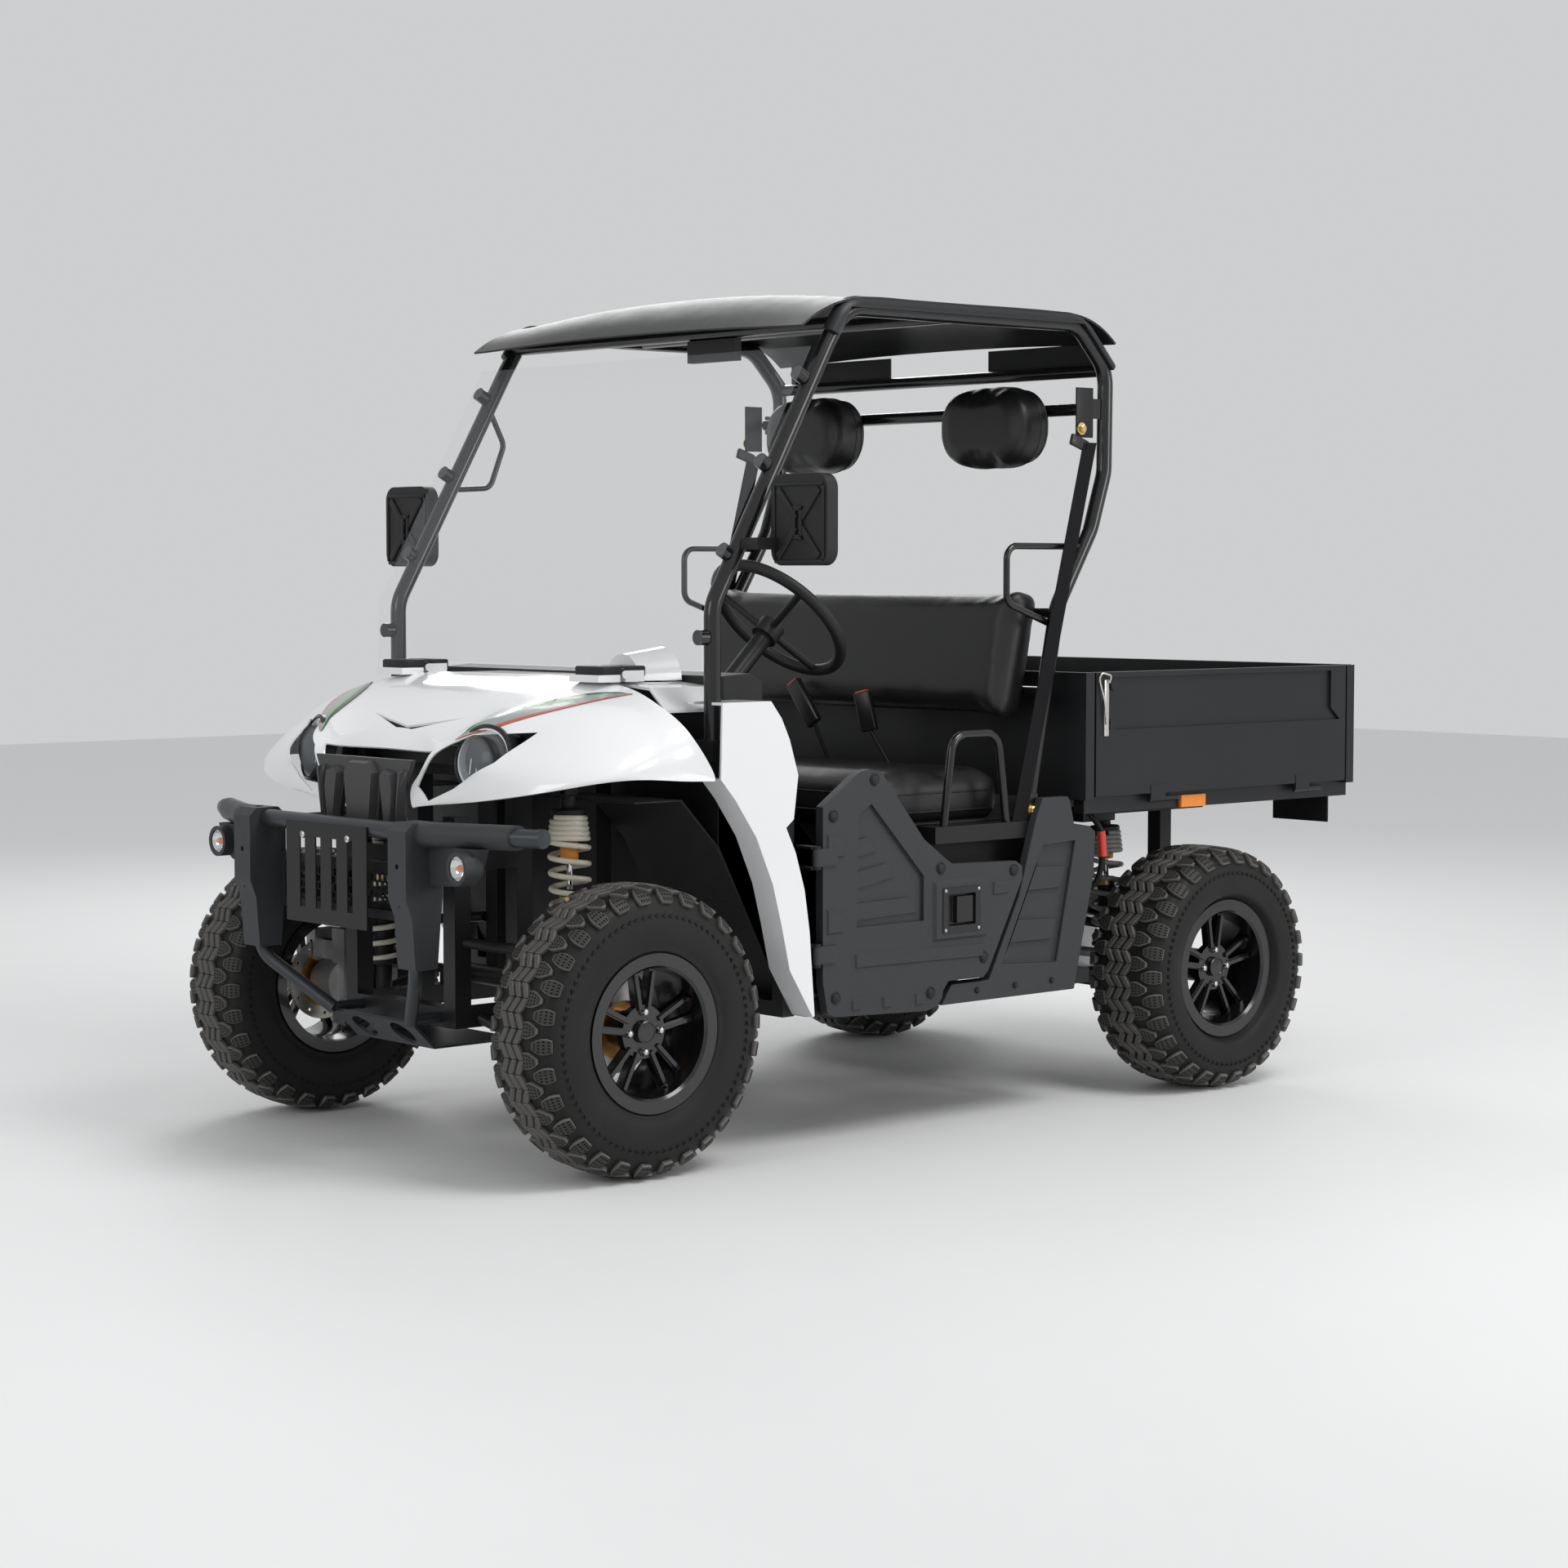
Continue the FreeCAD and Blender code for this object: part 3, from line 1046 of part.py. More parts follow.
# Hood: the white front clip, hinged at its rear edge by two blocks
hood_sizes = {
    "hood_length": 370, "hood_half": 662, "hood_low": 785, "hood_rise": 281, "hood_front": -262,
    "hood_wall": 4, "hinge_y": 140, "hinge_z": 1072, "hinge_x": 372, "hinge_half": 52,
    "hinge_radius": 9, "hinge_block": 62, "hinge_height": 16, "cowl_gap": 6, "slot_half": 180,
    "slot_tip_y": -112, "slot_low_y": -163, "slot_band": 16}
enter(hood_sizes)
HOOD_RIBS_SHARES = [
    [(0, 1.03, 1), (0, 0.79, 0.925), (0, 0.546, 0.80), (0, 0.316, 0.605), (0, 0.195, 0.498),
     (0, 0.135, 0.434)],
    [(0.196, 1.03, 1), (0.196, 0.79, 0.918), (0.196, 0.546, 0.793), (0.196, 0.33, 0.616),
     (0.196, 0.195, 0.498), (0.196, 0.14, 0.427)],
    [(0.39, 1.03, 0.99), (0.39, 0.79, 0.907), (0.378, 0.546, 0.783), (0.362, 0.343, 0.65),
     (0.325, 0.195, 0.53), (0.30, 0.115, 0.435)],
    [(0.69, 1.03, 0.925), (0.665, 0.79, 0.854), (0.604, 0.546, 0.765), (0.53, 0.37, 0.69),
     (0.44, 0.23, 0.6), (0.31, 0.075, 0.41)],
    [(0.83, 1.03, 0.82), (0.815, 0.79, 0.758), (0.755, 0.546, 0.676), (0.665, 0.384, 0.587),
     (0.545, 0.205, 0.498), (0.292, 0.048, 0.31)],
    [(0.937, 1.06, 0.676), (0.92, 0.79, 0.605), (0.876, 0.546, 0.534), (0.77, 0.357, 0.48),
     (0.60, 0.16, 0.38), (0.268, 0.03, 0.217)],
    [(0.99, 1.11, 0.516), (0.982, 0.79, 0.463), (0.95, 0.546, 0.41), (0.845, 0.33, 0.356),
     (0.62, 0.125, 0.27), (0.25, 0.018, 0.142)],
    [(1, 1.19, 0.356), (0.997, 0.79, 0.356), (0.975, 0.52, 0.32), (0.87, 0.30, 0.267),
     (0.61, 0.10, 0.178), (0.257, 0.006, 0.053)],
    [(1, 1.235, 0.217), (0.997, 0.79, 0.25), (0.975, 0.52, 0.25), (0.876, 0.29, 0.196),
     (0.59, 0.073, 0.082), (0.28, 0, 0)]]
LAMP_SHARES = [(0.355, 0.427), (0.453, 0.57), (0.665, 0.60), (0.604, 0.374), (0.453, 0.16),
               (0.34, 0.053), (0.28, 0.16)]


def hood_point(across, run, rise):
    """A point of the hood by its shares of the half width, length and rise."""
    return spot(s.hood_half * across, s.hood_front + s.hood_length * run,
                s.hood_low + s.hood_rise * rise)


def lamp_tool(inset, front, depth):
    """The outline of the left headlight opening, pushed along the vehicle."""
    corners = []
    middle = Vector(sum(a for a, b in LAMP_SHARES), 0, sum(b for a, b in LAMP_SHARES))
    middle = middle / len(LAMP_SHARES)
    for a, b in LAMP_SHARES:
        corner = Vector(s.hood_half * a, 0, s.hood_rise * b)
        towards = Vector(s.hood_half * middle.x, 0, s.hood_rise * middle.z) - corner
        corner = corner + towards.normalize() * inset
        corners.append(corner + spot(0, front, s.hood_low))
    corners.append(corners[0])
    return Part.Face(Part.makePolygon(corners)).extrude(Vector(0, depth, 0))


def nose_slot():
    """The chevron slot across the hood's nose, widest at its middle."""
    tips = [spot(s.slot_half, s.slot_tip_y, 0), spot(0, s.slot_low_y, 0),
            spot(-s.slot_half, s.slot_tip_y, 0), spot(0, s.slot_low_y + s.slot_band, 0)]
    return Part.Face(Part.makePolygon(tips + tips[:1])).extrude(Vector(0, 0, s.hinge_z))


def hood():
    """The clip's skin with its headlight openings and the hinge blocks' upper halves."""
    half = [[hood_point(*share) for share in rib] for rib in HOOD_RIBS_SHARES]
    grid = both_sides(half)
    clip = skin([row[::-1] for row in grid], s.hood_wall)
    opening = lamp_tool(0, s.hood_front - s.overrun, s.hood_length / 2)
    clip = clip.cut([opening, opening.mirror(Vector(), Vector(1, 0, 0)), nose_slot()])
    blocks = []
    for side in (1, -1):
        block = Part.makeBox(2 * s.hinge_half, s.hinge_block, s.hinge_height,
                             spot(side * s.hinge_x - s.hinge_half,
                                  s.hinge_y - s.hinge_radius - s.cowl_gap - s.hinge_block,
                                  s.hinge_z - s.hinge_height))
        knuckle = Part.makeCylinder(s.hinge_radius, s.hinge_half,
                                    spot(side * s.hinge_x - s.hinge_half / 2, s.hinge_y,
                                         s.hinge_z), Vector(1, 0, 0))
        web = Part.makeBox(s.hinge_half, s.hinge_radius * 2, s.hinge_radius,
                           spot(side * s.hinge_x - s.hinge_half / 2,
                                s.hinge_y - 2 * s.hinge_radius, s.hinge_z - s.hinge_radius))
        pin = Part.makeCylinder(s.hinge_radius / 2 + s.shaft_gap, 2 * s.hinge_half,
                                spot(side * s.hinge_x - s.hinge_half, s.hinge_y, s.hinge_z),
                                Vector(1, 0, 0))
        blocks.append(block.fuse([knuckle, web]).cut(pin))
    return clip.fuse(blocks)


node("hood", feature("Hood", hood()))

# Cowl: the white panel under the windshield, with the instrument hump
cowl_sizes = {
    "cowl_front": 156, "cowl_rear": 330, "cowl_top": 1062, "cowl_rise": 18, "cowl_half": 540,
    "cowl_wall": 6, "hump_x": 330, "hump_radius": 74, "hump_length": 112, "hump_front": 206}
enter(cowl_sizes)


def cowl():
    """A crowned panel across the vehicle with a rounded hump and the hinges' pins."""
    side_z = s.firewall_top + s.cowl_wall + s.seat_gap
    top = [spot(-s.cowl_half, 0, side_z), spot(-s.cowl_half * 0.9, 0, s.cowl_top - s.cowl_rise),
           spot(-s.cowl_half * 0.5, 0, s.cowl_top), spot(s.cowl_half * 0.5, 0, s.cowl_top),
           spot(s.cowl_half * 0.9, 0, s.cowl_top - s.cowl_rise), spot(s.cowl_half, 0, side_z)]
    lower = [p - Vector(0, 0, s.cowl_wall) for p in top[::-1]]
    ring = [Vector(p.x, axle + s.cowl_front, p.z) for p in top + lower]
    ring.append(ring[0])
    panel = Part.Face(Part.makePolygon(ring)).extrude(Vector(0, s.cowl_rear - s.cowl_front, 0))
    centre = spot(s.hump_x, s.hump_front, s.cowl_top - s.cowl_wall)
    hump = Part.makeCone(s.hump_radius * 0.8, s.hump_radius, s.hump_length, centre,
                         Vector(0, 1, 0))
    inner = Part.makeCone(s.hump_radius * 0.8 - s.cowl_wall, s.hump_radius - s.cowl_wall,
                          s.hump_length, centre + Vector(0, s.cowl_wall, 0), Vector(0, 1, 0))
    under = Part.makeBox(3 * s.hump_radius, 2 * s.hump_length, 2 * s.hump_radius,
                         centre - Vector(1.5 * s.hump_radius, s.overrun, 2 * s.hump_radius))
    panel = panel.cut(inner)
    pieces = [hump.cut([inner, under])]
    for side in (1, -1):
        for end in (-1, 1):
            low = min(end * s.hinge_half, end * (s.hinge_half / 2 + s.cowl_gap))
            corner = spot(side * s.hinge_x + low, s.hinge_y, s.hinge_z)
            pieces.append(Part.makeCylinder(s.hinge_radius, s.hinge_half / 2 - s.cowl_gap, corner,
                                            Vector(1, 0, 0)))
            pieces.append(Part.makeBox(s.hinge_half / 2 - s.cowl_gap, s.hinge_block - s.hinge_radius,
                                       s.hinge_height + s.hinge_radius,
                                       corner - Vector(0, 0, s.hinge_height)))
        pieces.append(Part.makeCylinder(s.hinge_radius / 2, 2 * s.hinge_half - s.cowl_gap,
                                        spot(side * s.hinge_x - s.hinge_half + s.cowl_gap / 2,
                                             s.hinge_y, s.hinge_z), Vector(1, 0, 0)))
        pieces.append(Part.makeBox(2 * s.hinge_half, s.hinge_block - 2 * s.hinge_radius - s.cowl_gap,
                                   s.hinge_height,
                                   spot(side * s.hinge_x - s.hinge_half,
                                        s.hinge_y + s.hinge_radius + s.cowl_gap,
                                        s.hinge_z - s.hinge_height)))
    shape = panel.fuse(pieces)
    room = Part.makeBox(2 * s.screen_half, s.screen_sheet + 2 * s.seat_gap,
                        s.hinge_block, spot(-s.screen_half, s.screen_y - s.seat_gap,
                                            s.screen_low - s.seat_gap))
    return shape.cut(room)


node("cowl", feature("Cowl", cowl()))

# Dash: the black moulding behind the cowl
dash_sizes = {
    "dash_half": 530, "dash_depth": 120, "dash_low": 985, "dash_top": 1052, "dash_wall": 5}
enter(dash_sizes)
dash = body("Dash")
pad(dash, "DashShell", "yz",
    [(along("cowl_rear + seat_gap"), "dash_low"),
     (along("cowl_rear + dash_depth * 0.85"), "dash_low"),
     (along("cowl_rear + dash_depth"), "dash_low + dash_wall * 3"),
     (along("cowl_rear + dash_depth"), "dash_top"),
     (along("cowl_rear + dash_depth * 0.7"), "dash_top + dash_wall * 4"),
     (along("cowl_rear + seat_gap"), "dash_top + dash_wall * 3")], "2 * dash_half", midplane=True)
node("dash", dash)

# Rear part of each front fender, from the cowl down to the sill
fender_sizes = {
    "fender_front": 195, "fender_length": 283, "fender_low": 303, "fender_height": 712,
    "fender_outer": 663, "fender_wall": 6, "fender_top_inner": 546, "fender_seam": 8}
enter(fender_sizes)
FENDER_SHARES = [(0.03, 0.765), (0.177, 0.70), (0.392, 0.58), (0.562, 0.43), (0.654, 0.298),
                 (0.738, 0.157), (0.982, 0.002), (1, 0.01), (0.947, 0.274), (0.894, 0.406),
                 (0.80, 0.525), (0.70, 0.605), (0.78, 0.63), (0.827, 0.767), (0.738, 0.878),
                 (0.654, 0.945), (0.544, 1), (0.05, 1)]
LIP_SHARES = [(0.03, 0.765), (0.177, 0.70), (0.392, 0.58), (0.562, 0.43), (0.654, 0.298),
              (0.738, 0.157), (0.982, 0.002)]


def fender_piece(name):
    """The left rear fender: a side wall, an arch flange and a top deck with a slot."""
    made = body(name)
    side = spread(FENDER_SHARES, along("fender_front + fender_seam"), "fender_low",
                  "fender_length", "fender_height")
    pad(made, name + "_side", "yz", side, "fender_wall", "fender_outer - fender_wall")
    lip = spread(LIP_SHARES, along("fender_front + fender_seam"), "fender_low",
                 "fender_length", "fender_height")
    back = spread(LIP_SHARES[::-1], along("fender_front + fender_seam + fender_wall"),
                  "fender_low + fender_wall / 2", "fender_length", "fender_height")
    pad(made, name + "_flange", "yz", lip + back,
        "fender_outer - door_post_x - sill_beam / 2 - seat_gap",
        "door_post_x + sill_beam / 2 + seat_gap")
    top = [(along("fender_front + fender_seam + 0.05 * fender_length"),
            "fender_low + fender_height - fender_wall"),
           (along("fender_front + fender_seam + 0.544 * fender_length"),
            "fender_low + fender_height - fender_wall"),
           (along("fender_front + fender_seam + 0.544 * fender_length"),
            "fender_low + fender_height"),
           (along("fender_front + fender_seam + 0.05 * fender_length"),
            "fender_low + fender_height")]
    pad(made, name + "_deck", "yz", top, "fender_outer - fender_top_inner", "fender_top_inner")
    slot = [("cage_x - cage_radius * 1.6", along("pillar_y - cage_radius * 1.6")),
            ("cage_x + cage_radius * 1.6", along("pillar_y - cage_radius * 1.6")),
            ("cage_x + cage_radius * 1.6", along("pillar_y + cage_radius * 1.6")),
            ("cage_x - cage_radius * 1.6", along("pillar_y + cage_radius * 1.6"))]
    pocket(made, name + "_slot", "xy", slot, "2 * overrun", "fender_low + fender_height + overrun")
    return made


fender = node("fender_left", fender_piece("FenderLeft"))
node("fender_right", mirror("FenderRight", fender))

# Inner arches: a bent black sheet behind and above each front wheel
liner_sizes = {
    "liner_sheet": 4, "liner_inner": 226, "liner_outer": 550, "liner_top": 800,
    "liner_front_y": 60}
enter(liner_sizes)
liner = body("LinerLeft")
LINER = [(along("liner_front_y"), "liner_top"), (along("fender_front"), "liner_top"),
         (along("firewall_y - seat_gap"), "toe_z + beam * 3"), (along("toe_y - seat_gap"), "toe_z"),
         (along("toe_y - seat_gap - liner_sheet"), "toe_z"),
         (along("firewall_y - seat_gap - liner_sheet"), "toe_z + beam * 3 - liner_sheet"),
         (along("fender_front - liner_sheet"), "liner_top - liner_sheet"),
         (along("liner_front_y"), "liner_top - liner_sheet")]
pad(liner, "LinerSheet", "yz", LINER, "liner_outer - liner_inner", "liner_inner")
node("arch_liners", group("ArchLiners", [liner, mirror("LinerRight", liner)]))

ROW_SHARE = math.cos(math.pi / HEX)

# Front mask between the headlights, with upright ribs and a mesh behind
mask_sizes = {
    "mask_y": -268, "mask_depth": 12, "mask_top": 888, "mask_low": 712, "mask_half": 186,
    "mask_rib": 22, "mask_rib_depth": 16, "mesh_sheet": 4, "mesh_wall": 2,
    "mask_mesh_pitch": 13}
enter(mask_sizes)
MASK_TAPER = 24
mask = body("FrontMask")
MASK_SHARES = [(-0.80, 0), (0.80, 0), (0.82, 0.45), (0.84, 0.68), (0.94, 0.86), (1, 1),
               (-1, 1), (-0.94, 0.86), (-0.84, 0.68), (-0.82, 0.45)]
MASK_GAP_SHARES = [(0.28, 0.02), (0.56, 0.02), (0.38, 0.78)]
MASK_CENTRE_SHARES = [(-0.24, 0), (0.24, 0), (0.33, 0.82), (0.20, 0.97), (-0.20, 0.97), (-0.33, 0.82)]
MASK_RIBS_SHARES = [
    [MASK_CENTRE_SHARES],
    [[(0.52, 0.10), (0.68, 0.10), (0.74, 0.60), (0.70, 0.84), (0.50, 0.88), (0.41, 0.80)], ()],
    [[(0.72, 0.04), (0.79, 0.04), (0.92, 0.86), (0.80, 0.90)], ()]]
mask_points = spread(MASK_SHARES, "0", "mask_low", "mask_half", "(mask_top - mask_low)")
pad(mask, "MaskPlate", "xz", mask_points, "mask_depth", "-" + along("mask_y + mask_depth"))
for side in (1, -1):
    gap = spread([(side * a, b) for a, b in MASK_GAP_SHARES], "0", "mask_low", "mask_half",
                 "(mask_top - mask_low)")
    pocket(mask, "MaskGap%d" % side, "xz", gap, "mask_depth + 2 * overrun",
           "-" + along("mask_y + mask_depth + overrun"), True)
for step, shares in enumerate(MASK_RIBS_SHARES):
    for side in (1, -1)[:len(shares)]:
        rib = spread([(side * a, b) for a, b in shares[0]], "0", "mask_low", "mask_half",
                     "(mask_top - mask_low)")
        pad(mask, "MaskRib%d_%d" % (step, side), "xz", rib, "mask_rib_depth",
            "-" + along("mask_y"), taper=MASK_TAPER)
mask_arms = [box("MaskArm" + side, ("mask_rib", "frame_front - beam - seat_gap - mask_y - mask_depth",
                                    "mask_rib"),
                 (x, along("mask_y + mask_depth"), "mask_low + mask_rib / 2"))
             for side, x in (("Left", "rail_x - mask_rib"), ("Right", "-rail_x"))]
mask_arms.append(box("MaskStrap", ("2 * rail_x", "mask_depth", "mask_rib"),
                     ("-rail_x", along("mask_y + mask_depth"), "mask_low + mask_rib / 2")))


def hex_mesh(low, high, sheet, pitch, wall):
    """An upright sheet between two corners, pierced by rows of hexagons."""
    corners = [Vector(x, low.y, z) for x, z in ((low.x, low.z), (high.x, low.z),
                                                (high.x, high.z), (low.x, high.z))]
    wires = [Part.makePolygon(corners + corners[:1])]
    rows = int((high.z - low.z) / (pitch * ROW_SHARE))
    count = int((high.x - low.x) / pitch)
    radius = (pitch - wall) / 2 / ROW_SHARE
    for row in range(rows):
        shift = count - 1 - row % 2
        for column in range(shift + 1):
            middle = Vector((low.x + high.x) / 2 + pitch * (column - shift / 2), low.y,
                            (low.z + high.z) / 2 + pitch * ROW_SHARE * (row - (rows - 1) / 2))
            turns = [2 * math.pi * k / HEX for k in range(HEX + 1)]
            wires.append(Part.makePolygon([middle + Vector(math.sin(turn), 0, math.cos(turn)) * radius
                                           for turn in turns]))
    return Part.makeFace(wires, "Part::FaceMakerBullseye").extrude(Vector(0, sheet, 0))


mask_mesh = feature("MaskMesh", hex_mesh(
    spot(-s.rail_x / 2 - s.mask_rib, s.mask_y + s.mask_depth, s.mask_low + s.mask_rib),
    spot(s.rail_x / 2 + s.mask_rib, 0, s.mask_top - s.mask_rib),
    s.mesh_sheet, s.mask_mesh_pitch, s.mesh_wall))
node("front_mask", fuse("FrontMaskWhole", [mask, mask_mesh] + mask_arms))

# Headlights: a bezel bowl and a round lens on each side
headlight_sizes = {
    "lens_y": -186, "lens_z": 888, "lens_depth": 70, "bezel_inset": 9}
enter(headlight_sizes)


def headlight():
    """The left lamp: a tapered back plate and a domed lens."""
    plate = lamp_tool(s.bezel_inset, s.bezel_front, s.bezel_depth)
    bowl = Part.makeCone(s.lens_radius + s.bezel_depth / 2, s.lens_radius, s.bezel_depth / 2,
                         spot(s.lens_x, s.bezel_front, s.lens_z), Vector(0, 1, 0))
    plate = plate.cut(bowl)
    lens = Part.makeCylinder(s.lens_radius, s.lens_depth + s.bezel_depth,
                             spot(s.lens_x, s.lens_y, s.lens_z), Vector(0, 1, 0))
    lens = lens.makeChamfer(s.bezel_inset, [lens.Edges[0]])
    return plate.fuse(lens)


lamp = feature("HeadlightLeft", headlight())
node("headlights", group("Headlights", [lamp, mirror("HeadlightRight", lamp)]))

# Bumper: a swept bar, lower hoops and a skid plate
bumper_sizes = {
    "bar_radius": 20, "bar_y": -345, "bar_z": 741, "bar_bend_x": 360, "bar_end_x": 618,
    "bar_end_y": -240, "bar_bend": 120, "hoop_tube": 15, "stay_tube": 12, "stay_x": 203,
    "hoop_low_x": 150, "cap_lip": 1, "cap_width": 14, "skid_hole": 36, "bumper_hoop_bend": 70,
    "skid_top_y": -250, "skid_top_z": 305, "skid_low_y": -186, "skid_low_z": 242,
    "skid_rear_y": 40, "skid_sheet": 5, "skid_half": 150, "bumper_x": 305}
enter(bumper_sizes)


def bar_path():
    """The bumper bar's centre line, from its right end to its left."""
    return [spot(-s.bar_end_x, s.bar_end_y, s.bar_z), spot(-s.bar_bend_x, s.bar_y, s.bar_z),
            spot(s.bar_bend_x, s.bar_y, s.bar_z), spot(s.bar_end_x, s.bar_end_y, s.bar_z)]


def hoop_run(side):
    """The tube that drops inside one upright and turns in to the skid plate."""
    return [spot(side * s.bumper_x, s.bar_y, s.bar_z),
            spot(side * s.bumper_x, s.bar_y, s.cover_low - s.hoop_tube),
            spot(side * s.hoop_low_x, s.skid_top_y, s.skid_top_z + s.skid_sheet)]


def bumper():
    """The bar, the two hoops that join it to the skid plate, and the frame stays."""
    pieces = []
    front = s.frame_front - s.beam - s.seat_gap
    for side in (1, -1):
        pieces.append(bent(hoop_run(side), s.hoop_tube, s.bumper_hoop_bend))
        pieces.append(Part.makeCylinder(s.stay_tube, front - s.bar_y,
                                        spot(side * s.stay_x, s.bar_y, s.bar_z), Vector(0, 1, 0)))
        pieces.append(Part.makeCylinder(s.stay_tube, front - s.skid_top_y,
                                        spot(side * s.hoop_low_x, s.skid_top_y,
                                             s.frame_low + s.beam / 2), Vector(0, 1, 0)))
        pieces.append(Part.makeCylinder(s.bar_radius + s.cap_lip, s.cap_width,
                                        bar_path()[-1] - Vector(s.cap_width, 0, 0), Vector(1, 0, 0))
                      if side > 0 else
                      Part.makeCylinder(s.bar_radius + s.cap_lip, s.cap_width, bar_path()[0],
                                        Vector(1, 0, 0)))
    sheet = [spot(-s.skid_half, s.skid_top_y, s.skid_top_z),
             spot(-s.skid_half, s.skid_low_y, s.skid_low_z),
             spot(-s.skid_half, s.skid_rear_y, s.skid_low_z),
             spot(-s.skid_half, s.skid_rear_y, s.skid_low_z + s.skid_sheet),
             spot(-s.skid_half, s.skid_low_y + s.skid_sheet, s.skid_low_z + s.skid_sheet),
             spot(-s.skid_half, s.skid_top_y + s.skid_sheet, s.skid_top_z + s.skid_sheet)]
    sheet.append(sheet[0])
    skid = Part.Face(Part.makePolygon(sheet)).extrude(Vector(2 * s.skid_half, 0, 0))
    out = Vector(0, s.skid_top_z - s.skid_low_z, s.skid_low_y - s.skid_top_y).normalize()
    for side in (1, -1):
        middle = spot(side * s.skid_half / 2, (s.skid_top_y + s.skid_low_y) / 2,
                      (s.skid_top_z + s.skid_low_z) / 2)
        skid = skid.cut(Part.makeCylinder(s.skid_hole, 2 * s.overrun, middle - out * s.overrun, out))
    return bent(bar_path(), s.bar_radius, s.bar_bend).fuse(pieces + [skid])


# Bumper covers: moulded uprights, the sleeves round the bar and their lamp pods
cover_sizes = {
    "cover_top": 765, "cover_low": 448, "cover_width": 66, "cover_depth": 96, "cover_lean": 18,
    "pod_width": 140, "pod_low": 626, "pod_height": 90, "pod_depth": 36, "pod_y": -330,
    "indicator_radius": 26, "indicator_x": 470, "indicator_z": 676, "indicator_depth": 16,
    "sleeve_wall": 7, "sleeve_end": 560, "barrel_radius": 35, "barrel_depth": 26,
    "barrel_sink": 4, "cover_hole": 6, "cover_hole_depth": 8}
enter(cover_sizes)
node("bumper_bar", feature("BumperBar", bumper()))
cover = body("CoverLeft")
pad(cover, "CoverBody", "yz",
    [(along("-front_overhang + cover_depth * 0.25"), "cover_low"),
     (along("-front_overhang + cover_depth * 0.85"), "cover_low"),
     (along("-front_overhang + cover_depth * 0.95"), "bar_z - bar_radius * 9"),
     (along("-front_overhang + cover_depth"), "bar_z - bar_radius * 7"),
     (along("-front_overhang + cover_depth"), "cover_top - cover_lean"),
     (along("-front_overhang + cover_depth * 0.8"), "cover_top"),
     (along("-front_overhang + cover_depth * 0.2"), "cover_top"),
     (along("-front_overhang"), "cover_top - cover_lean"),
     (along("-front_overhang"), "bar_z - bar_radius * 7"),
     (along("-front_overhang + cover_depth * 0.16"), "bar_z - bar_radius * 9")],
    "cover_width", "bumper_x - cover_width / 2")
pad(cover, "CoverPod", "xz",
    [("bumper_x", "pod_low"), ("bumper_x + pod_width", "pod_low + pod_height * 0.1"),
     ("bumper_x + pod_width + barrel_radius", "pod_low + pod_height * 0.35"),
     ("bumper_x + pod_width + pod_depth * 1.6", "pod_low + pod_height"),
     ("bumper_x", "pod_low + pod_height")], "pod_depth", "-" + along("pod_y + pod_depth"))
barrel = rod("PodBarrel", "barrel_radius", "barrel_depth + pod_depth / 2",
             ("indicator_x", along("pod_y - barrel_depth"), "indicator_z"), "y")


def sleeve():
    """The round moulding over the bar, from the upright out to the pod's end."""
    tube = bent(bar_path(), s.bar_radius + s.sleeve_wall, s.bar_bend)
    return tube.common(Part.makeBox(s.sleeve_end - s.bumper_x, s.wheelbase, s.tower_top,
                                    spot(s.bumper_x, -s.wheelbase / 2, 0)))


def tube_room():
    """The room of the bar and of the left hoop inside the cover."""
    return bent(bar_path(), s.bar_radius + s.seat_gap, s.bar_bend).fuse(
        bent(hoop_run(1), s.hoop_tube + s.seat_gap, s.bumper_hoop_bend))


lamp_well = rod("LampWell", "indicator_radius + seat_gap", "barrel_sink + indicator_depth + overrun",
                ("indicator_x", along("pod_y - barrel_depth - overrun"), "indicator_z"), "y")
screw_wells = [rod("CoverHole" + level, "cover_hole", "cover_hole_depth + overrun",
                   ("bumper_x", along("-front_overhang - overrun"), z), "y")
               for level, z in (("High", "pod_low + pod_height / 2"),
                                ("Low", "pod_low - pod_height / 2"))]
cover_whole = cut("CoverWhole",
                  fuse("CoverBlank", [cover, feature("CoverSleeve", sleeve()), barrel]),
                  fuse("CoverRoom", [feature("CoverTubeRoom", tube_room()), lamp_well] + screw_wells))
node("bumper_covers", group("BumperCovers", [cover_whole, mirror("CoverRight", cover_whole)]))
indicator = rod("IndicatorLeft", "indicator_radius", "indicator_depth",
                ("indicator_x", along("pod_y - barrel_depth + barrel_sink"), "indicator_z"), "y")
node("indicators", group("Indicators", [indicator, mirror("IndicatorRight", indicator)]))

# Grille crossbar between the uprights: a framed honeycomb with a lamp behind it
grille_sizes = {
    "grille_y": -312, "grille_depth": 30, "grille_low": 540, "grille_top": 664,
    "grille_rail": 20, "grille_sheet": 5, "grille_pitch": 20, "grille_wall": 4,
    "horn_radius": 38, "horn_depth": 22}
enter(grille_sizes)
crossbar = body("GrilleFrame")
GRILLE_X = "(bumper_x - cover_width / 2 - seat_gap)"
pad(crossbar, "GrilleRing", "xz",
    [("-" + GRILLE_X, "grille_low"), (GRILLE_X, "grille_low"), (GRILLE_X, "grille_top"),
     ("-" + GRILLE_X, "grille_top")], "grille_depth", "-" + along("grille_y + grille_depth"))
pocket(crossbar, "GrilleWindow", "xz",
       [("-" + GRILLE_X + " + grille_rail", "grille_low + grille_rail"),
        (GRILLE_X + " - grille_rail", "grille_low + grille_rail"),
        (GRILLE_X + " - grille_rail", "grille_top - grille_rail"),
        ("-" + GRILLE_X + " + grille_rail", "grille_top - grille_rail")],
       "grille_depth + 2 * overrun", "-" + along("grille_y + grille_depth + overrun"), True)


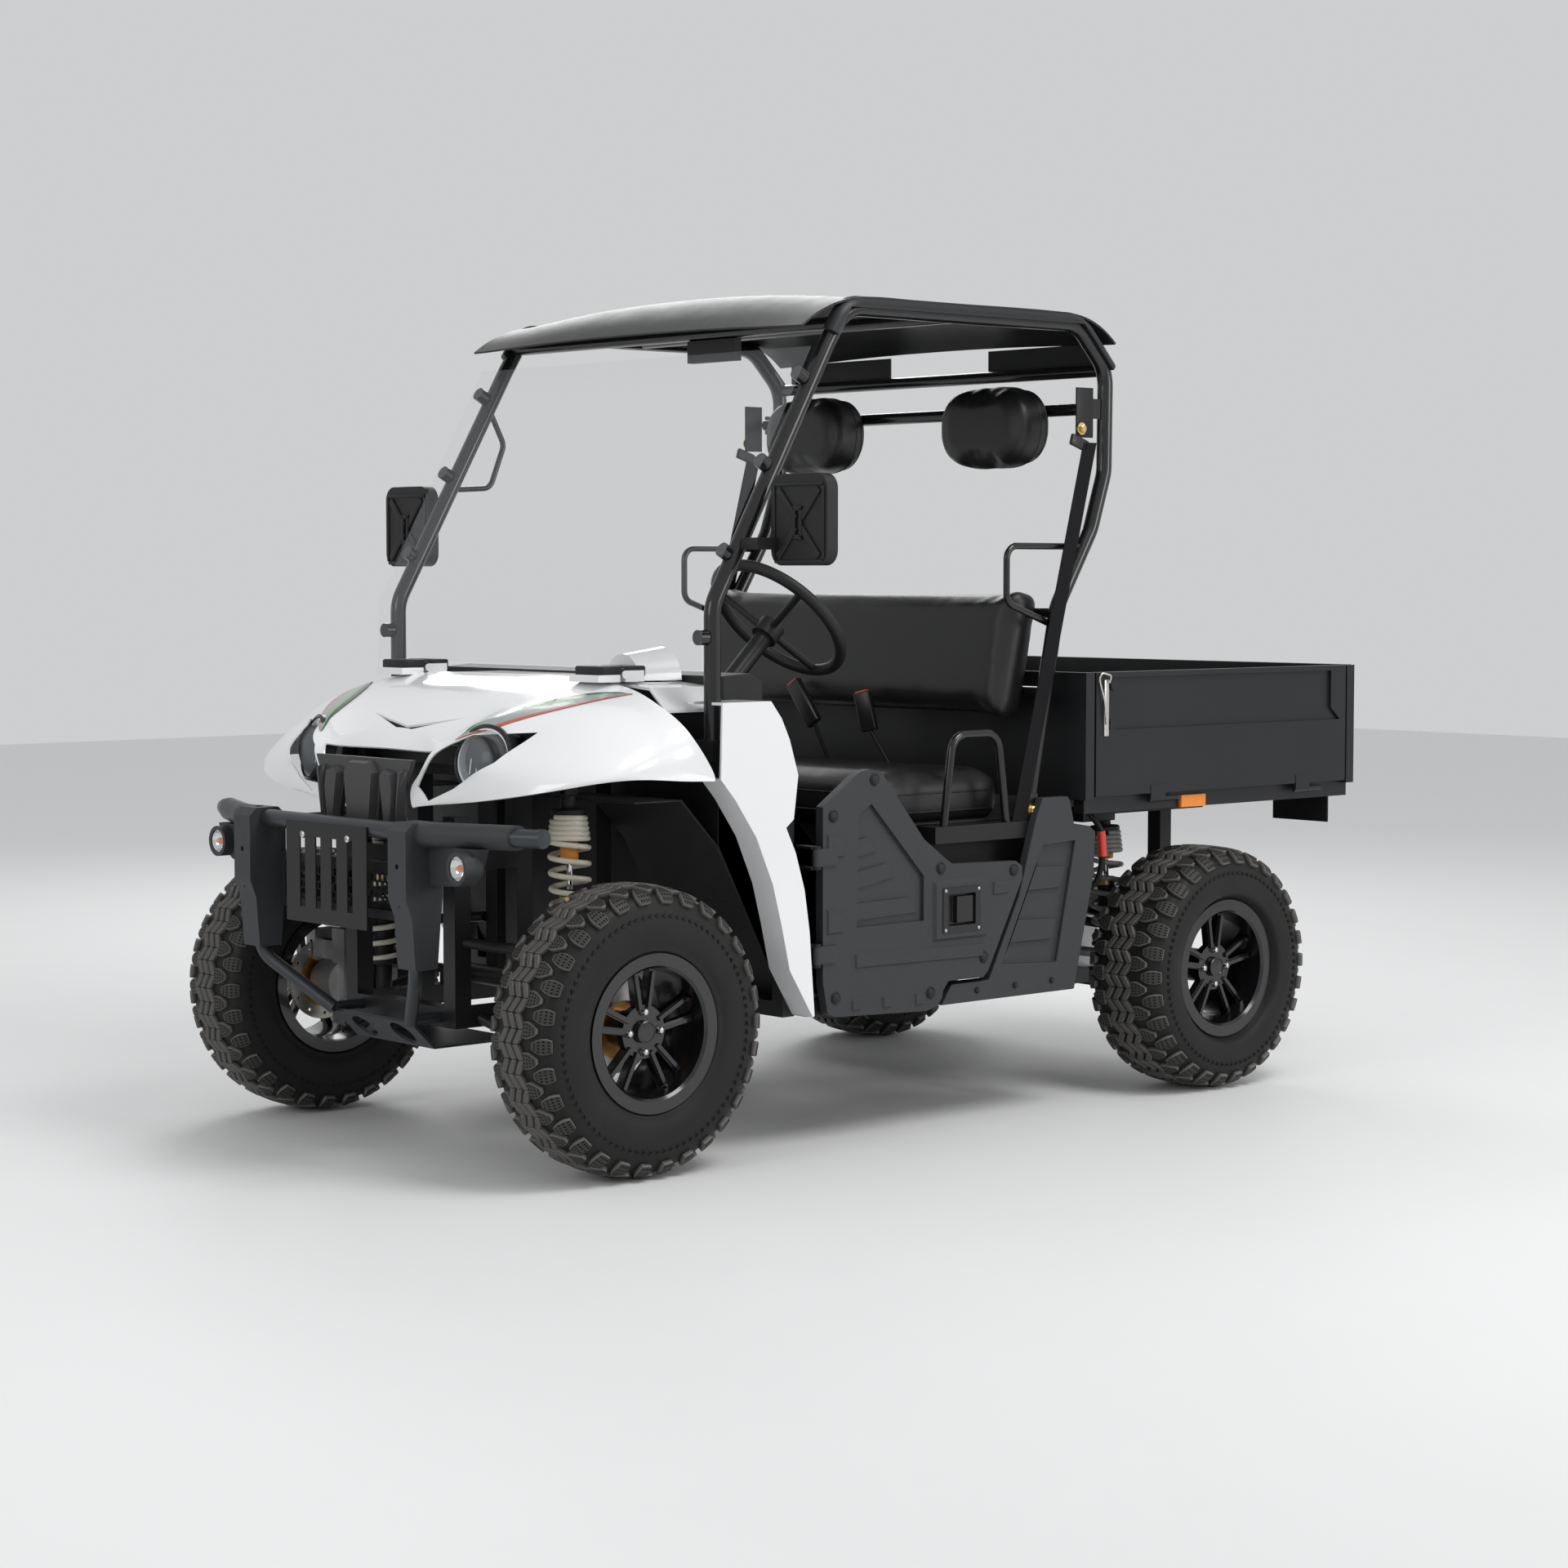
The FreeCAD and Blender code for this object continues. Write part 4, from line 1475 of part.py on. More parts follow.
def grille_mesh():
    """The honeycomb sheet inside the crossbar's ring."""
    half = s.bumper_x - s.cover_width / 2 - s.grille_rail
    return hex_mesh(spot(-half, s.grille_y + s.grille_depth / 2, s.grille_low + s.grille_rail),
                    spot(half, 0, s.grille_top - s.grille_rail),
                    s.grille_sheet, s.grille_pitch, s.grille_wall)


horn = rod("CentreLamp", "horn_radius", "horn_depth",
           ("0", along("grille_y + grille_depth / 2 + grille_sheet"),
            "(grille_low + grille_top) / 2"), "y")
node("lower_grille", fuse("LowerGrille", [crossbar, feature("GrilleMesh", grille_mesh()), horn]))

# Slotted plate on the front of the bumper bar
plate_sizes = {
    "plate_half": 158, "plate_top": 746, "plate_low": 520, "plate_sheet": 4, "slot_count": 4,
    "slot_width": 20, "slot_pitch": 62, "slot_margin": 34}
enter(plate_sizes)
plate = body("SlotPlate")
PLATE_Y = "-" + along("bar_y - bar_radius - seat_gap")
pad(plate, "PlateSheet", "xz",
    [("-plate_half", "plate_low"), ("plate_half", "plate_low"), ("plate_half", "plate_top"),
     ("-plate_half", "plate_top")], "plate_sheet", PLATE_Y)
for step in range(int(s.slot_count)):
    middle = "(%s * slot_pitch)" % (step - (s.slot_count - 1) / 2)
    pocket(plate, "PlateSlot%d" % step, "xz",
           [(middle + " - slot_width / 2", "plate_low + slot_margin"),
            (middle + " + slot_width / 2", "plate_low + slot_margin"),
            (middle + " + slot_width / 2", "plate_top - slot_margin"),
            (middle + " - slot_width / 2", "plate_top - slot_margin")],
           "plate_sheet + 2 * overrun", PLATE_Y + " - overrun", True)
node("slot_plate", plate)

# Seats: a bench cushion on the deck and a back rest before the cage's tubes
seat_sizes = {
    "bench_half": 560, "bench_front": 800, "bench_rear": 1212, "bench_top": 815,
    "bench_round": 28, "back_half": 568, "back_low": 952, "back_top": 1266, "back_thick": 86,
    "back_round": 26, "rest_x": 330, "rest_half": 150, "rest_half_height": 94,
    "rest_depth": 100, "rest_round": 26, "rest_corner": 84, "rest_drop": 40}
enter(seat_sizes)
bench = box("BenchBlock", ("2 * bench_half", "bench_rear - bench_front",
                           "bench_top - deck_top - box_wall - seat_gap"),
            ("-bench_half", along("bench_front"), "deck_top + box_wall + seat_gap"))
bench.recompute()
bench_soft = doc.addObject("Part::Fillet", "Bench")
bench_soft.Base = bench
bench_soft.Edges = [(i + 1, s.bench_round, s.bench_round) for i in range(len(bench.Shape.Edges))]
node("seat_base", bench_soft)


def seat_back():
    """A leaning slab whose rear lies on the cage's seat tubes."""
    slope = (s.rear_low_y - s.rear_foot_y) / (s.rear_low_z - s.rear_foot_z)
    tilt = math.atan(slope)
    rear = s.seat_tube_radius + s.seat_gap
    low = spot(-s.back_half, s.rear_foot_y + slope * (s.back_low - s.rear_foot_z), s.back_low)
    slab = Part.makeBox(2 * s.back_half, s.back_thick, (s.back_top - s.back_low) / math.cos(tilt))
    slab = slab.makeFillet(s.back_round, slab.Edges)
    slab.Placement = Placement(low, Rotation(Vector(1, 0, 0), -math.degrees(tilt)))
    slab.translate(Vector(0, -(rear + s.back_thick) / math.cos(tilt), 0))
    return slab


node("seat_back", feature("SeatBack", seat_back()))


def headrest():
    """The left pad, which lies against the head tube."""
    rear = s.head_tube_y - s.cross_radius - s.seat_gap
    block = Part.makeBox(2 * s.rest_half, s.rest_depth, 2 * s.rest_half_height,
                         spot(s.rest_x - s.rest_half, rear - s.rest_depth,
                              s.head_tube_z - s.rest_half_height - s.rest_drop))
    corners = [edge for edge in block.Edges
               if abs(edge.tangentAt(edge.FirstParameter).y) > BEND_SHARE]
    block = block.makeFillet(s.rest_corner, corners)
    front = min(block.Faces, key=lambda face: face.CenterOfMass.y)
    return block.makeFillet(s.rest_round, front.Edges)


rest = feature("HeadrestLeft", headrest())
node("headrests", group("Headrests", [rest, mirror("HeadrestRight", rest)]))

# Belts: a flat strap from its upper guide to the deck, and the buckles on their stalks
belt_sizes = {
    "belt_width": 46, "belt_sheet": 2, "belt_low_y": 1164, "belt_top_y": 1450,
    "belt_top_z": 1610, "belt_gap": 1, "buckle_x": 112, "buckle_y": 1237, "buckle_half": 13,
    "buckle_top": 925, "buckle_thick": 14}
enter(belt_sizes)


def belts():
    """The left strap beside the pillar, with its guide, and one buckle stalk."""
    x = s.cage_x + s.cage_radius + s.belt_gap
    strap = [spot(x, s.belt_low_y, s.deck_top + s.seat_gap),
             spot(x, s.belt_low_y + s.belt_width, s.deck_top + s.seat_gap),
             spot(x, s.belt_top_y, s.belt_top_z), spot(x, s.belt_top_y - s.belt_width, s.belt_top_z)]
    strap.append(strap[0])
    return Part.Face(Part.makePolygon(strap)).extrude(Vector(s.belt_sheet, 0, 0))


strap = feature("BeltLeft", belts())
stalk = box("BuckleLeft", ("2 * buckle_half", "buckle_thick",
                           "buckle_top - deck_top - box_wall - seat_gap"),
            ("buckle_x - buckle_half", along("buckle_y - buckle_thick / 2"),
             "deck_top + box_wall + seat_gap"))
node("belts", group("Belts", [strap, mirror("BeltRight", strap)]))
node("buckles", group("Buckles", [stalk, mirror("BuckleRight", stalk)]))

# Mirrors: an outside mirror on each front pillar and one inside under the header
mirror_sizes = {
    "mirror_in": 645, "mirror_out": 828, "mirror_low": 1312, "mirror_top": 1512,
    "mirror_y": 372, "mirror_depth": 32, "mirror_round": 34, "mirror_arm_z": 1360,
    "mirror_arm": 26, "inside_x": 180, "inside_half": 85, "inside_height": 52,
    "inside_depth": 22}
enter(mirror_sizes)
house = box("MirrorHouse", ("mirror_out - mirror_in", "mirror_depth", "mirror_top - mirror_low"),
            ("mirror_in", along("mirror_y"), "mirror_low"))
pillar_at = "pillar_y + (brow_y - pillar_y) * (mirror_arm_z - screen_bend_z) / (brow_z - screen_bend_z)"
stay = box("MirrorStay", ("mirror_in - cage_x - cage_radius - seat_gap + mirror_arm",
                          "mirror_arm", "mirror_arm"),
           ("cage_x + cage_radius + seat_gap", along("(" + pillar_at + ") - mirror_arm / 2"),
            "mirror_arm_z - mirror_arm / 2"))
foot = box("MirrorFoot", ("mirror_arm", "mirror_y - (" + pillar_at + ")", "mirror_arm"),
           ("mirror_in", along("(" + pillar_at + ")"), "mirror_arm_z - mirror_arm / 2"))
house.recompute()


def along_y(shape):
    """The numbers of a shape's straight edges that run along the vehicle."""
    return [i + 1 for i, edge in enumerate(shape.Edges)
            if abs(edge.tangentAt(edge.FirstParameter).y) > BEND_SHARE]


house_round = doc.addObject("Part::Fillet", "MirrorRounded")
house_round.Base = house
house_round.Edges = [(i, s.mirror_round, s.mirror_round) for i in along_y(house.Shape)]
outside = fuse("MirrorLeft", [house_round, stay, foot])
inside = box("InsideMirror", ("2 * inside_half", "inside_depth", "inside_height"),
             ("inside_x - inside_half", along("header_y - inside_depth / 2"),
              "header_z - cross_radius - seat_gap - inside_height"))
node("mirrors", group("Mirrors", [outside, mirror("MirrorRight", outside), inside]))

# Side panels behind the doors
side_panel_sizes = {
    "panel_front": 903, "panel_length": 523, "panel_low": 291, "panel_height": 469,
    "panel_thick": 24, "panel_sink": 11}
enter(side_panel_sizes)
SIDE_SHARES = [(0.065, 0.1), (0, 0), (0.862, 0), (0.897, 0.166), (0.99, 0.58), (1, 0.808),
               (0.96, 0.838), (0.855, 0.857), (0.828, 0.98), (0.81, 1), (0.646, 1),
               (0.604, 0.90), (0.4914, 0.51), (0.30, 0.1)]
SIDE_RECESS_SHARES = [(0.386, 0.174), (0.741, 0.152), (0.864, 0.77), (0.649, 0.757)]
SIDE_RIBS_SHARES = [[(0.546, 0.53), (0.766, 0.531), (0.806, 0.642), (0.600, 0.652)],
                    [(0.430, 0.274), (0.706, 0.271), (0.746, 0.378), (0.481, 0.389)]]
side_panel = body("SidePanelLeft")
PANEL_AT = (along("panel_front"), "panel_low", "panel_length", "panel_height")
pad(side_panel, "SideSheet", "yz", spread(SIDE_SHARES, *PANEL_AT), "panel_thick", "sill_outer")
pocket(side_panel, "SideRecess", "yz", spread(SIDE_RECESS_SHARES, *PANEL_AT),
       "panel_sink + overrun", "sill_outer + panel_thick + overrun")
for step, shares in enumerate(SIDE_RIBS_SHARES):
    pad(side_panel, "SideRib%d" % step, "yz", spread(shares, *PANEL_AT), "panel_sink * 0.8",
        "sill_outer + panel_thick - panel_sink")
node("side_panels", group("SidePanels", [side_panel, mirror("SidePanelRight", side_panel)]))

# Doors: half doors on two hinges each
door_sizes = {
    "door_front": 522, "door_length": 648, "door_low": 284, "door_height": 568,
    "door_thick": 24, "door_inner": 627, "door_hinge_x": 652, "door_hinge_y": 502,
    "door_hinge_radius": 10, "door_pin_radius": 5, "door_hinge_low": 420,
    "door_hinge_high": 640, "door_barrel": 40, "lug_sheet": 6, "lug_trim": 2,
    "latch_front": 866, "latch_width": 174, "latch_low": 443, "latch_height": 142,
    "latch_sink": 14, "latch_rim": 7, "latch_side": 37, "latch_edge": 29, "latch_lip": 11,
    "latch_plate": 3, "door_sink": 9, "door_relief": 4}
enter(door_sizes)
RELIEF_TAPER = 40
RIM_TAPER = 45
DOOR_SHARES = [(0.0, 0.86), (0.17, 0.99), (0.22, 1), (0.282, 0.984), (0.30, 0.958),
               (0.423, 0.792), (0.488, 0.704), (0.56, 0.646), (0.605, 0.611), (0.632, 0.593),
               (0.958, 0.583), (0.991, 0.558), (0.991, 0.508), (0.817, 0.14), (0.79, 0.111),
               (0.613, 0.113), (0.587, 0.077), (0.58, 0.046), (0.56, 0.016), (0.503, 0),
               (0.06, 0.021), (0.023, 0.04), (0, 0.167)]
DOOR_RECESS_SHARES = [(0.161, 0.37), (0.487, 0.371), (0.487, 0.554), (0.231, 0.861), (0.171, 0.82)]
DOOR_WEDGES_SHARES = [[(0.170, 0.652), (0.263, 0.669), (0.217, 0.727), (0.170, 0.72)],
                      [(0.166, 0.524), (0.349, 0.56), (0.306, 0.617), (0.168, 0.592)],
                      [(0.162, 0.398), (0.462, 0.408), (0.416, 0.472), (0.164, 0.465)]]
DOOR_RAISED_SHARES = [[(0.152, 0.206), (0.787, 0.197), (0.787, 0.257), (0.152, 0.266)],
                      [(0.018, 0.652), (0.102, 0.657), (0.105, 0.74), (0.018, 0.752)],
                      [(0.018, 0.352), (0.096, 0.356), (0.098, 0.437), (0.018, 0.456)],
                      [(0.834, 0.448), (0.915, 0.451), (0.927, 0.51), (0.835, 0.508)],
                      [(0.135, 0.036), (0.176, 0.036), (0.176, 0.089), (0.135, 0.085)],
                      [(0.283, 0.032), (0.327, 0.032), (0.327, 0.086), (0.283, 0.082)],
                      [(0.443, 0.028), (0.483, 0.028), (0.483, 0.083), (0.443, 0.081)]]
DOOR_AT = (along("door_front"), "door_low", "door_length", "door_height")
DOOR_FACE = "door_inner + door_thick"
door = body("DoorLeftPanel")
pad(door, "DoorSheet", "yz", spread(DOOR_SHARES, *DOOR_AT), "door_thick", "door_inner")
pocket(door, "DoorRecess", "yz", spread(DOOR_RECESS_SHARES, *DOOR_AT), "door_sink + overrun",
       DOOR_FACE + " + overrun")
for step, shares in enumerate(DOOR_WEDGES_SHARES):
    pad(door, "DoorWedge%d" % step, "yz", spread(shares, *DOOR_AT), "door_sink * 0.6",
        DOOR_FACE + " - door_sink")
for step, shares in enumerate(DOOR_RAISED_SHARES):
    pad(door, "DoorRaised%d" % step, "yz", spread(shares, *DOOR_AT), "door_relief", DOOR_FACE,
        taper=RELIEF_TAPER)


def latch_outline(inset_y, inset_z):
    """The latch's rectangle, drawn in by named margins."""
    front = along("latch_front + " + inset_y)
    rear = along("latch_front + latch_width - (" + inset_y + ")")
    low = "latch_low + " + inset_z
    high = "latch_low + latch_height - (" + inset_z + ")"
    return [(front, low), (rear, low), (rear, high), (front, high)]


pad(door, "DoorLatchRim", "yz", latch_outline("0", "0"), "latch_rim", DOOR_FACE, taper=RIM_TAPER)
pocket(door, "DoorLatchWell", "yz", latch_outline("latch_side", "latch_edge"),
       "latch_rim + latch_sink + overrun", DOOR_FACE + " + latch_rim + overrun")
latch = body("LatchLeft")
pad(latch, "LatchBox", "yz", latch_outline("latch_side + seat_gap", "latch_edge + seat_gap"),
    "latch_rim + latch_sink", DOOR_FACE + " - latch_sink")
pad(latch, "LatchFlange", "yz", latch_outline("latch_side - latch_lip", "latch_edge - latch_lip"),
    "latch_plate", DOOR_FACE + " + latch_rim")
pocket(latch, "LatchMouth", "yz",
       latch_outline("latch_side + latch_lip / 2", "latch_edge + latch_lip / 2"),
       "latch_plate + latch_rim + latch_sink / 2 + overrun",
       DOOR_FACE + " + latch_rim + latch_plate + overrun")
pad(latch, "LatchPaddle", "yz",
    [(along("latch_front + latch_width * 0.42"), "latch_low + latch_edge + latch_lip"),
     (along("latch_front + latch_width - latch_side - latch_lip"), "latch_low + latch_edge + latch_lip"),
     (along("latch_front + latch_width - latch_side - latch_lip"),
      "latch_low + latch_height - latch_edge - latch_lip"),
     (along("latch_front + latch_width * 0.42"), "latch_low + latch_height - latch_edge - latch_lip")],
    "latch_sink / 2 + latch_rim", DOOR_FACE + " - latch_sink / 2")
node("door_latch_left", latch)
node("door_latch_right", mirror("LatchRight", latch))
barrels = []
for name, z in (("Low", "door_hinge_low"), ("High", "door_hinge_high")):
    barrel = rod("DoorBarrel" + name, "door_hinge_radius", "door_barrel",
                 ("door_hinge_x", along("door_hinge_y"), z))
    leaf = box("DoorLeaf" + name, ("door_hinge_radius", "door_front - door_hinge_y + door_barrel",
                                   "door_barrel"),
               ("door_hinge_x - door_hinge_radius / 2", along("door_hinge_y"), z))
    bore = rod("DoorBore" + name, "door_pin_radius + shaft_gap", "door_barrel + 2 * overrun",
               ("door_hinge_x", along("door_hinge_y"), z + " - overrun"))
    barrels.append(cut("DoorHinge" + name, fuse("DoorHingeBlank" + name, [barrel, leaf]), bore))
door_left = node("door_left", fuse("DoorLeft", [door] + barrels))
node("door_right", mirror("DoorRight", door_left))

# Door hinge brackets on the frame's door posts
brackets = []
for name, z in (("Low", "door_hinge_low"), ("High", "door_hinge_high")):
    for end, low in (("Under", z + " - lug_sheet - running_gap"),
                     ("Over", z + " + door_barrel + running_gap")):
        arm = box("Lug" + name + end, ("door_hinge_x - door_post_x - sill_beam / 2 - seat_gap",
                                       "2 * door_hinge_radius - lug_trim", "lug_sheet"),
                  ("door_post_x + sill_beam / 2 + seat_gap",
                   along("door_hinge_y - 2 * door_hinge_radius + 2 * lug_trim"), low))
        eye = rod("LugEye" + name + end, "door_hinge_radius", "lug_sheet",
                  ("door_hinge_x", along("door_hinge_y"), low))
        brackets += [arm, eye]
    brackets.append(rod("DoorPin" + name, "door_pin_radius",
                        "door_barrel + 2 * lug_sheet + 2 * running_gap",
                        ("door_hinge_x", along("door_hinge_y"), z + " - lug_sheet - running_gap")))
hinge_left = fuse("DoorBracketsLeft", brackets)
node("door_brackets", group("DoorBrackets", [hinge_left, mirror("DoorBracketsRight", hinge_left)]))

# Bed: a floor on two side rails, a front wall and four corner posts on a rear pivot
bed_sizes = {
    "bed_front": 1372, "bed_half": 636, "bed_low": 748, "bed_top": 1056, "bed_sheet": 24,
    "post_width": 30, "bed_wall": 20, "board_gap": 6, "board_thick": 24, "board_lift": 7,
    "bed_beam_low": 713, "bed_beam": 34, "board_sink": 8, "board_crease": 916,
    "board_flange": 13, "board_frame": 24, "gate_hinge_x": 400, "board_hinge_first": 1606,
    "board_hinge_last": 2163, "board_hinge_z": 740, "board_hinge_radius": 7,
    "board_hinge_length": 108, "board_pin": 3, "leaf_sheet": 4, "leaf_height": 36,
    "mud_in": 448, "mud_out": 630, "mud_y": 2330, "mud_low": 645, "mud_sheet": 5,
    "reflector_front": 1735, "reflector_length": 92, "reflector_low": 713,
    "reflector_height": 31, "reflector_depth": 12, "catch_width": 14, "catch_low": 901,
    "catch_height": 137, "catch_depth": 7, "catch_y": 1434, "catch_boss": 13, "strike_low": 944,
    "strike_height": 84}
enter(bed_sizes)
BED_REAR = "(wheelbase + rear_overhang - board_thick - seat_gap)"
BOARD_X = "(bed_half + seat_gap)"
GATE_Y = "(wheelbase + rear_overhang)"
tray = box("BedFloor", ("2 * bed_half", BED_REAR + " - bed_front", "bed_sheet"),
           ("-bed_half", along("bed_front"), "bed_low"))
head_wall = box("BedHead", ("2 * bed_half", "bed_wall", "bed_top - bed_low"),
                ("-bed_half", along("bed_front"), "bed_low"))
bed_parts = [tray, head_wall]
for name, x in (("Left", "bed_half"), ("Right", "-bed_half - board_thick")):
    for end, y in (("Front", "bed_front"), ("Rear", BED_REAR + " - post_width")):
        bed_parts.append(box("BedPost" + end + name,
                             ("board_thick", "post_width", "bed_top - bed_low"),
                             (x, along(y), "bed_low")))
for name, x in (("Left", "bed_rail_x - beam / 2"), ("Right", "-bed_rail_x - beam / 2")):
    bed_parts.append(box("BedRunner" + name,
                         ("beam", BED_REAR + " - bed_front - 4 * beam",
                          "bed_low - bed_rail_top - seat_gap"),
                         (x, along("bed_front"), "bed_rail_top + seat_gap")))
for name, x in (("Left", "bed_half - bed_beam"), ("Right", "-bed_half")):
    bed_parts.append(box("BedSideRail" + name, ("bed_beam", BED_REAR + " - bed_front - bed_wall",
                                                "bed_low - bed_beam_low"),
                         (x, along("bed_front + bed_wall"), "bed_beam_low")))
for name, x in (("Left", "mud_in"), ("Right", "-mud_out")):
    bed_parts.append(box("MudFlap" + name, ("mud_out - mud_in", "mud_sheet", "bed_low - mud_low"),
                         (x, along("mud_y"), "mud_low")))
for name, x in (("Left", "bed_rail_x"), ("Right", "-bed_rail_x")):
    width = "(beam - 2 * pivot_lug - 2 * running_gap)"
    low = x + " - " + width + " / 2"
    eye = fuse("BedEyeBlank" + name, [
        rod("BedEyeRound" + name, "pivot_radius", width, (low, along("pivot_y"), "pivot_z"), "x"),
        box("BedEyeWeb" + name, (width, "2 * pivot_pin", "bed_low - pivot_z"),
            (low, along("pivot_y - pivot_pin"), "pivot_z"))])
    bed_parts.append(cut("BedEye" + name, eye,
                         rod("BedEyeBore" + name, "pivot_pin + shaft_gap", width + " + 2 * overrun",
                             (low + " - overrun", along("pivot_y"), "pivot_z"), "x")))

# Drop side hinges: the board's knuckle and pin, and the bed's knuckle beside it
HINGE_X = "(" + BOARD_X + " + board_thick - board_hinge_radius)"
KNUCKLE = "(board_hinge_length / 2 - running_gap / 2)"
board_parts = []
for name, y in (("First", "board_hinge_first"), ("Last", "board_hinge_last")):
    rear = "(" + y + " + board_hinge_length / 2 + running_gap / 2)"
    board_parts.append(rod("BoardKnuckle" + name, "board_hinge_radius", KNUCKLE,
                           (HINGE_X, along(y), "board_hinge_z"), "y"))
    board_parts.append(rod("BoardPin" + name, "board_pin", "board_hinge_length",
                           (HINGE_X, along(y), "board_hinge_z"), "y"))
    board_parts.append(box("BoardLeaf" + name, ("leaf_sheet", KNUCKLE, "leaf_height"),
                           (BOARD_X + " + board_thick - leaf_sheet + board_pin / 2", along(y),
                            "board_hinge_z")))
    blank = fuse("RailKnuckleBlank" + name, [
        rod("RailKnuckle" + name, "board_hinge_radius", KNUCKLE, (HINGE_X, along(rear),
                                                                  "board_hinge_z"), "y"),
        box("RailLeaf" + name, (HINGE_X + " - bed_half + leaf_sheet", KNUCKLE, "leaf_sheet"),
            ("bed_half - leaf_sheet", along(rear), "board_hinge_z"))])
    half = cut("RailHinge" + name, blank,
               rod("RailBore" + name, "board_pin + shaft_gap", KNUCKLE + " + 2 * overrun",
                   (HINGE_X, along(rear + " - overrun"), "board_hinge_z"), "y"))
    bed_parts += [half, mirror("RailHingeRight" + name, half)]

# Tailgate hinges, laid across the rear in the same way
HINGE_Y = "(" + GATE_Y + " - board_hinge_radius)"
gate_parts = []
for name, x in (("Left", "gate_hinge_x"), ("Right", "-gate_hinge_x - board_hinge_length")):
    outer = "(" + x + " + board_hinge_length / 2 + running_gap / 2)"
    gate_parts.append(rod("GateKnuckle" + name, "board_hinge_radius", KNUCKLE,
                          (x, along(HINGE_Y), "board_hinge_z"), "x"))
    gate_parts.append(rod("GatePin" + name, "board_pin", "board_hinge_length",
                          (x, along(HINGE_Y), "board_hinge_z"), "x"))
    gate_parts.append(box("GateLeaf" + name, (KNUCKLE, "leaf_sheet", "leaf_height"),
                          (x, along(GATE_Y + " - leaf_sheet"), "board_hinge_z")))
    blank = fuse("TailKnuckleBlank" + name, [
        rod("TailKnuckle" + name, "board_hinge_radius", KNUCKLE,
            (outer, along(HINGE_Y), "board_hinge_z"), "x"),
        box("TailLeaf" + name, (KNUCKLE, HINGE_Y + " - " + BED_REAR + " + bed_beam",
                                "bed_low - board_hinge_z"),
            (outer, along(BED_REAR + " - bed_beam"), "board_hinge_z"))])
    bed_parts.append(cut("TailHinge" + name, blank,
                         rod("TailBore" + name, "board_pin + shaft_gap", KNUCKLE + " + 2 * overrun",
                             (outer + " - overrun", along(HINGE_Y), "board_hinge_z"), "x")))
node("bed", fuse("Bed", bed_parts))
reflector = box("ReflectorLeft", ("reflector_depth", "reflector_length", "reflector_height"),
                ("bed_half", along("reflector_front"), "reflector_low"))
node("reflectors", group("Reflectors", [reflector, mirror("ReflectorRight", reflector)]))

# Drop sides and tailgate: sheets with a panel set in above their crease
BOARD_LOW = "(bed_low + board_lift)"
BOARD_FRONT = "(bed_front + post_width + board_gap)"
BOARD_REAR = "(" + BED_REAR + " - post_width - board_gap)"
board = body("SideBoardSheet")
pad(board, "BoardBlank", "yz",
    [(along(BOARD_FRONT), BOARD_LOW), (along(BOARD_REAR), BOARD_LOW),
     (along(BOARD_REAR), "bed_top"), (along(BOARD_FRONT), "bed_top")], "board_thick", BOARD_X)
PANEL_SHARES = [(0, 0), (1, 0), (0.96, 0.25), (0.96, 1), (0.03, 1), (0.03, 0.25)]


def set_in(piece, name, plane, low_x, width, start, reverse):
    """Sinks the panel above a board's crease."""
    shares = spread(PANEL_SHARES, low_x, "board_crease", width,
                    "(bed_top - board_flange - board_crease)")
    pocket(piece, name, plane, shares, "board_sink + overrun", start, reverse)


set_in(board, "BoardPanel", "yz", along(BOARD_FRONT + " + board_frame"),
       "(" + BOARD_REAR + " - " + BOARD_FRONT + " - 2 * board_frame)",
       BOARD_X + " + board_thick + overrun", False)
catch = box("CatchHandle", ("catch_depth", "catch_width", "catch_height"),
            (BOARD_X + " + board_thick - board_sink", along("catch_y + board_frame"), "catch_low"))
boss = rod("CatchBoss", "catch_boss", "catch_depth + board_sink",
           (BOARD_X + " + board_thick - board_sink", along("catch_y + board_frame + catch_width / 2"),
            "catch_low + catch_height - catch_boss"), "x")
side_left = fuse("SideBoardLeft", [board, catch, boss] + board_parts)
node("side_board_left", side_left)
node("side_board_right", mirror("SideBoardRight", side_left))
gate = body("TailgateSheet")
pad(gate, "GateBlank", "xz",
    [("-bed_half + board_gap", BOARD_LOW), ("bed_half - board_gap", BOARD_LOW),
     ("bed_half - board_gap", "bed_top"), ("-bed_half + board_gap", "bed_top")],
    "board_thick", "-" + along(GATE_Y))
set_in(gate, "GatePanel", "xz", "(-bed_half + board_gap + board_frame)",
       "(2 * (bed_half - board_gap - board_frame))", "-" + along(GATE_Y + " + overrun"), True)
strikes = [box("Strike" + name, ("catch_boss", "catch_depth + board_sink", "strike_height"),
               (x, along(GATE_Y + " - board_sink"), "strike_low"))
           for name, x in (("Left", "bed_half - board_gap - board_frame - catch_boss"),
                           ("Right", "-bed_half + board_gap + board_frame"))]
node("tailgate", fuse("Tailgate", [gate] + strikes + gate_parts))

doc.recompute()
for obj in doc.Objects:
    if "Invalid" in obj.State or "Error" in obj.State:
        raise RuntimeError(obj.Label + " did not build")
for label, obj in nodes.items():
    if obj.Shape.isNull() or not obj.Shape.isValid():
        raise RuntimeError(label + " has no sound shape")
for label, obj in nodes.items():
    obj.Shape.exportStep("parts/%s.step" % label)
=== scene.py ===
import json
import math

import bmesh
import bpy
from mathutils import Matrix, Vector
from mathutils.bvhtree import BVHTree


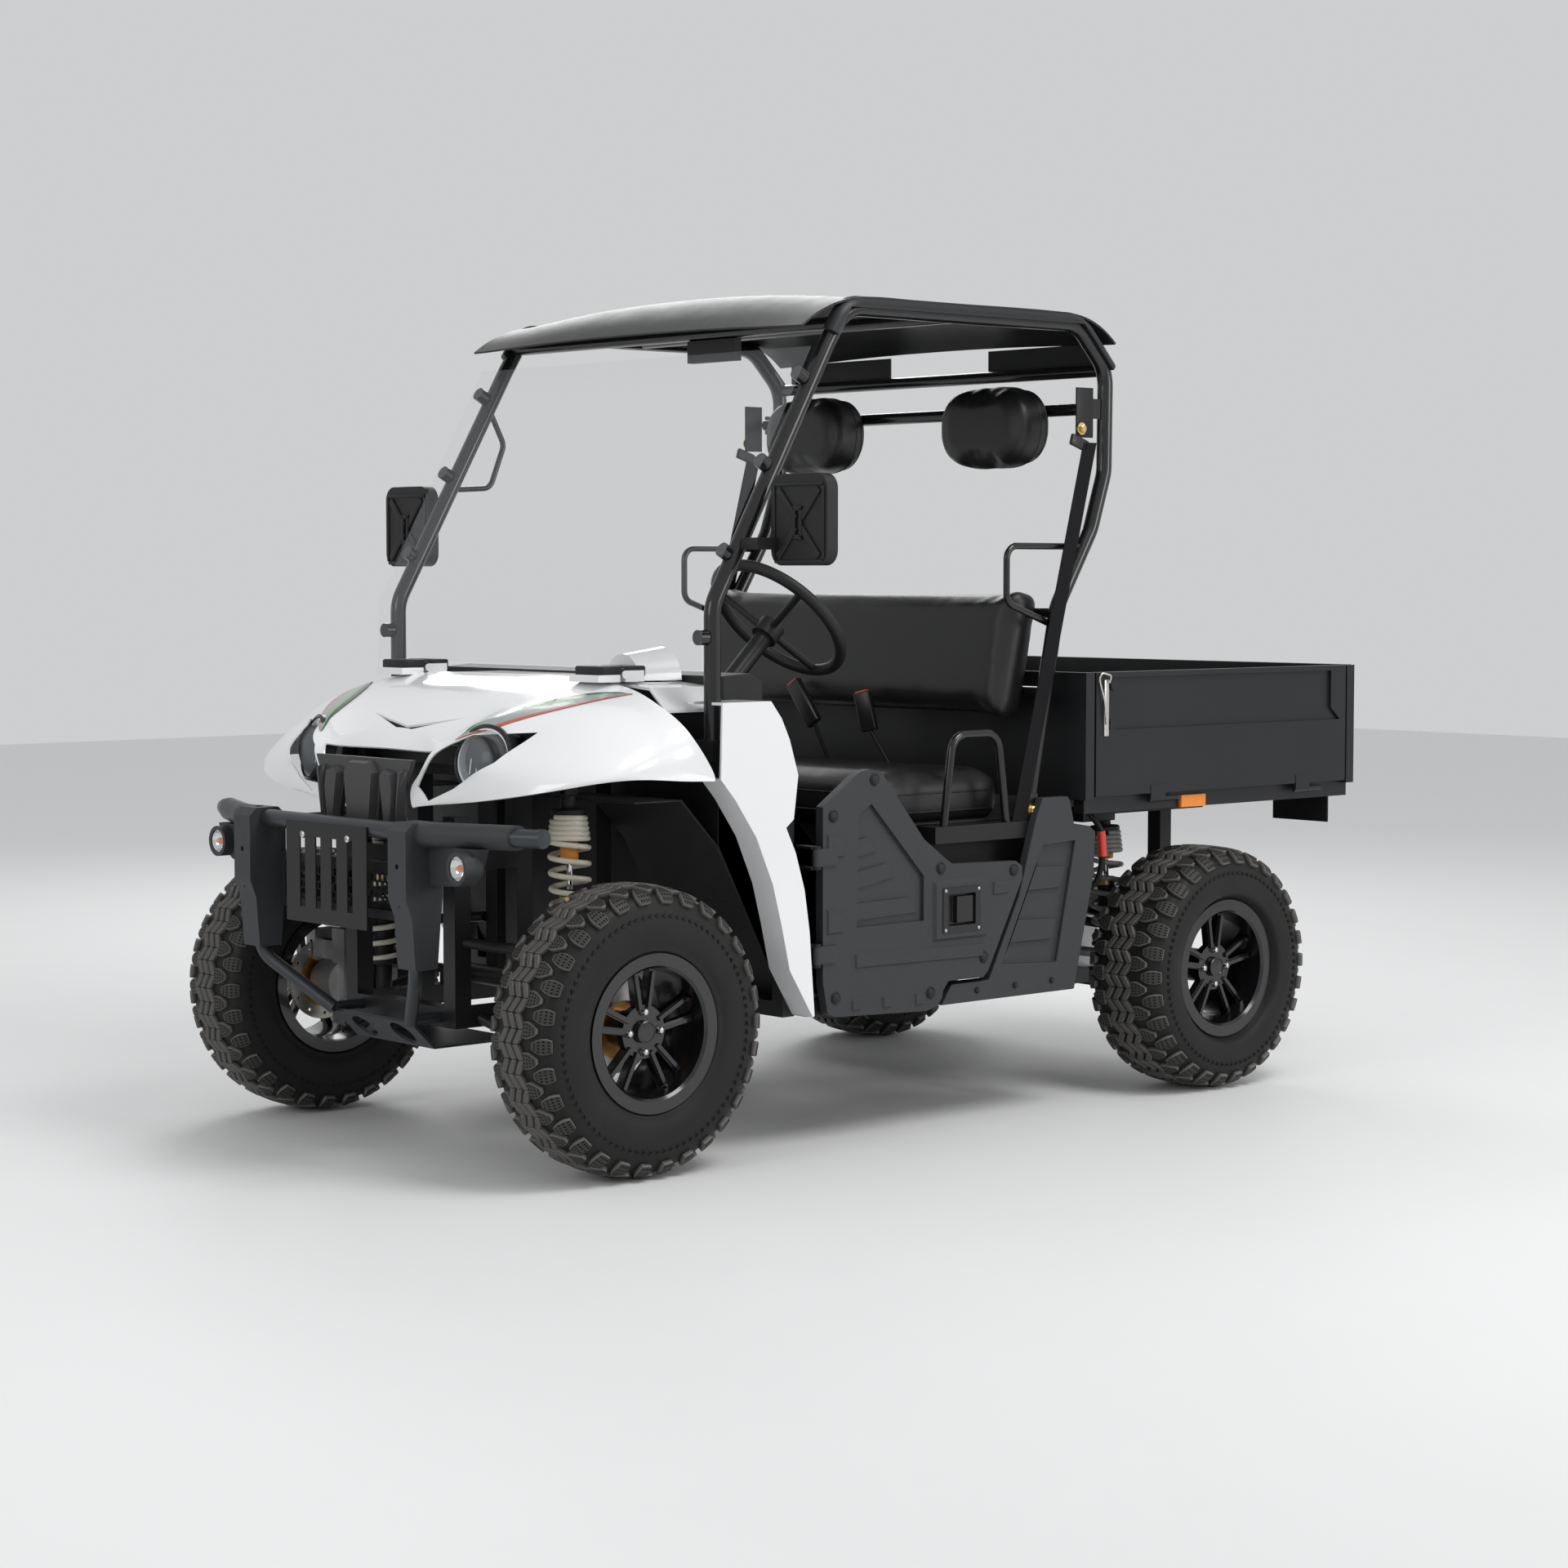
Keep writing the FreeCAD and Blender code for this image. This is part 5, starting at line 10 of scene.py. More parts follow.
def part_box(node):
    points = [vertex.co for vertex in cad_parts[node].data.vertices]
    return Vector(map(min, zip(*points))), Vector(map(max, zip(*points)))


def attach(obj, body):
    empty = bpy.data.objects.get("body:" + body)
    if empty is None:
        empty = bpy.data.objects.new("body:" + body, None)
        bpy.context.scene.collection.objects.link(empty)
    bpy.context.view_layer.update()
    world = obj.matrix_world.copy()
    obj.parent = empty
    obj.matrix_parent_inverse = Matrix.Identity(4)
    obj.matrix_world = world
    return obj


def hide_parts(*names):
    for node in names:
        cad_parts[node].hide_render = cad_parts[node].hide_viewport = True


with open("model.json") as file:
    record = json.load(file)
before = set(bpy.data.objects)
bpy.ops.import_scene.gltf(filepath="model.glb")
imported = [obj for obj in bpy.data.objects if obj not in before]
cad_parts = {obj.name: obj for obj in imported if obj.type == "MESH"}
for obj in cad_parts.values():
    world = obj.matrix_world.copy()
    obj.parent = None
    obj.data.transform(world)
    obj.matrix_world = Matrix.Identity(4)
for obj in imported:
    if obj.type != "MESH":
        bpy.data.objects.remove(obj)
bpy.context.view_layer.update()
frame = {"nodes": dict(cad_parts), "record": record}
print("frame loaded")


def addNode(tree, kind, inputs=(), **settings):
    node = tree.nodes.new(kind)
    for setting, value in settings.items():
        setattr(node, setting, value)
    for socket, value in dict(inputs).items():
        node.inputs[socket].default_value = value
    return node


def wired(tree, *wires):  # each wire is a node, its output, the next node and its input
    for source, out, target, into in wires:
        tree.links.new(source.outputs[out], target.inputs[into])


# Finishes: each has a broad tint, a spread of roughness and, on most, a fine grain in relief
def finish(name, colour, rough, metal=0.0, coat=0.0, tint=0.06, tintScale=4.0, grain=0.0,
           grainScale=900.0, roughSpread=0.06, roughScale=18.0, cells=False, alpha=1.0,
           wear=None, shine=0.5):
    made = bpy.data.materials.new(name)
    made.use_nodes = True
    tree = made.node_tree
    shader = tree.nodes["Principled BSDF"]
    for socket, value in (("Metallic", metal), ("Coat Weight", coat), ("Coat Roughness", 0.04),
                          ("Specular IOR Level", shine), ("Alpha", alpha)):
        shader.inputs[socket].default_value = value
    place = addNode(tree, "ShaderNodeTexCoord")
    broad = addNode(tree, "ShaderNodeTexNoise", {"Scale": tintScale, "Detail": 5.0})
    shade = addNode(tree, "ShaderNodeMix", {
        "A": [c * (1 - tint) for c in colour] + [1],
        "B": [min(1.0, c * (1 + tint)) for c in colour] + [1]}, data_type="RGBA")
    patch = addNode(tree, "ShaderNodeTexNoise", {"Scale": roughScale, "Detail": 4.0})
    spread = addNode(tree, "ShaderNodeMapRange", {"To Min": max(0.01, rough - roughSpread),
                                                  "To Max": min(1.0, rough + roughSpread)})
    wires = [(place, "Object", broad, "Vector"), (broad, "Fac", shade, "Factor"),
             (place, "Object", patch, "Vector"), (patch, "Fac", spread, "Value"),
             (spread, "Result", shader, "Roughness")]
    if wear:  # rubbed edges, from the "wear" attribute of the mesh
        worn = addNode(tree, "ShaderNodeAttribute", attribute_name="wear")
        rubbed = addNode(tree, "ShaderNodeMix", {"B": list(wear) + [1]}, data_type="RGBA")
        wires += [(worn, "Fac", rubbed, "Factor"), (shade, "Result", rubbed, "A")]
        shade = rubbed
    wires.append((shade, "Result", shader, "Base Color"))
    if grain:
        fine = addNode(tree, "ShaderNodeTexVoronoi" if cells else "ShaderNodeTexNoise",
                       {"Scale": grainScale})
        relief = addNode(tree, "ShaderNodeBump", {"Strength": 1.0, "Distance": grain})
        wires += [(place, "Object", fine, "Vector"),
                  (fine, "Distance" if cells else "Fac", relief, "Height"),
                  (relief, "Normal", shader, "Normal")]
    wired(tree, *wires)
    return made


bodyWhite = finish("bodyWhite", (0.80, 0.81, 0.82), 0.22, coat=0.6, tint=0.015, tintScale=2,
                   roughSpread=0.03, grain=0.00002, grainScale=60)
greyPlastic = finish("greyPlastic", (0.032, 0.0335, 0.036), 0.50, tint=0.22, tintScale=300,
                     grain=0.00030, grainScale=560, roughSpread=0.08, shine=0.34)
blackPlastic = finish("blackPlastic", (0.016, 0.016, 0.017), 0.5, tint=0.12, tintScale=40,
                      grain=0.00010, grainScale=700, shine=0.28)
maskBlack = finish("maskBlack", (0.014, 0.014, 0.015), 0.30, tint=0.1, tintScale=8,
                   grain=0.00005, grainScale=900, roughSpread=0.05, shine=0.4)
maskGrey = finish("maskGrey", (0.034, 0.034, 0.036), 0.36, tint=0.1, tintScale=8,
                  grain=0.00008, grainScale=700, roughSpread=0.05)
reflectorSilver = finish("reflectorSilver", (0.82, 0.84, 0.86), 0.24, metal=0.55, tint=0.04,
                         roughSpread=0.05)
roofBlack = finish("roofBlack", (0.015, 0.0155, 0.017), 0.40, tint=0.12, tintScale=12,
                   grain=0.00012, grainScale=650, shine=0.3)
frameBlack = finish("frameBlack", (0.012, 0.012, 0.013), 0.38, tint=0.15, tintScale=9,
                    grain=0.00005, grainScale=800, shine=0.3)
cageBlack = finish("cageBlack", (0.007, 0.007, 0.008), 0.24, coat=0.35, tint=0.1, tintScale=6,
                   roughSpread=0.05, grain=0.00004, grainScale=300, shine=0.42)
barSteel = finish("barSteel", (0.045, 0.050, 0.056), 0.34, metal=0.55, tint=0.1, tintScale=12,
                  grain=0.00006, grainScale=700)
bedBlack = finish("bedBlack", (0.013, 0.0135, 0.015), 0.36, tint=0.22, tintScale=5,
                  roughSpread=0.09, roughScale=7, grain=0.00008, grainScale=500, shine=0.34)
wheelBlack = finish("wheelBlack", (0.005, 0.005, 0.006), 0.22, coat=0.3, tint=0.1,
                    roughSpread=0.05)
discSteel = finish("discSteel", (0.42, 0.40, 0.37), 0.34, metal=1.0, tint=0.2, tintScale=70)
bronze = finish("bronze", (0.50, 0.24, 0.07), 0.36, metal=0.85, tint=0.2, tintScale=60)
castAlloy = finish("castAlloy", (0.46, 0.46, 0.46), 0.46, metal=1.0, tint=0.2, tintScale=30,
                   grain=0.0002, grainScale=420)
zinc = finish("zinc", (0.62, 0.61, 0.58), 0.30, metal=1.0, tint=0.15, tintScale=200)
yellowZinc = finish("yellowZinc", (0.60, 0.47, 0.22), 0.34, metal=1.0, tint=0.25, tintScale=160)
springCream = finish("springCream", (0.70, 0.66, 0.55), 0.3, coat=0.3, tint=0.08, tintScale=20)
springGrey = finish("springGrey", (0.24, 0.235, 0.22), 0.36, tint=0.15, tintScale=30)
bumpOrange = finish("bumpOrange", (0.72, 0.26, 0.04), 0.5, tint=0.15, tintScale=50)
leather = finish("leather", (0.010, 0.010, 0.011), 0.36, tint=0.15, tintScale=9, grain=0.0003,
                 grainScale=520, cells=True, roughSpread=0.08, roughScale=9)
webbing = finish("webbing", (0.010, 0.010, 0.011), 0.75, tint=0.3, tintScale=300, grain=0.0003,
                 shine=0.1)
bucklePlastic = finish("bucklePlastic", (0.012, 0.012, 0.013), 0.3, tint=0.1)
buttonRed = finish("buttonRed", (0.62, 0.035, 0.02), 0.32, coat=0.3, tint=0.1, tintScale=90)
amber = finish("amber", (0.80, 0.24, 0.02), 0.18, coat=0.6, tint=0.1, tintScale=60)
screenClear = finish("screenClear", (0.55, 0.58, 0.59), 0.05, tint=0.02, roughSpread=0.02,
                     alpha=0.06)
lampClear = finish("lampClear", (0.55, 0.60, 0.64), 0.04, coat=0.6, tint=0.05, tintScale=30,
                   roughSpread=0.02, alpha=0.10)
chrome = finish("chrome", (0.78, 0.79, 0.81), 0.10, metal=1.0, tint=0.04, roughSpread=0.04)
rubber = finish("rubber", (0.011, 0.0105, 0.010), 0.52, tint=0.25, tintScale=14, grain=0.0002,
                grainScale=380, roughSpread=0.12, roughScale=10, wear=(0.17, 0.165, 0.155),
                shine=0.25)
print("finishes made")

corners = {"fl": 1, "fr": -1, "rl": 1, "rr": -1}  # each wheel's side, +1 on the vehicle's left
frontAxle = 1016.0  # the front axle is this many millimetres ahead of the origin
mergeWithin = 0.00002


def spot(x, behind, z):  # millimetres, with the place along the vehicle behind the front axle
    return Vector((x, behind - frontAxle, z)) / 1000


def bodyOf(node):
    for body, members in frame["record"]["behaviour"]["bodies"].items():
        if node in members:
            return body


def placed(name, data, *materials):
    for material in materials:
        data.materials.append(material)
    made = bpy.data.objects.new(name, data)
    bpy.context.scene.collection.objects.link(made)
    return made


def meshObject(name, points, faces, *materials):
    mesh = bpy.data.meshes.new(name)
    mesh.from_pydata([tuple(p) for p in points], [], faces)
    mesh.validate()
    return placed(name, mesh, *materials)


def evaluated(piece):
    graph = bpy.context.evaluated_depsgraph_get()
    return bpy.data.meshes.new_from_object(piece.evaluated_get(graph))


def reworked(piece, work):
    shape = bmesh.new()
    shape.from_mesh(piece.data)
    work(shape)
    shape.to_mesh(piece.data)
    shape.free()
    return piece


def creased(shape, angle):  # smooth faces, and sharp edges where they meet at more than this
    for side in shape.faces:
        side.smooth = True
    for edge in shape.edges:
        edge.smooth = edge.calc_face_angle(0) < math.radians(angle)


def tidyMesh(piece, angle=35):
    def work(shape):
        bmesh.ops.remove_doubles(shape, verts=shape.verts, dist=mergeWithin)
        bmesh.ops.recalc_face_normals(shape, faces=shape.faces)
        creased(shape, angle)

    return reworked(piece, work)


def keep(piece, body, slotName, *replaced):
    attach(piece, body)
    if replaced:
        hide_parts(*replaced)
    return piece


def turned(name, profile, steps, material, ring=False):  # a lathe round Z; poles are one point
    points, rows = [], []
    for radius, height in profile:
        if radius < 1e-6:
            rows.append([len(points)] * steps)
            points.append((0, 0, height))
        else:
            rows.append(list(range(len(points), len(points) + steps)))
            for i in range(steps):
                angle = math.tau * i / steps
                points.append((radius * math.cos(angle), radius * math.sin(angle), height))
    faces = []
    pairs = list(zip(rows, rows[1:])) + ([(rows[-1], rows[0])] if ring else [])
    for low, high in pairs:
        for i in range(steps):
            side = []
            for index in (low[i], low[(i + 1) % steps], high[(i + 1) % steps], high[i]):
                if index not in side:
                    side.append(index)
            if len(side) > 2:
                faces.append(side)
    return tidyMesh(meshObject(name, points, faces, material))


def moved(piece, *steps):
    for step in steps:
        piece.data.transform(step)
    return piece


def flipped(piece):  # over to the other side of the vehicle
    piece.data.transform(Matrix.Scale(-1, 4, (1, 0, 0)))
    piece.data.flip_normals()
    return piece


def turn(degrees, axis):
    return Matrix.Rotation(math.radians(degrees), 4, axis)


alongX, alongY = turn(90, "Y"), turn(-90, "X")


def facing(direction):
    return Vector(direction).to_track_quat("Z", "Y").to_matrix().to_4x4()


def box(name, low, high, material, bevel=0.0):
    low, high = Vector(low), Vector(high)
    shape = bmesh.new()
    bmesh.ops.create_cube(shape, size=1.0)
    for point in shape.verts:
        point.co = Vector([a + (b - a) * (c + 0.5) for a, b, c in zip(low, high, point.co)])
    if bevel:
        bmesh.ops.bevel(shape, geom=list(shape.edges), offset=bevel, segments=3,
                        profile=0.5, affect="EDGES")
    mesh = bpy.data.meshes.new(name)
    shape.to_mesh(mesh)
    shape.free()
    return tidyMesh(placed(name, mesh, material), 40)


def slab(name, side, look, material, soft):  # a box between a look's x, behind and z
    ends = sorted(side * x for x in look["x"])
    low, high = (Vector((x, spot(0, behind, 0).y, z))
                 for x, behind, z in zip(ends, look["behind"], look["z"]))
    return box(name, low, high, material, soft)


def joinPieces(name, pieces):
    with bpy.context.temp_override(active_object=pieces[0], object=pieces[0],
                                   selected_objects=pieces, selected_editable_objects=pieces):
        bpy.ops.object.join()
    pieces[0].name = pieces[0].data.name = name
    return pieces[0]


def roundedPath(points, radius, steps=6):
    points = [Vector(p) for p in points]
    path = [points[0]]
    for before, corner, after in zip(points, points[1:], points[2:]):
        a, b = before - corner, after - corner
        reach = min(radius, a.length * 0.45, b.length * 0.45)
        first, last = corner + a.normalized() * reach, corner + b.normalized() * reach
        for i in range(steps + 1):
            t = i / steps
            path.append(first * (1 - t) ** 2 + corner * 2 * t * (1 - t) + last * t * t)
    return path + [points[-1]]


def wireMesh(name, route, radius, material, roundness, closed=False):
    curve = bpy.data.curves.new(name, "CURVE")
    curve.dimensions = "3D"
    curve.bevel_depth = radius
    curve.bevel_resolution = roundness
    curve.use_fill_caps = not closed
    line = curve.splines.new("POLY")
    line.points.add(len(route) - 1)
    line.use_cyclic_u = closed
    for point, place in zip(line.points, route):
        point.co = (*place, 1)
    holder = placed(name, curve)
    mesh = evaluated(holder)
    bpy.data.objects.remove(holder)
    mesh.materials.clear()
    return placed(name, mesh, material)


def tube(name, points, radius, material, bend, roundness=3):
    route = roundedPath(points, bend) if bend else [Vector(p) for p in points]
    return tidyMesh(wireMesh(name, route, radius, material, roundness), 50)


# Geometry Nodes: one tree turns a piece round the axle, one sets a piece on marked places
def newTree(title, sockets):
    tree = bpy.data.node_groups.new(title, "GeometryNodeTree")
    tree.interface.new_socket("Geometry", in_out="INPUT", socket_type="NodeSocketGeometry")
    for label, kind in sockets.items():
        tree.interface.new_socket(label, in_out="INPUT", socket_type="NodeSocket" + kind)
    tree.interface.new_socket("Geometry", in_out="OUTPUT", socket_type="NodeSocketGeometry")
    return tree, tree.nodes.new("NodeGroupInput"), tree.nodes.new("NodeGroupOutput")


def finishTree(tree, entry, exit, last, out):
    real = addNode(tree, "GeometryNodeRealizeInstances")
    paint = addNode(tree, "GeometryNodeSetMaterial")
    wired(tree, (last, out, real, "Geometry"), (real, "Geometry", paint, "Geometry"),
          (entry, "Finish", paint, "Material"), (paint, "Geometry", exit, "Geometry"))
    return tree


def ringTree():
    tree, entry, exit = newTree("turnRoundAxle", {"Piece": "Object", "Count": "Int",
                                                  "Start": "Float", "Finish": "Material"})
    points = addNode(tree, "GeometryNodePoints")
    index = addNode(tree, "GeometryNodeInputIndex")
    share = addNode(tree, "ShaderNodeMath", operation="DIVIDE")
    angle = addNode(tree, "ShaderNodeMath", {1: math.tau}, operation="MULTIPLY_ADD")
    spin = addNode(tree, "ShaderNodeCombineXYZ")
    source = addNode(tree, "GeometryNodeObjectInfo")
    copies = addNode(tree, "GeometryNodeInstanceOnPoints")
    wired(tree, (entry, "Count", points, "Count"), (index, "Index", share, 0),
          (entry, "Count", share, 1), (share, 0, angle, 0), (entry, "Start", angle, 2),
          (angle, 0, spin, "X"), (entry, "Piece", source, "Object"),
          (points, "Points", copies, "Points"), (source, "Geometry", copies, "Instance"),
          (spin, "Vector", copies, "Rotation"))
    return finishTree(tree, entry, exit, copies, "Instances")


def placesTree():
    tree, entry, exit = newTree("setOnPlaces", {"Piece": "Object", "Size": "Float",
                                                "Finish": "Material"})
    way = addNode(tree, "GeometryNodeInputNamedAttribute", {"Name": "way"},
                  data_type="FLOAT_VECTOR")
    aim = addNode(tree, "FunctionNodeAlignRotationToVector", axis="Z")
    source = addNode(tree, "GeometryNodeObjectInfo")
    copies = addNode(tree, "GeometryNodeInstanceOnPoints")
    wired(tree, (entry, "Geometry", copies, "Points"), (way, "Attribute", aim, "Vector"),
          (aim, "Rotation", copies, "Rotation"), (entry, "Piece", source, "Object"),
          (source, "Geometry", copies, "Instance"), (entry, "Size", copies, "Scale"))
    return finishTree(tree, entry, exit, copies, "Instances")


trees = {"ring": ringTree(), "places": placesTree()}


def grown(name, treeName, base, values):
    tree = trees[treeName]
    maker = base.modifiers.new("grow", "NODES")
    maker.node_group = tree
    for socket in tree.interface.items_tree:
        if socket.in_out == "INPUT" and socket.name in values:
            maker[socket.identifier] = values[socket.name]
    mesh = evaluated(base)
    base.modifiers.remove(maker)
    bpy.data.objects.remove(base)
    return placed(name, mesh)


def ringOf(name, piece, count, start, material):
    base = meshObject(name + "Base", [(0, 0, 0)], [])
    made = grown(name, "ring", base, {"Piece": piece, "Count": count, "Start": start,
                                      "Finish": material})
    bpy.data.objects.remove(piece)
    return made


def setOn(name, piece, places, material, size=1.0):
    base = meshObject(name + "Base", [place for place, way in places], [])
    marks = base.data.attributes.new("way", "FLOAT_VECTOR", "POINT")
    for i, (place, way) in enumerate(places):
        marks.data[i].vector = Vector(way).normalized()
    made = grown(name, "places", base, {"Piece": piece, "Size": size, "Finish": material})
    bpy.data.objects.remove(piece)
    return made


print("tools ready")

# Tyres: a smooth carcass, three zigzag columns and two rows of dimpled shoulder lugs
tyreLook = {
    "widths": {"f": (0.317, 0.205), "r": (0.305, 0.238)}, "lugCount": 30, "skin": 0.0115,
    "crown": [(0.0, 0.0), (0.40, 0.0015), (0.68, 0.0065), (0.85, 0.018), (0.94, 0.036),
              (0.975, 0.058)],
    "wall": [(0.985, 0.222), (0.97, 0.202), (0.93, 0.187)],
    "bead": [(0.0935, 0.1775), (0.0890, 0.1735)],
    "lugHeight": 0.0110, "chamfer": 0.0016, "pitDepth": 0.0028, "pitShare": 0.22,
    "footDepth": 0.002, "zigzagPitch": 0.0240, "zigzagHalf": 0.0060, "zigzagSwing": 0.0085,
    "zigzagGap": 0.0024, "lugWear": 0.16, "armWear": 0.42,
    "innerLug": [(0.040, 0.0155), (0.048, 0.0165), (0.056, 0.0145), (0.064, 0.0105),
                 (0.072, 0.005)],
    "outerLug": [(0.066, 0.006), (0.074, 0.0115), (0.083, 0.0150), (0.092, 0.0155),
                 (0.101, 0.0125)],
    "dashes": 84, "dashLean": 24, "dashRows": ((1, 0.062), (-1, 0.066)),
    "dashSize": (0.0022, 0.0052, 0.0005)}


def smoothLine(points, steps):  # a Catmull-Rom run through flat points
    ends = [points[0]] + list(points) + [points[-1]]
    line = []
    for a, b, c, d in zip(ends, ends[1:], ends[2:], ends[3:]):
        for i in range(steps):
            t = i / steps
            line.append(tuple(0.5 * (2 * q + (r - p) * t + (2 * p - 5 * q + 4 * r - s) * t * t
                                     + (3 * q - p - 3 * r + s) * t ** 3)
                              for p, q, r, s in zip(a, b, c, d)))
    return line + [tuple(points[-1])]


def carcassLine(radius, width):
    half, look = width / 2, tyreLook
    return smoothLine([(share * half, radius - look["skin"] - drop)
                       for share, drop in look["crown"]]
                      + [(share * half, at) for share, at in look["wall"]] + look["bead"], 5)


def onCarcass(line, along):  # a point and its outward direction, this far from the crown
    run = 0.0
    for a, b in zip(line, line[1:]):
        step = math.dist(a, b)
        if run + step >= along:
            t = (along - run) / step
            over, down = (b[0] - a[0]) / step, (b[1] - a[1]) / step
            return (a[0] + (b[0] - a[0]) * t, a[1] + (b[1] - a[1]) * t), (-down, over)
        run += step
    return line[-1], (1.0, 0.0)


# A lug's grid holds places round the tyre and across it, laid over the carcass
def treadBlock(name, line, side, grid, stretch, pits, topWear):
    look = tyreLook
    rows, columns = len(grid), len(grid[0])
    middle = [sum(place[k] for row in grid for place in row) / (rows * columns) for k in (0, 1)]
    points, wear, faces = [], [], []

    def add(u, v, height, rubbed):
        (across, radius), (outX, outR) = onCarcass(line, abs(v) * stretch)
        sign = -1 if v < 0 else 1
        radius += height * abs(outR)
        angle = u / line[0][1]
        x = side * sign * (across + height * abs(outX))
        points.append((x, radius * math.sin(angle), radius * math.cos(angle)))
        wear.append(rubbed)
        return len(points) - 1

    def outset(r, c, by):
        u, v = grid[r][c]
        away = (u - middle[0], v - middle[1])
        length = math.hypot(*away) or 1.0
        return u + away[0] / length * by, v + away[1] / length * by

    def walls(ringA, ringB):
        for i in range(len(ringA)):
            j = (i + 1) % len(ringA)
            faces.append((ringA[i], ringA[j], ringB[j], ringB[i]))

    top = [[add(u, v, look["lugHeight"], topWear) for u, v in row] for row in grid]
    rim = ([(0, c) for c in range(columns)] + [(r, columns - 1) for r in range(1, rows)]
           + [(rows - 1, c) for c in range(columns - 2, -1, -1)]
           + [(r, 0) for r in range(rows - 2, 0, -1)])
    edge = [add(*outset(r, c, look["chamfer"]), look["lugHeight"] - look["chamfer"] * 0.8, 1.0)
            for r, c in rim]
    foot = [add(*outset(r, c, look["chamfer"] * 1.7), -look["footDepth"], 0.0) for r, c in rim]
    walls([top[r][c] for r, c in rim], edge)
    walls(edge, foot)
    faces.append(tuple(foot))
    for r in range(rows - 1):
        for c in range(columns - 1):
            quad = [(r, c), (r, c + 1), (r + 1, c + 1), (r + 1, c)]
            ring = [top[a][b] for a, b in quad]
            if not pits:
                faces.append(tuple(ring))
                continue
            places = [grid[a][b] for a, b in quad]
            u0, v0 = (sum(place[k] for place in places) / 4 for k in (0, 1))
            upper, lower = ([add(u0 + (u - u0) * share, v0 + (v - v0) * share, height, rubbed)
                             for u, v in places]
                            for share, height, rubbed in (
                                (look["pitShare"] * 2, look["lugHeight"], topWear),
                                (look["pitShare"] * 1.6, look["lugHeight"] - look["pitDepth"],
                                 0.0)))
            walls(ring, upper)
            walls(upper, lower)
            faces.append(tuple(lower))
    made = meshObject(name, points, faces, rubber)
    marks = made.data.attributes.new("wear", "FLOAT", "POINT")
    for i, value in enumerate(wear):
        marks.data[i].value = value
    return reworked(made, lambda shape: bmesh.ops.recalc_face_normals(shape, faces=shape.faces))


def lugGrid(rows, across):
    return [[((2 * c / across - 1) * half, v) for c in range(across + 1)] for v, half in rows]


def armGrid(middle, first, last):  # one arm of a zigzag, as a slanted strip
    return [[(first[0] + (last[0] - first[0]) * c / 3,
              middle + first[1] + (last[1] - first[1]) * c / 3 + tyreLook["zigzagHalf"] * r)
             for c in range(4)] for r in (-1, 0, 1)]


def tyre(name, radius, width, side):
    look = tyreLook
    line = carcassLine(radius, width)
    profile = line + [(0.0887, 0.1735), (0.0887, 0.1535), (0.0755, 0.1535), (0.0760, 0.1760),
                      (width * 0.43, 0.205), (width * 0.435, radius - 0.09),
                      (width * 0.36, radius - 0.045), (width * 0.2, radius - 0.030),
                      (0.0, radius - 0.028)]
    loop = profile + [(-x, r) for x, r in profile[-2:0:-1]]
    shell = turned(name, [(r, x) for x, r in loop], 120, rubber, ring=True)
    moved(shell, alongX)
    shell.data.attributes.new("wear", "FLOAT", "POINT")
    stretch = width / look["widths"]["f"][1]
    count, gap, swing = look["lugCount"], look["zigzagGap"], look["zigzagSwing"]
    pitch, step = math.tau * line[0][1] / count, math.tau / count
    parts = [shell]
    for way in (1, -1):
        for rows, part, start in (("innerLug", "Inner", 0.0 if way > 0 else step / 2),
                                  ("outerLug", "Outer", step / 2 if way > 0 else 0.0)):
            block = treadBlock(name + "Lug", line, way, lugGrid(look[rows], 4), stretch, True,
                               look["lugWear"])
            parts.append(ringOf(name + part, block, count, start, rubber))
    for column in (-1, 0, 1):
        for first, last in (((-pitch / 2 + gap, -swing), (-gap, swing)),
                            ((gap, swing), (pitch / 2 - gap, -swing))):
            block = treadBlock(name + "Arm", line, 1,
                               armGrid(column * look["zigzagPitch"], first, last), stretch,
                               False, look["armWear"])
            parts.append(ringOf(name + "Zigzag", block, count, 0.0, rubber))
    face = width / 2 * 0.972
    long, tall, thin = look["dashSize"]
    for way in (1, -1):
        for lean, below in look["dashRows"]:
            dash = box(name + "Dash", (face, -tall, -thin), (face + long, tall, thin), rubber)
            moved(dash, turn(look["dashLean"] * lean, "X"),
                  Matrix.Translation((0, 0, radius - below)))
            if way < 0:
                flipped(dash)
            dash.data.attributes.new("wear", "FLOAT", "POINT")
            parts.append(ringOf(name + "Dashes", dash, look["dashes"], 0.0, rubber))
    return tidyMesh(joinPieces(name, parts), 28)


for corner, side in corners.items():
    low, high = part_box("tyre_" + corner)
    made = tyre("tyre" + corner.upper(), *tyreLook["widths"][corner[0]], side)
    moved(made, Matrix.Translation((low + high) / 2))
    keep(made, "wheel_" + corner, "tyre", "tyre_" + corner)
print("tyres made")

# Wheel fittings: lug nuts, valve stems, cap faces and the front discs' carriers
wheelBits = {
    "nutCircle": 0.043, "nutRadius": 0.0098, "nutFace": 0.049, "nutLength": 0.0162,
    "nutCount": 4, "valveFace": 0.030, "valveAt": 0.130, "valveTurn": -62, "capFace": 0.0630,
    "valve": [(0, 0), (0.0062, 0), (0.0055, 0.010), (0.0040, 0.013), (0.0038, 0.028),
              (0.0046, 0.029), (0.0046, 0.036), (0, 0.037)],
    "cap": [(0, 0.0), (0.0245, 0.0), (0.0245, 0.0016), (0.0215, 0.0026), (0.0205, 0.0012),
            (0.010, 0.0020), (0, 0.0024)],
    "carrier": [(0.040, -0.004), (0.068, -0.004), (0.068, 0.004), (0.040, 0.004)]}


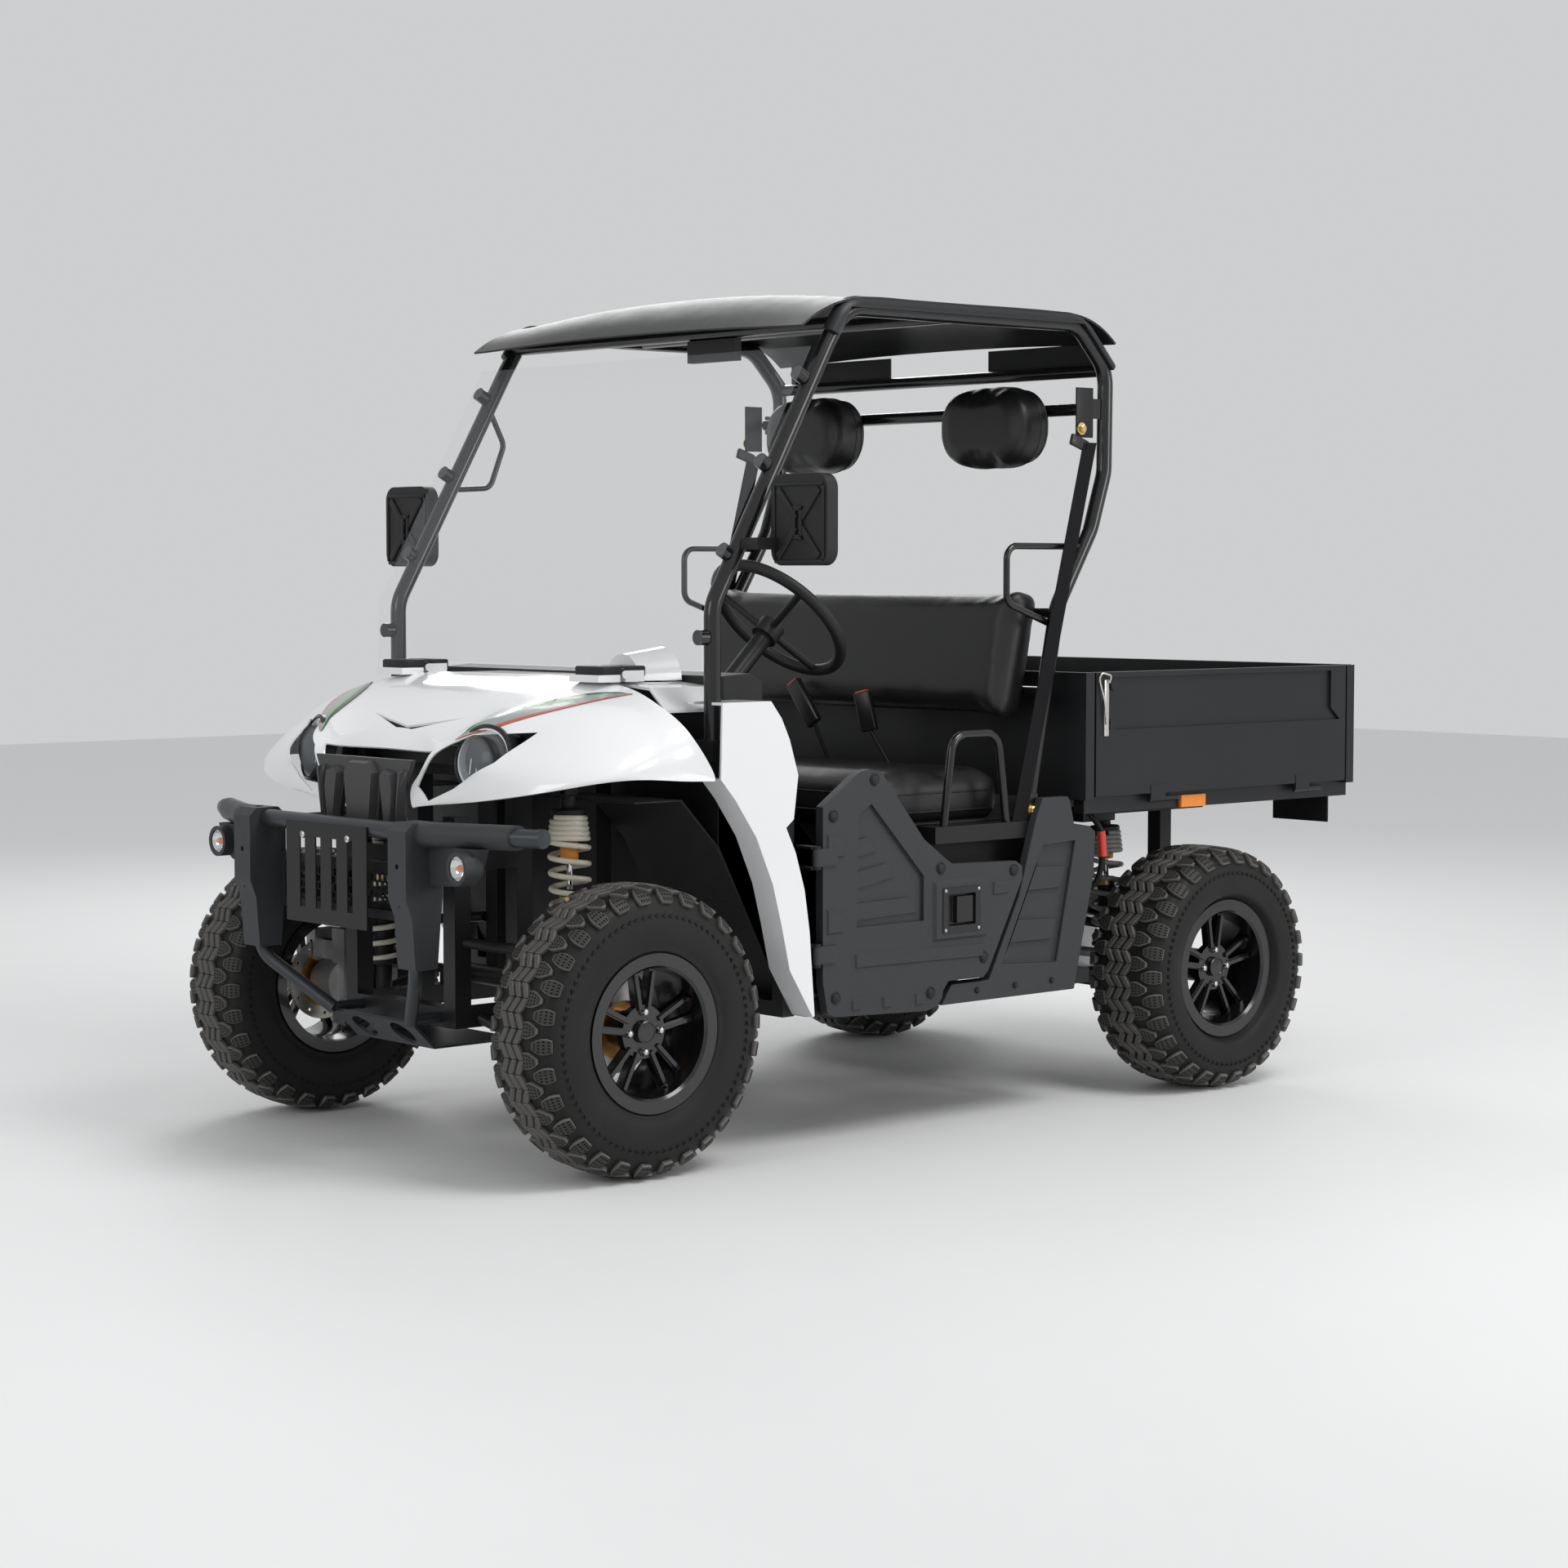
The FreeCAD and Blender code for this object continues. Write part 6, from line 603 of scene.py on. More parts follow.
def lugNut(name):
    r, length = wheelBits["nutRadius"], wheelBits["nutLength"]
    body = turned(name, [(0, 0), (r, 0), (r, length * 0.72), (r * 0.86, length * 0.84),
                         (r * 0.55, length * 0.97), (0, length)], 6, zinc)
    collar = turned(name + "Collar", [(0, -0.001), (r * 1.22, -0.001), (r * 1.22, 0.002),
                                      (r * 1.05, 0.0035), (0, 0.0035)], 20, zinc)
    return joinPieces(name, [moved(body, turn(30, "Z")), collar])


for corner, side in corners.items():
    low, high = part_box("tyre_" + corner)
    nut = moved(lugNut("nut"), alongX,
                Matrix.Translation((wheelBits["nutFace"], 0, wheelBits["nutCircle"])))
    nuts = ringOf("lugNuts" + corner.upper(), nut, wheelBits["nutCount"], 0.0, zinc)
    valve = turned("valveStem" + corner.upper(), wheelBits["valve"], 14, blackPlastic)
    moved(valve, alongX, Matrix.Translation((wheelBits["valveFace"], 0, wheelBits["valveAt"])),
          turn(wheelBits["valveTurn"], "X"))
    cap = turned("capFace" + corner.upper(), wheelBits["cap"], 40, wheelBlack)
    moved(cap, alongX, Matrix.Translation((wheelBits["capFace"], 0, 0)))
    for piece, slotName in ((nuts, "disc_steel"), (valve, "wheel_black"), (cap, "wheel_black")):
        if side < 0:
            flipped(piece)
        keep(moved(piece, Matrix.Translation((low + high) / 2)), "wheel_" + corner, slotName)
    if corner[0] == "f":
        low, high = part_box("brake_disc_" + corner)
        carrier = turned("discCarrier" + corner.upper(), wheelBits["carrier"], 48, bronze,
                         ring=True)
        keep(moved(carrier, alongX, Matrix.Translation((low + high) / 2)), "wheel_" + corner,
             "disc_steel")
print("wheel fittings made")

# Springs: a close wound top, an open run below, and the damper inside
springLook = {"wire": 0.0063, "sides": 12, "resolution": 36, "closePitch": 0.0112,
              "lowEye": 0.016, "eyeRadius": 0.0158, "eyeHalf": 0.017}


def coilTree():
    tree, entry, exit = newTree("coil", {"Turns": "Float", "Low radius": "Float",
                                         "Top radius": "Float", "Height": "Float",
                                         "Wire": "Float", "Finish": "Material"})
    spiral = addNode(tree, "GeometryNodeCurveSpiral", {"Resolution": springLook["resolution"]})
    ring = addNode(tree, "GeometryNodeCurvePrimitiveCircle", {"Resolution": springLook["sides"]})
    sweep = addNode(tree, "GeometryNodeCurveToMesh", {"Fill Caps": True})
    smooth = addNode(tree, "GeometryNodeSetShadeSmooth")
    wired(tree, (entry, "Turns", spiral, "Rotations"), (entry, "Height", spiral, "Height"),
          (entry, "Low radius", spiral, "Start Radius"),
          (entry, "Top radius", spiral, "End Radius"), (entry, "Wire", ring, "Radius"),
          (spiral, "Curve", sweep, "Curve"), (ring, "Curve", sweep, "Profile Curve"),
          (sweep, "Mesh", smooth, "Geometry"))
    return finishTree(tree, entry, exit, smooth, "Geometry")


trees["coil"] = coilTree()


def coil(name, low, top, turns, lowRadius, topRadius, material):
    run = Vector(top) - Vector(low)
    base = meshObject(name + "Base", [(0, 0, 0)], [])
    made = grown(name, "coil", base, {"Turns": float(turns), "Low radius": lowRadius,
                                      "Top radius": topRadius, "Height": run.length,
                                      "Wire": springLook["wire"], "Finish": material})
    return moved(made, facing(run), Matrix.Translation(low))


def damper(name, low, top, parts):  # (from, to, radius, finish) along the run from the low eye
    aim = facing(Vector(top) - Vector(low))
    return [moved(turned(name, [(0, start), (radius * 0.92, start), (radius, start + 0.002),
                                (radius, end - 0.002), (radius * 0.92, end), (0, end)],
                         28, material), aim, Matrix.Translation(low))
            for start, end, radius, material in parts]


def eye(name, at):
    radius, half = springLook["eyeRadius"], springLook["eyeHalf"]
    piece = turned(name, [(radius * 0.45, -half), (radius, -half), (radius, half),
                          (radius * 0.45, half)], 28, blackPlastic, ring=True)
    return moved(piece, alongY, Matrix.Translation(at))


struts = {
    "front": {"low": spot(366, 35, 0), "top": spot(350, 35, 816), "node": "front_shocks",
              "spring": springCream, "slot": "spring_cream", "radius": 0.043, "tip": 0.036,
              "closeTurns": 5, "openTurns": 9.0, "springTop": 0.056, "foot": 0.105},
    "rear": {"low": spot(408, 1738, 300), "top": spot(398, 1722, 684), "node": "rear_shocks",
             "spring": springGrey, "slot": "spring_grey", "radius": 0.040, "tip": 0.036,
             "closeTurns": 5, "openTurns": 5.5, "springTop": 0.046, "foot": 0.06}}
struts["front"]["low"].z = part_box("front_shocks")[0].z + springLook["lowEye"]
for end, strut in struts.items():
    low, top, radius, tip, foot = (strut[key] for key in ("low", "top", "radius", "tip", "foot"))
    run = (top - low).normalized()
    length = (top - low).length
    crown = top - run * strut["springTop"]
    joint = crown - run * (springLook["closePitch"] * strut["closeTurns"])
    springs = [coil(end + "Open", low + run * foot, joint, strut["openTurns"], radius - 0.003,
                    radius, strut["spring"]),
               coil(end + "Close", joint, crown, strut["closeTurns"], radius, tip,
                    strut["spring"])]
    reach = length - strut["springTop"]
    body = damper(end + "Body", low, top, [
        (0.012, foot - 0.004, 0.019, blackPlastic),  # the foot over the low eye
        (foot - 0.012, foot - 0.002, radius + 0.004, blackPlastic),  # the low spring seat
        (foot - 0.004, reach * 0.66, 0.0235, blackPlastic),  # the damper's body
        (reach * 0.60, reach * 0.60 + 0.018, 0.0250, yellowZinc),  # its collar
        (reach * 0.66, reach * 0.84, 0.0068, chrome),  # its rod
        (reach * 0.80, reach * 0.90, 0.0200, bumpOrange),  # the bump stop
        (reach + 0.003, reach + 0.016, tip + 0.003, blackPlastic),  # the top spring seat
        (reach + 0.014, length - 0.010, 0.017, blackPlastic)])  # the neck under the top eye
    body += [eye(end + "LowEye", low), eye(end + "TopEye", top)]
    spring = joinPieces(end + "SpringLeft", springs)
    core = tidyMesh(joinPieces(end + "DamperLeft", body), 40)
    for piece, slotName in ((spring, strut["slot"]), (core, "frame_black")):
        other = flipped(placed(piece.name.replace("Left", "Right"), piece.data.copy()))
        keep(piece, "chassis", slotName, strut["node"])
        keep(other, "chassis", slotName, strut["node"])
bracketLook = {"x": (0.325, 0.420), "behind": (1622, 1742), "z": (0.668, 0.700)}
brackets = [slab("bracket", side, bracketLook, frameBlack, 0.002) for side in (1, -1)]
keep(joinPieces("rearSpringBrackets", brackets), "chassis", "frame_black")
print("springs made")

# CAD pieces that only need clean edges and a finish
flatWithin = math.radians(0.15)
softEdge = {"angle": 32, "segments": 2}


def mergedCopy(node, name):
    mesh = frame["nodes"][node].data.copy()
    mesh.materials.clear()
    mesh.name = name

    def work(shape):
        bmesh.ops.remove_doubles(shape, verts=shape.verts, dist=mergeWithin)
        bmesh.ops.dissolve_limit(shape, angle_limit=flatWithin, verts=shape.verts,
                                 edges=shape.edges)

    return reworked(placed(name, mesh), work)


def dress(node, name, material, slotName, bevel):
    made = mergedCopy(node, name)
    reworked(made, lambda shape: creased(shape, softEdge["angle"]))
    made.data.materials.append(material)
    if bevel:
        soft = made.modifiers.new("edges", "BEVEL")
        soft.width = bevel
        soft.segments = softEdge["segments"]
        soft.limit_method = "ANGLE"
        soft.angle_limit = math.radians(softEdge["angle"])
        soft.harden_normals = True
    keep(made, bodyOf(node), slotName, node)


# Under each finish: the node, its piece's name and the width of its softened edges
dressed = [
    (frameBlack, "frame_black", [
        ("frame", "mainFrame", 0.0015), ("front_arms", "frontArms", 0),
        ("rear_arms", "rearArms", 0.001), ("door_brackets", "doorBrackets", 0.0005),
        ("tie_rods", "tieRods", 0), ("slot_plate", "slotPlate", 0.0008),
        ("steering_column", "steeringColumn", 0.001)]),
    (barSteel, "frame_black", [("bumper_bar", "bumperBar", 0.0012)]),
    (cageBlack, "cage_black", [
        ("roll_cage", "rollCage", 0), ("grab_handles", "grabHandles", 0),
        ("screen_clamps", "screenClamps", 0.0008)]),
    (bodyWhite, "body_white", [
        ("hood", "hoodClip", 0.001), ("cowl", "cowlPanel", 0.0015),
        ("fender_left", "fenderLeft", 0.002), ("fender_right", "fenderRight", 0.002)]),
    (maskGrey, "mask_black", [("front_mask", "frontMask", 0.002)]),
    (blackPlastic, "black_plastic", [
        ("lower_grille", "lowerGrille", 0.001), ("dash", "dashShell", 0.004),
        ("floor_pan", "floorPan", 0.002), ("arch_liners", "archLiners", 0.001),
        ("mirrors", "mirrorHousings", 0.003), ("steering_wheel", "steeringWheel", 0),
        ("seat_box", "seatBox", 0.004)]),
    (greyPlastic, "grey_plastic", [
        ("side_panels", "sidePanels", 0.003), ("door_left", "doorLeft", 0.003),
        ("door_right", "doorRight", 0.003), ("bumper_covers", "bumperCovers", 0.006)]),
    (maskBlack, "latch_black", [
        ("door_latch_left", "latchLeft", 0.0015), ("door_latch_right", "latchRight", 0.0015)]),
    (roofBlack, "roof_black", [("roof", "roofPanel", 0.001)]),
    (blackPlastic, "lamp_clear", [("headlights", "headlightUnits", 0.001)]),
    (amber, "amber", [("reflectors", "sideReflectors", 0.002)]),
    (screenClear, "screen_clear", [("windshield", "screen", 0)]),
    (webbing, "webbing", [("belts", "beltStraps", 0)]),
    (bedBlack, "bed_black", [
        ("bed", "bedTray", 0.002), ("side_board_left", "boardLeft", 0.002),
        ("side_board_right", "boardRight", 0.002), ("tailgate", "tailBoard", 0.002)]),
    (castAlloy, "cast_alloy", [
        ("drive_unit", "driveUnit", 0.003), ("knuckle_left", "knuckleLeft", 0.002),
        ("knuckle_right", "knuckleRight", 0.002)]),
    (discSteel, "disc_steel", [
        ("brake_disc_fl", "discLeft", 0.0005), ("brake_disc_fr", "discRight", 0.0005)]),
    (wheelBlack, "wheel_black", [("rim_" + corner, "rim" + corner.upper(), 0.0012)
                                 for corner in corners])]
for material, slotName, members in dressed:
    for node, name, bevel in members:
        dress(node, name, material, slotName, bevel)
print("CAD pieces dressed")

# Seats and headrests: each CAD form is remeshed and blown up as cloth; the seat base and
# headrests are given their piped seams
padLook = {
    "seat_base": {"name": "seatBasePad", "voxel": 0.0085, "shrink": 0.002, "reach": 0.020,
                  "seam": [((0, 0, 0.778), (0, 0, 1)), ((0, 0, 0.734), (0, 0, 1))]},
    "seat_back": {"name": "seatBackPad", "voxel": 0.0085, "shrink": 0.001, "reach": 0.016,
                  "seam": []},
    "headrests": {"name": "headrestPads", "voxel": 0.0055, "shrink": 0.0, "reach": 0.008,
                  "seam": [((0, 0.386, 1.65), (0, 1, 0)), ((0, 0.407, 1.65), (0, 1, 0))]}}
blowLook = {"pressure": 4.0, "quality": 4, "steps": 20, "fill": 0.8, "smoothing": 16}
pipingLook = {"radius": 0.0024, "spread": 4, "every": 3, "shortest": 30}


def applied(piece):
    mesh = evaluated(piece)
    piece.modifiers.clear()
    piece.data = mesh


def seamRings(piece, point, normal):  # the loops where a plane cuts the pad
    shape = bmesh.new()
    shape.from_mesh(piece.data)
    cut = bmesh.ops.bisect_plane(shape, geom=shape.verts[:] + shape.edges[:] + shape.faces[:],
                                 plane_co=point, plane_no=normal)
    links = {}
    for item in cut["geom_cut"]:
        if isinstance(item, bmesh.types.BMEdge):
            a, b = item.verts
            links.setdefault(a, []).append(b)
            links.setdefault(b, []).append(a)
    rings, used = [], set()
    for start in links:
        if start in used:
            continue
        ring, here, before = [], start, None
        while here is not None and here not in used:
            used.add(here)
            ring.append(here.co.copy())
            ahead = [v for v in links[here] if v is not before and v not in used]
            before, here = here, (ahead[0] if ahead else None)
        if len(ring) > pipingLook["shortest"]:
            rings.append(ring)
    shape.free()
    return rings


def pipingRound(ring):
    count, spread = len(ring), pipingLook["spread"]
    route = [sum((ring[(i + k) % count] for k in range(-spread, spread + 1)), Vector())
             / (2 * spread + 1) for i in range(0, count, pipingLook["every"])]
    return tidyMesh(wireMesh("pipe", route, pipingLook["radius"], leather, 2, closed=True), 60)


def blownUp(piece):
    cloth = piece.modifiers.new("cloth", "CLOTH")
    cloth.settings.use_pressure = True
    cloth.settings.uniform_pressure_force = blowLook["pressure"]
    cloth.settings.effector_weights.gravity = 0
    cloth.settings.quality = blowLook["quality"]
    for step in range(1, blowLook["steps"] + 1):
        bpy.context.scene.frame_set(step)
    applied(piece)
    bpy.context.scene.frame_set(1)


def pad(node, look):
    piece = mergedCopy(node, look["name"])
    grid = piece.modifiers.new("grid", "REMESH")
    grid.mode = "VOXEL"
    grid.voxel_size = look["voxel"]
    applied(piece)
    piece.data.materials.clear()
    for point in piece.data.vertices:
        point.co -= point.normal * look["shrink"]
    rest = [v.co.copy() for v in piece.data.vertices]
    blownUp(piece)
    moves = [v.co - r for v, r in zip(piece.data.vertices, rest)]
    drift = sum(moves, Vector()) / len(moves)
    for point, before, move in zip(piece.data.vertices, rest, moves):
        move = move - drift
        if move.length > look["reach"]:
            move *= look["reach"] / move.length
        point.co = before + move
    soft = piece.modifiers.new("soft", "SMOOTH")
    soft.factor = 0.5
    soft.iterations = blowLook["smoothing"]
    applied(piece)
    for side in piece.data.polygons:
        side.use_smooth = True
    piece.data.materials.append(leather)
    pipes = [pipingRound(ring) for at, normal in look["seam"]
             for ring in seamRings(piece, at, normal)]
    fine = piece.modifiers.new("fine", "SUBSURF")
    fine.levels = fine.render_levels = 1
    keep(piece, "chassis", "seat_leather", node)
    if pipes:
        keep(joinPieces(look["name"] + "Piping", pipes), "chassis", "seat_leather")


for node, look in padLook.items():
    pad(node, look)
print("seats padded")


def boltHead(name, radius, height, material):
    head = turned(name, [(0, -0.001), (radius * 1.5, -0.001), (radius * 1.5, height * 0.2),
                         (0, height * 0.2)], 24, material)
    nut = turned(name + "Top", [(0, height * 0.1), (radius, height * 0.1),
                                (radius, height * 0.85), (radius * 0.8, height), (0, height)],
                 6, material)
    return joinPieces(name, [head, nut])


def buttonHead(name, radius, height, material):
    return turned(name, [(0, -0.001), (radius, -0.001), (radius, height * 0.25),
                         (radius * 0.9, height * 0.65), (radius * 0.6, height * 0.95),
                         (radius * 0.36, height), (radius * 0.34, height * 0.55),
                         (0, height * 0.55)], 20, material)


def pushPin(name, radius, material):
    return turned(name, [(0, -0.002), (radius, -0.002), (radius, 0.0016),
                         (radius * 0.90, 0.0034), (radius * 0.80, 0.0026),
                         (radius * 0.72, 0.0044), (radius * 0.40, 0.0060), (0, 0.0064)],
                  28, material)


# Belt fittings: a slotted guide on a plate up high, an anchor low down, and their bolts
beltLook = {
    "guide": (600, 1399, 1639), "low": (612, 1232, 736), "boltRadius": 0.010,
    "boltHeight": 0.010, "guideLean": -18,
    "plate": {"x": (0.604, 0.609), "behind": (1388, 1446), "z": (1.622, 1.742)}}
beltBits, beltBolts, beltPlates = [], [], []
for side in (1, -1):
    x, behind, z = beltLook["guide"]
    top = spot(side * x, behind, z)
    guide = box("guide", (-0.005, -0.030, -0.014), (0.005, 0.030, 0.014), bucklePlastic, 0.004)
    beltBits.append(moved(guide, turn(beltLook["guideLean"], "X"),
                          Matrix.Translation(top + Vector((0.012 * side, -0.006, -0.030)))))
    x, behind, z = beltLook["low"]
    foot = spot(side * x, behind, z)
    anchor = box("foot", (-0.004, -0.022, -0.030), (0.004, 0.022, 0.034), bucklePlastic, 0.003)
    beltBits.append(moved(anchor, Matrix.Translation(foot)))
    beltBolts += [(top + Vector((0.012 * side, 0.002, 0.004)), (side, 0, 0)),
                  (foot + Vector((0.004 * side, 0, -0.006)), (side, 0, 0))]
    beltPlates.append(slab("plate", side, beltLook["plate"], frameBlack, 0.001))
keep(joinPieces("beltFittings", beltBits), "chassis", "buckle_black")
keep(joinPieces("beltPlates", beltPlates), "chassis", "frame_black")
bolt = boltHead("beltBolt", beltLook["boltRadius"], beltLook["boltHeight"], yellowZinc)
keep(setOn("beltBolts", bolt, beltBolts, yellowZinc), "chassis", "buckle_black")

# Buckles: a stalk from the seat to a body with a red button; places are foot, neck and crown
buckleLook = {
    "places": [((-60, 1190, 823), (-76, 1156, 918), (-146, 1148, 1019)),
               ((174, 1190, 811), (130, 1156, 908), (109, 1148, 1001))],
    "stalk": 0.0050, "bend": 0.03, "body": (0.021, 0.010), "bodyLow": -0.004}
buckleBits, buttons = [], []
for places in buckleLook["places"]:
    foot, neck, crown = (spot(*place) for place in places)
    buckleBits.append(tube("stalk", [foot - Vector((0, -0.012, 0.06)), foot, neck],
                           buckleLook["stalk"], bucklePlastic, buckleLook["bend"]))
    run = crown - neck
    wide, deep = buckleLook["body"]
    body = box("buckle", (-wide, -deep, buckleLook["bodyLow"]), (wide, deep, run.length),
               bucklePlastic, 0.004)
    button = box("button", (-0.0165, -0.0075, run.length - 0.013),
                 (0.0165, 0.0125, run.length + 0.003), buttonRed, 0.0025)
    for piece in (body, button):
        moved(piece, facing(run) @ turn(90, "Z"), Matrix.Translation(neck))
    buckleBits.append(body)
    buttons.append(button)
keep(joinPieces("buckleBodies", buckleBits), "chassis", "buckle_black", "buckles")
keep(joinPieces("buckleButtons", buttons), "chassis", "buckle_black", "buckles")
print("belt fittings made")

# Headlights: a gloss black bowl with a bright reflector under a clear dome
lampLook = {
    "at": (328, -176, 892), "radius": 0.054, "size": 1.28, "yaw": 16, "tilt": 12,
    "bowl": [(0.006, 0.040), (0.018, 0.036), (0.030, 0.029), (0.040, 0.019), (0.047, 0.006),
             (0.051, -0.004), (0.054, -0.004), (0.054, 0.012), (0.045, 0.030), (0.034, 0.040),
             (0.010, 0.046)],
    "bulb": [(0, -0.004), (0.006, -0.001), (0.010, 0.006), (0.011, 0.020), (0.010, 0.044),
             (0, 0.044)],
    "shroud": [(0.055, -0.008), (0.061, -0.004), (0.062, 0.020), (0.055, 0.020)],
    "dome": [(0, -0.024), (0.018, -0.0225), (0.034, -0.017), (0.046, -0.009), (0.053, 0.000),
             (0.053, 0.002), (0.044, -0.0065), (0.032, -0.0142), (0.017, -0.0195), (0, -0.021)],
    "facet": (0.0012, 0.026, 0.0015), "facetPitch": 0.014, "facetSlope": 0.0006}
lampBits, lampClears, lampDark = [], [], []
for side in (1, -1):
    x, behind, z = lampLook["at"]
    aim = turn(side * lampLook["yaw"], "Z") @ turn(-lampLook["tilt"], "X")
    bowl = turned("bowl", lampLook["bowl"], 48, reflectorSilver, ring=True)
    bulb = turned("bulb", lampLook["bulb"], 24, chrome)
    shroud = turned("shroud", lampLook["shroud"], 56, maskBlack, ring=True)
    dome = turned("dome", lampLook["dome"], 48, lampClear)
    half, tall, thick = lampLook["facet"]
    facets = [moved(box("facet", (-half, -tall, 0.0), (half, tall, thick), chrome),
                    Matrix.Translation((i * lampLook["facetPitch"], 0,
                                        -thick + abs(i) * lampLook["facetSlope"])))
              for i in range(-2, 3)]
    for piece in [bowl, bulb, shroud, dome] + facets:
        moved(piece, Matrix.Scale(lampLook["size"], 4), aim @ alongY,
              Matrix.Translation(spot(side * x, behind, z)))
        tidyMesh(piece)
    lampBits += [bowl, bulb] + facets
    lampClears.append(dome)
    lampDark.append(shroud)
keep(joinPieces("headlightReflectors", lampBits), "hood", "lamp_clear")
keep(joinPieces("headlightLenses", lampClears), "hood", "lamp_clear")
keep(joinPieces("headlightShrouds", lampDark), "hood", "mask_black")

# Bumper lamps: an orange bulb in a bright cup under a clear lens
signalLook = {
    "inset": 0.026,
    "cup": [(0.004, 0.013), (0.014, 0.011), (0.022, 0.004), (0.0245, -0.001), (0.0262, -0.001),
            (0.0262, 0.0148), (0.004, 0.0148)],
    "bulb": [(0, -0.004), (0.005, -0.002), (0.0078, 0.003), (0.0078, 0.013), (0, 0.013)],
    "lens": [(0, -0.0062), (0.010, -0.0055), (0.019, -0.0032), (0.0255, 0.0002),
             (0.0255, 0.0020), (0.019, -0.0012), (0.010, -0.0035), (0, -0.0042)]}
low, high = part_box("indicators")
for name, slotName, part, steps, material, ring in (
        ("bumperLampCups", "lamp_clear", "cup", 36, chrome, True),
        ("bumperLampLenses", "lamp_clear", "lens", 36, lampClear, False),
        ("bumperLampBulbs", "amber", "bulb", 20, amber, False)):
    pair = []
    for side in (1, -1):
        place = Vector((side * (high.x - signalLook["inset"]), low.y, (low.z + high.z) / 2))
        piece = turned(part, signalLook[part], steps, material, ring)
        pair.append(tidyMesh(moved(piece, alongY, Matrix.Translation(place))))
    keep(joinPieces(name, pair), "chassis", slotName, "indicators")

# Hood hinge blocks, with the barrel on the rear ones
hingeLook = {"x": 0.372, "half": 0.050, "low": 1.066, "high": 1.091, "soft": 0.005,
             "barrelAt": (140, 1076), "barrelRadius": 0.0108, "barrelHalf": 0.049}
for name, body, ends in (("hingeFronts", "hood", (76, 133)),
                         ("hingeRears", "chassis", (147, 200))):
    blocks = []
    for side in (1, -1):
        x = side * hingeLook["x"]
        first, last = (spot(0, behind, 0).y for behind in ends)
        blocks.append(box("block", (x - hingeLook["half"], first, hingeLook["low"]),
                          (x + hingeLook["half"], last, hingeLook["high"]), blackPlastic,
                          hingeLook["soft"]))
        if body == "chassis":
            radius, half = hingeLook["barrelRadius"], hingeLook["barrelHalf"]
            barrel = turned("barrel", [(0, -half), (radius, -half), (radius, half), (0, half)],
                            24, blackPlastic)
            blocks.append(moved(barrel, alongX, Matrix.Translation(
                spot(x * 1000, *hingeLook["barrelAt"]))))
    keep(joinPieces(name, blocks), body, "black_plastic")


def treeOf(node):
    shape = bmesh.new()
    shape.from_mesh(frame["nodes"][node].data)
    found = BVHTree.FromBMesh(shape)
    shape.free()
    return found


# Stripes: thin films, whose rows of points are dropped on the hood from above
def film(name, tree, rows, material, thick):
    down = Vector((0, 0, -1))
    points, faces = [], []
    for row in rows:
        for start in row:
            place = tree.ray_cast(start, down)[0]
            if place is None:
                return None
            points.append(place - down * thick)
    across = len(rows[0])
    for r in range(len(rows) - 1):
        for c in range(across - 1):
            k = r * across + c
            faces.append((k, k + 1, k + across + 1, k + across))
    made = meshObject(name, points, faces, material)
    wall = made.modifiers.new("wall", "SOLIDIFY")
    wall.thickness = thick
    wall.offset = 1.0
    applied(made)
    made.data.materials.clear()
    made.data.materials.append(material)
    return tidyMesh(made, 40)


stripeLook = {
    "start": (262, -205), "end": (497, 100), "steps": 46, "from": 1300, "thick": 0.0012,
    "lean": (0.8, -0.6), "inset": 0.025, "bow": 0.9, "bands": [
        ((-0.014, 0.002), (0.018, 0.019, 0.021)), ((0.002, 0.012), (0.10, 0.42, 0.12)),
        ((0.012, 0.048), (0.30, 0.31, 0.32)), ((0.048, 0.056), (0.50, 0.10, 0.05)),
        ((0.056, 0.064), (0.018, 0.019, 0.021))]}


def stripeRows(band, side):  # three points across the band at each step along it
    start, end = stripeLook["start"], stripeLook["end"]
    away = Vector(stripeLook["lean"]) * 1000
    rows = []
    for i in range(stripeLook["steps"] + 1):
        t = i / stripeLook["steps"]
        swell = math.sin(math.pi * min(1, t * 1.02)) ** 0.8 + 0.04
        middle = Vector((start[0] + (end[0] - start[0]) * t ** stripeLook["bow"],
                         start[1] + (end[1] - start[1]) * t))
        row = []
        for k in range(3):
            offset = (band[0] + (band[1] - band[0]) * k / 2 - stripeLook["inset"]) * swell
            row.append(spot(side * (middle.x + away.x * offset), middle.y + away.y * offset,
                            stripeLook["from"]))
        rows.append(row[::side])
    return rows


hoodTree = treeOf("hood")
stripes = []
for number, (band, colour) in enumerate(stripeLook["bands"]):
    paint = finish("stripePaint" + str(number), colour, 0.28, coat=0.4, tint=0.08, tintScale=60)
    for side in (1, -1):
        made = film("stripe", hoodTree, stripeRows(band, side), paint, stripeLook["thick"])
        if made:
            stripes.append(made)
keep(joinPieces("hoodStripes", stripes), "hood", "body_white")

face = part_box("slot_plate")[0].y
screws = [(Vector((side * 0.088, face, 0.716)), (0, -1, 0)) for side in (1, -1)]
keep(setOn("plateScrews", buttonHead("screw", 0.0085, 0.006, zinc), screws, zinc), "chassis",
     "frame_black")

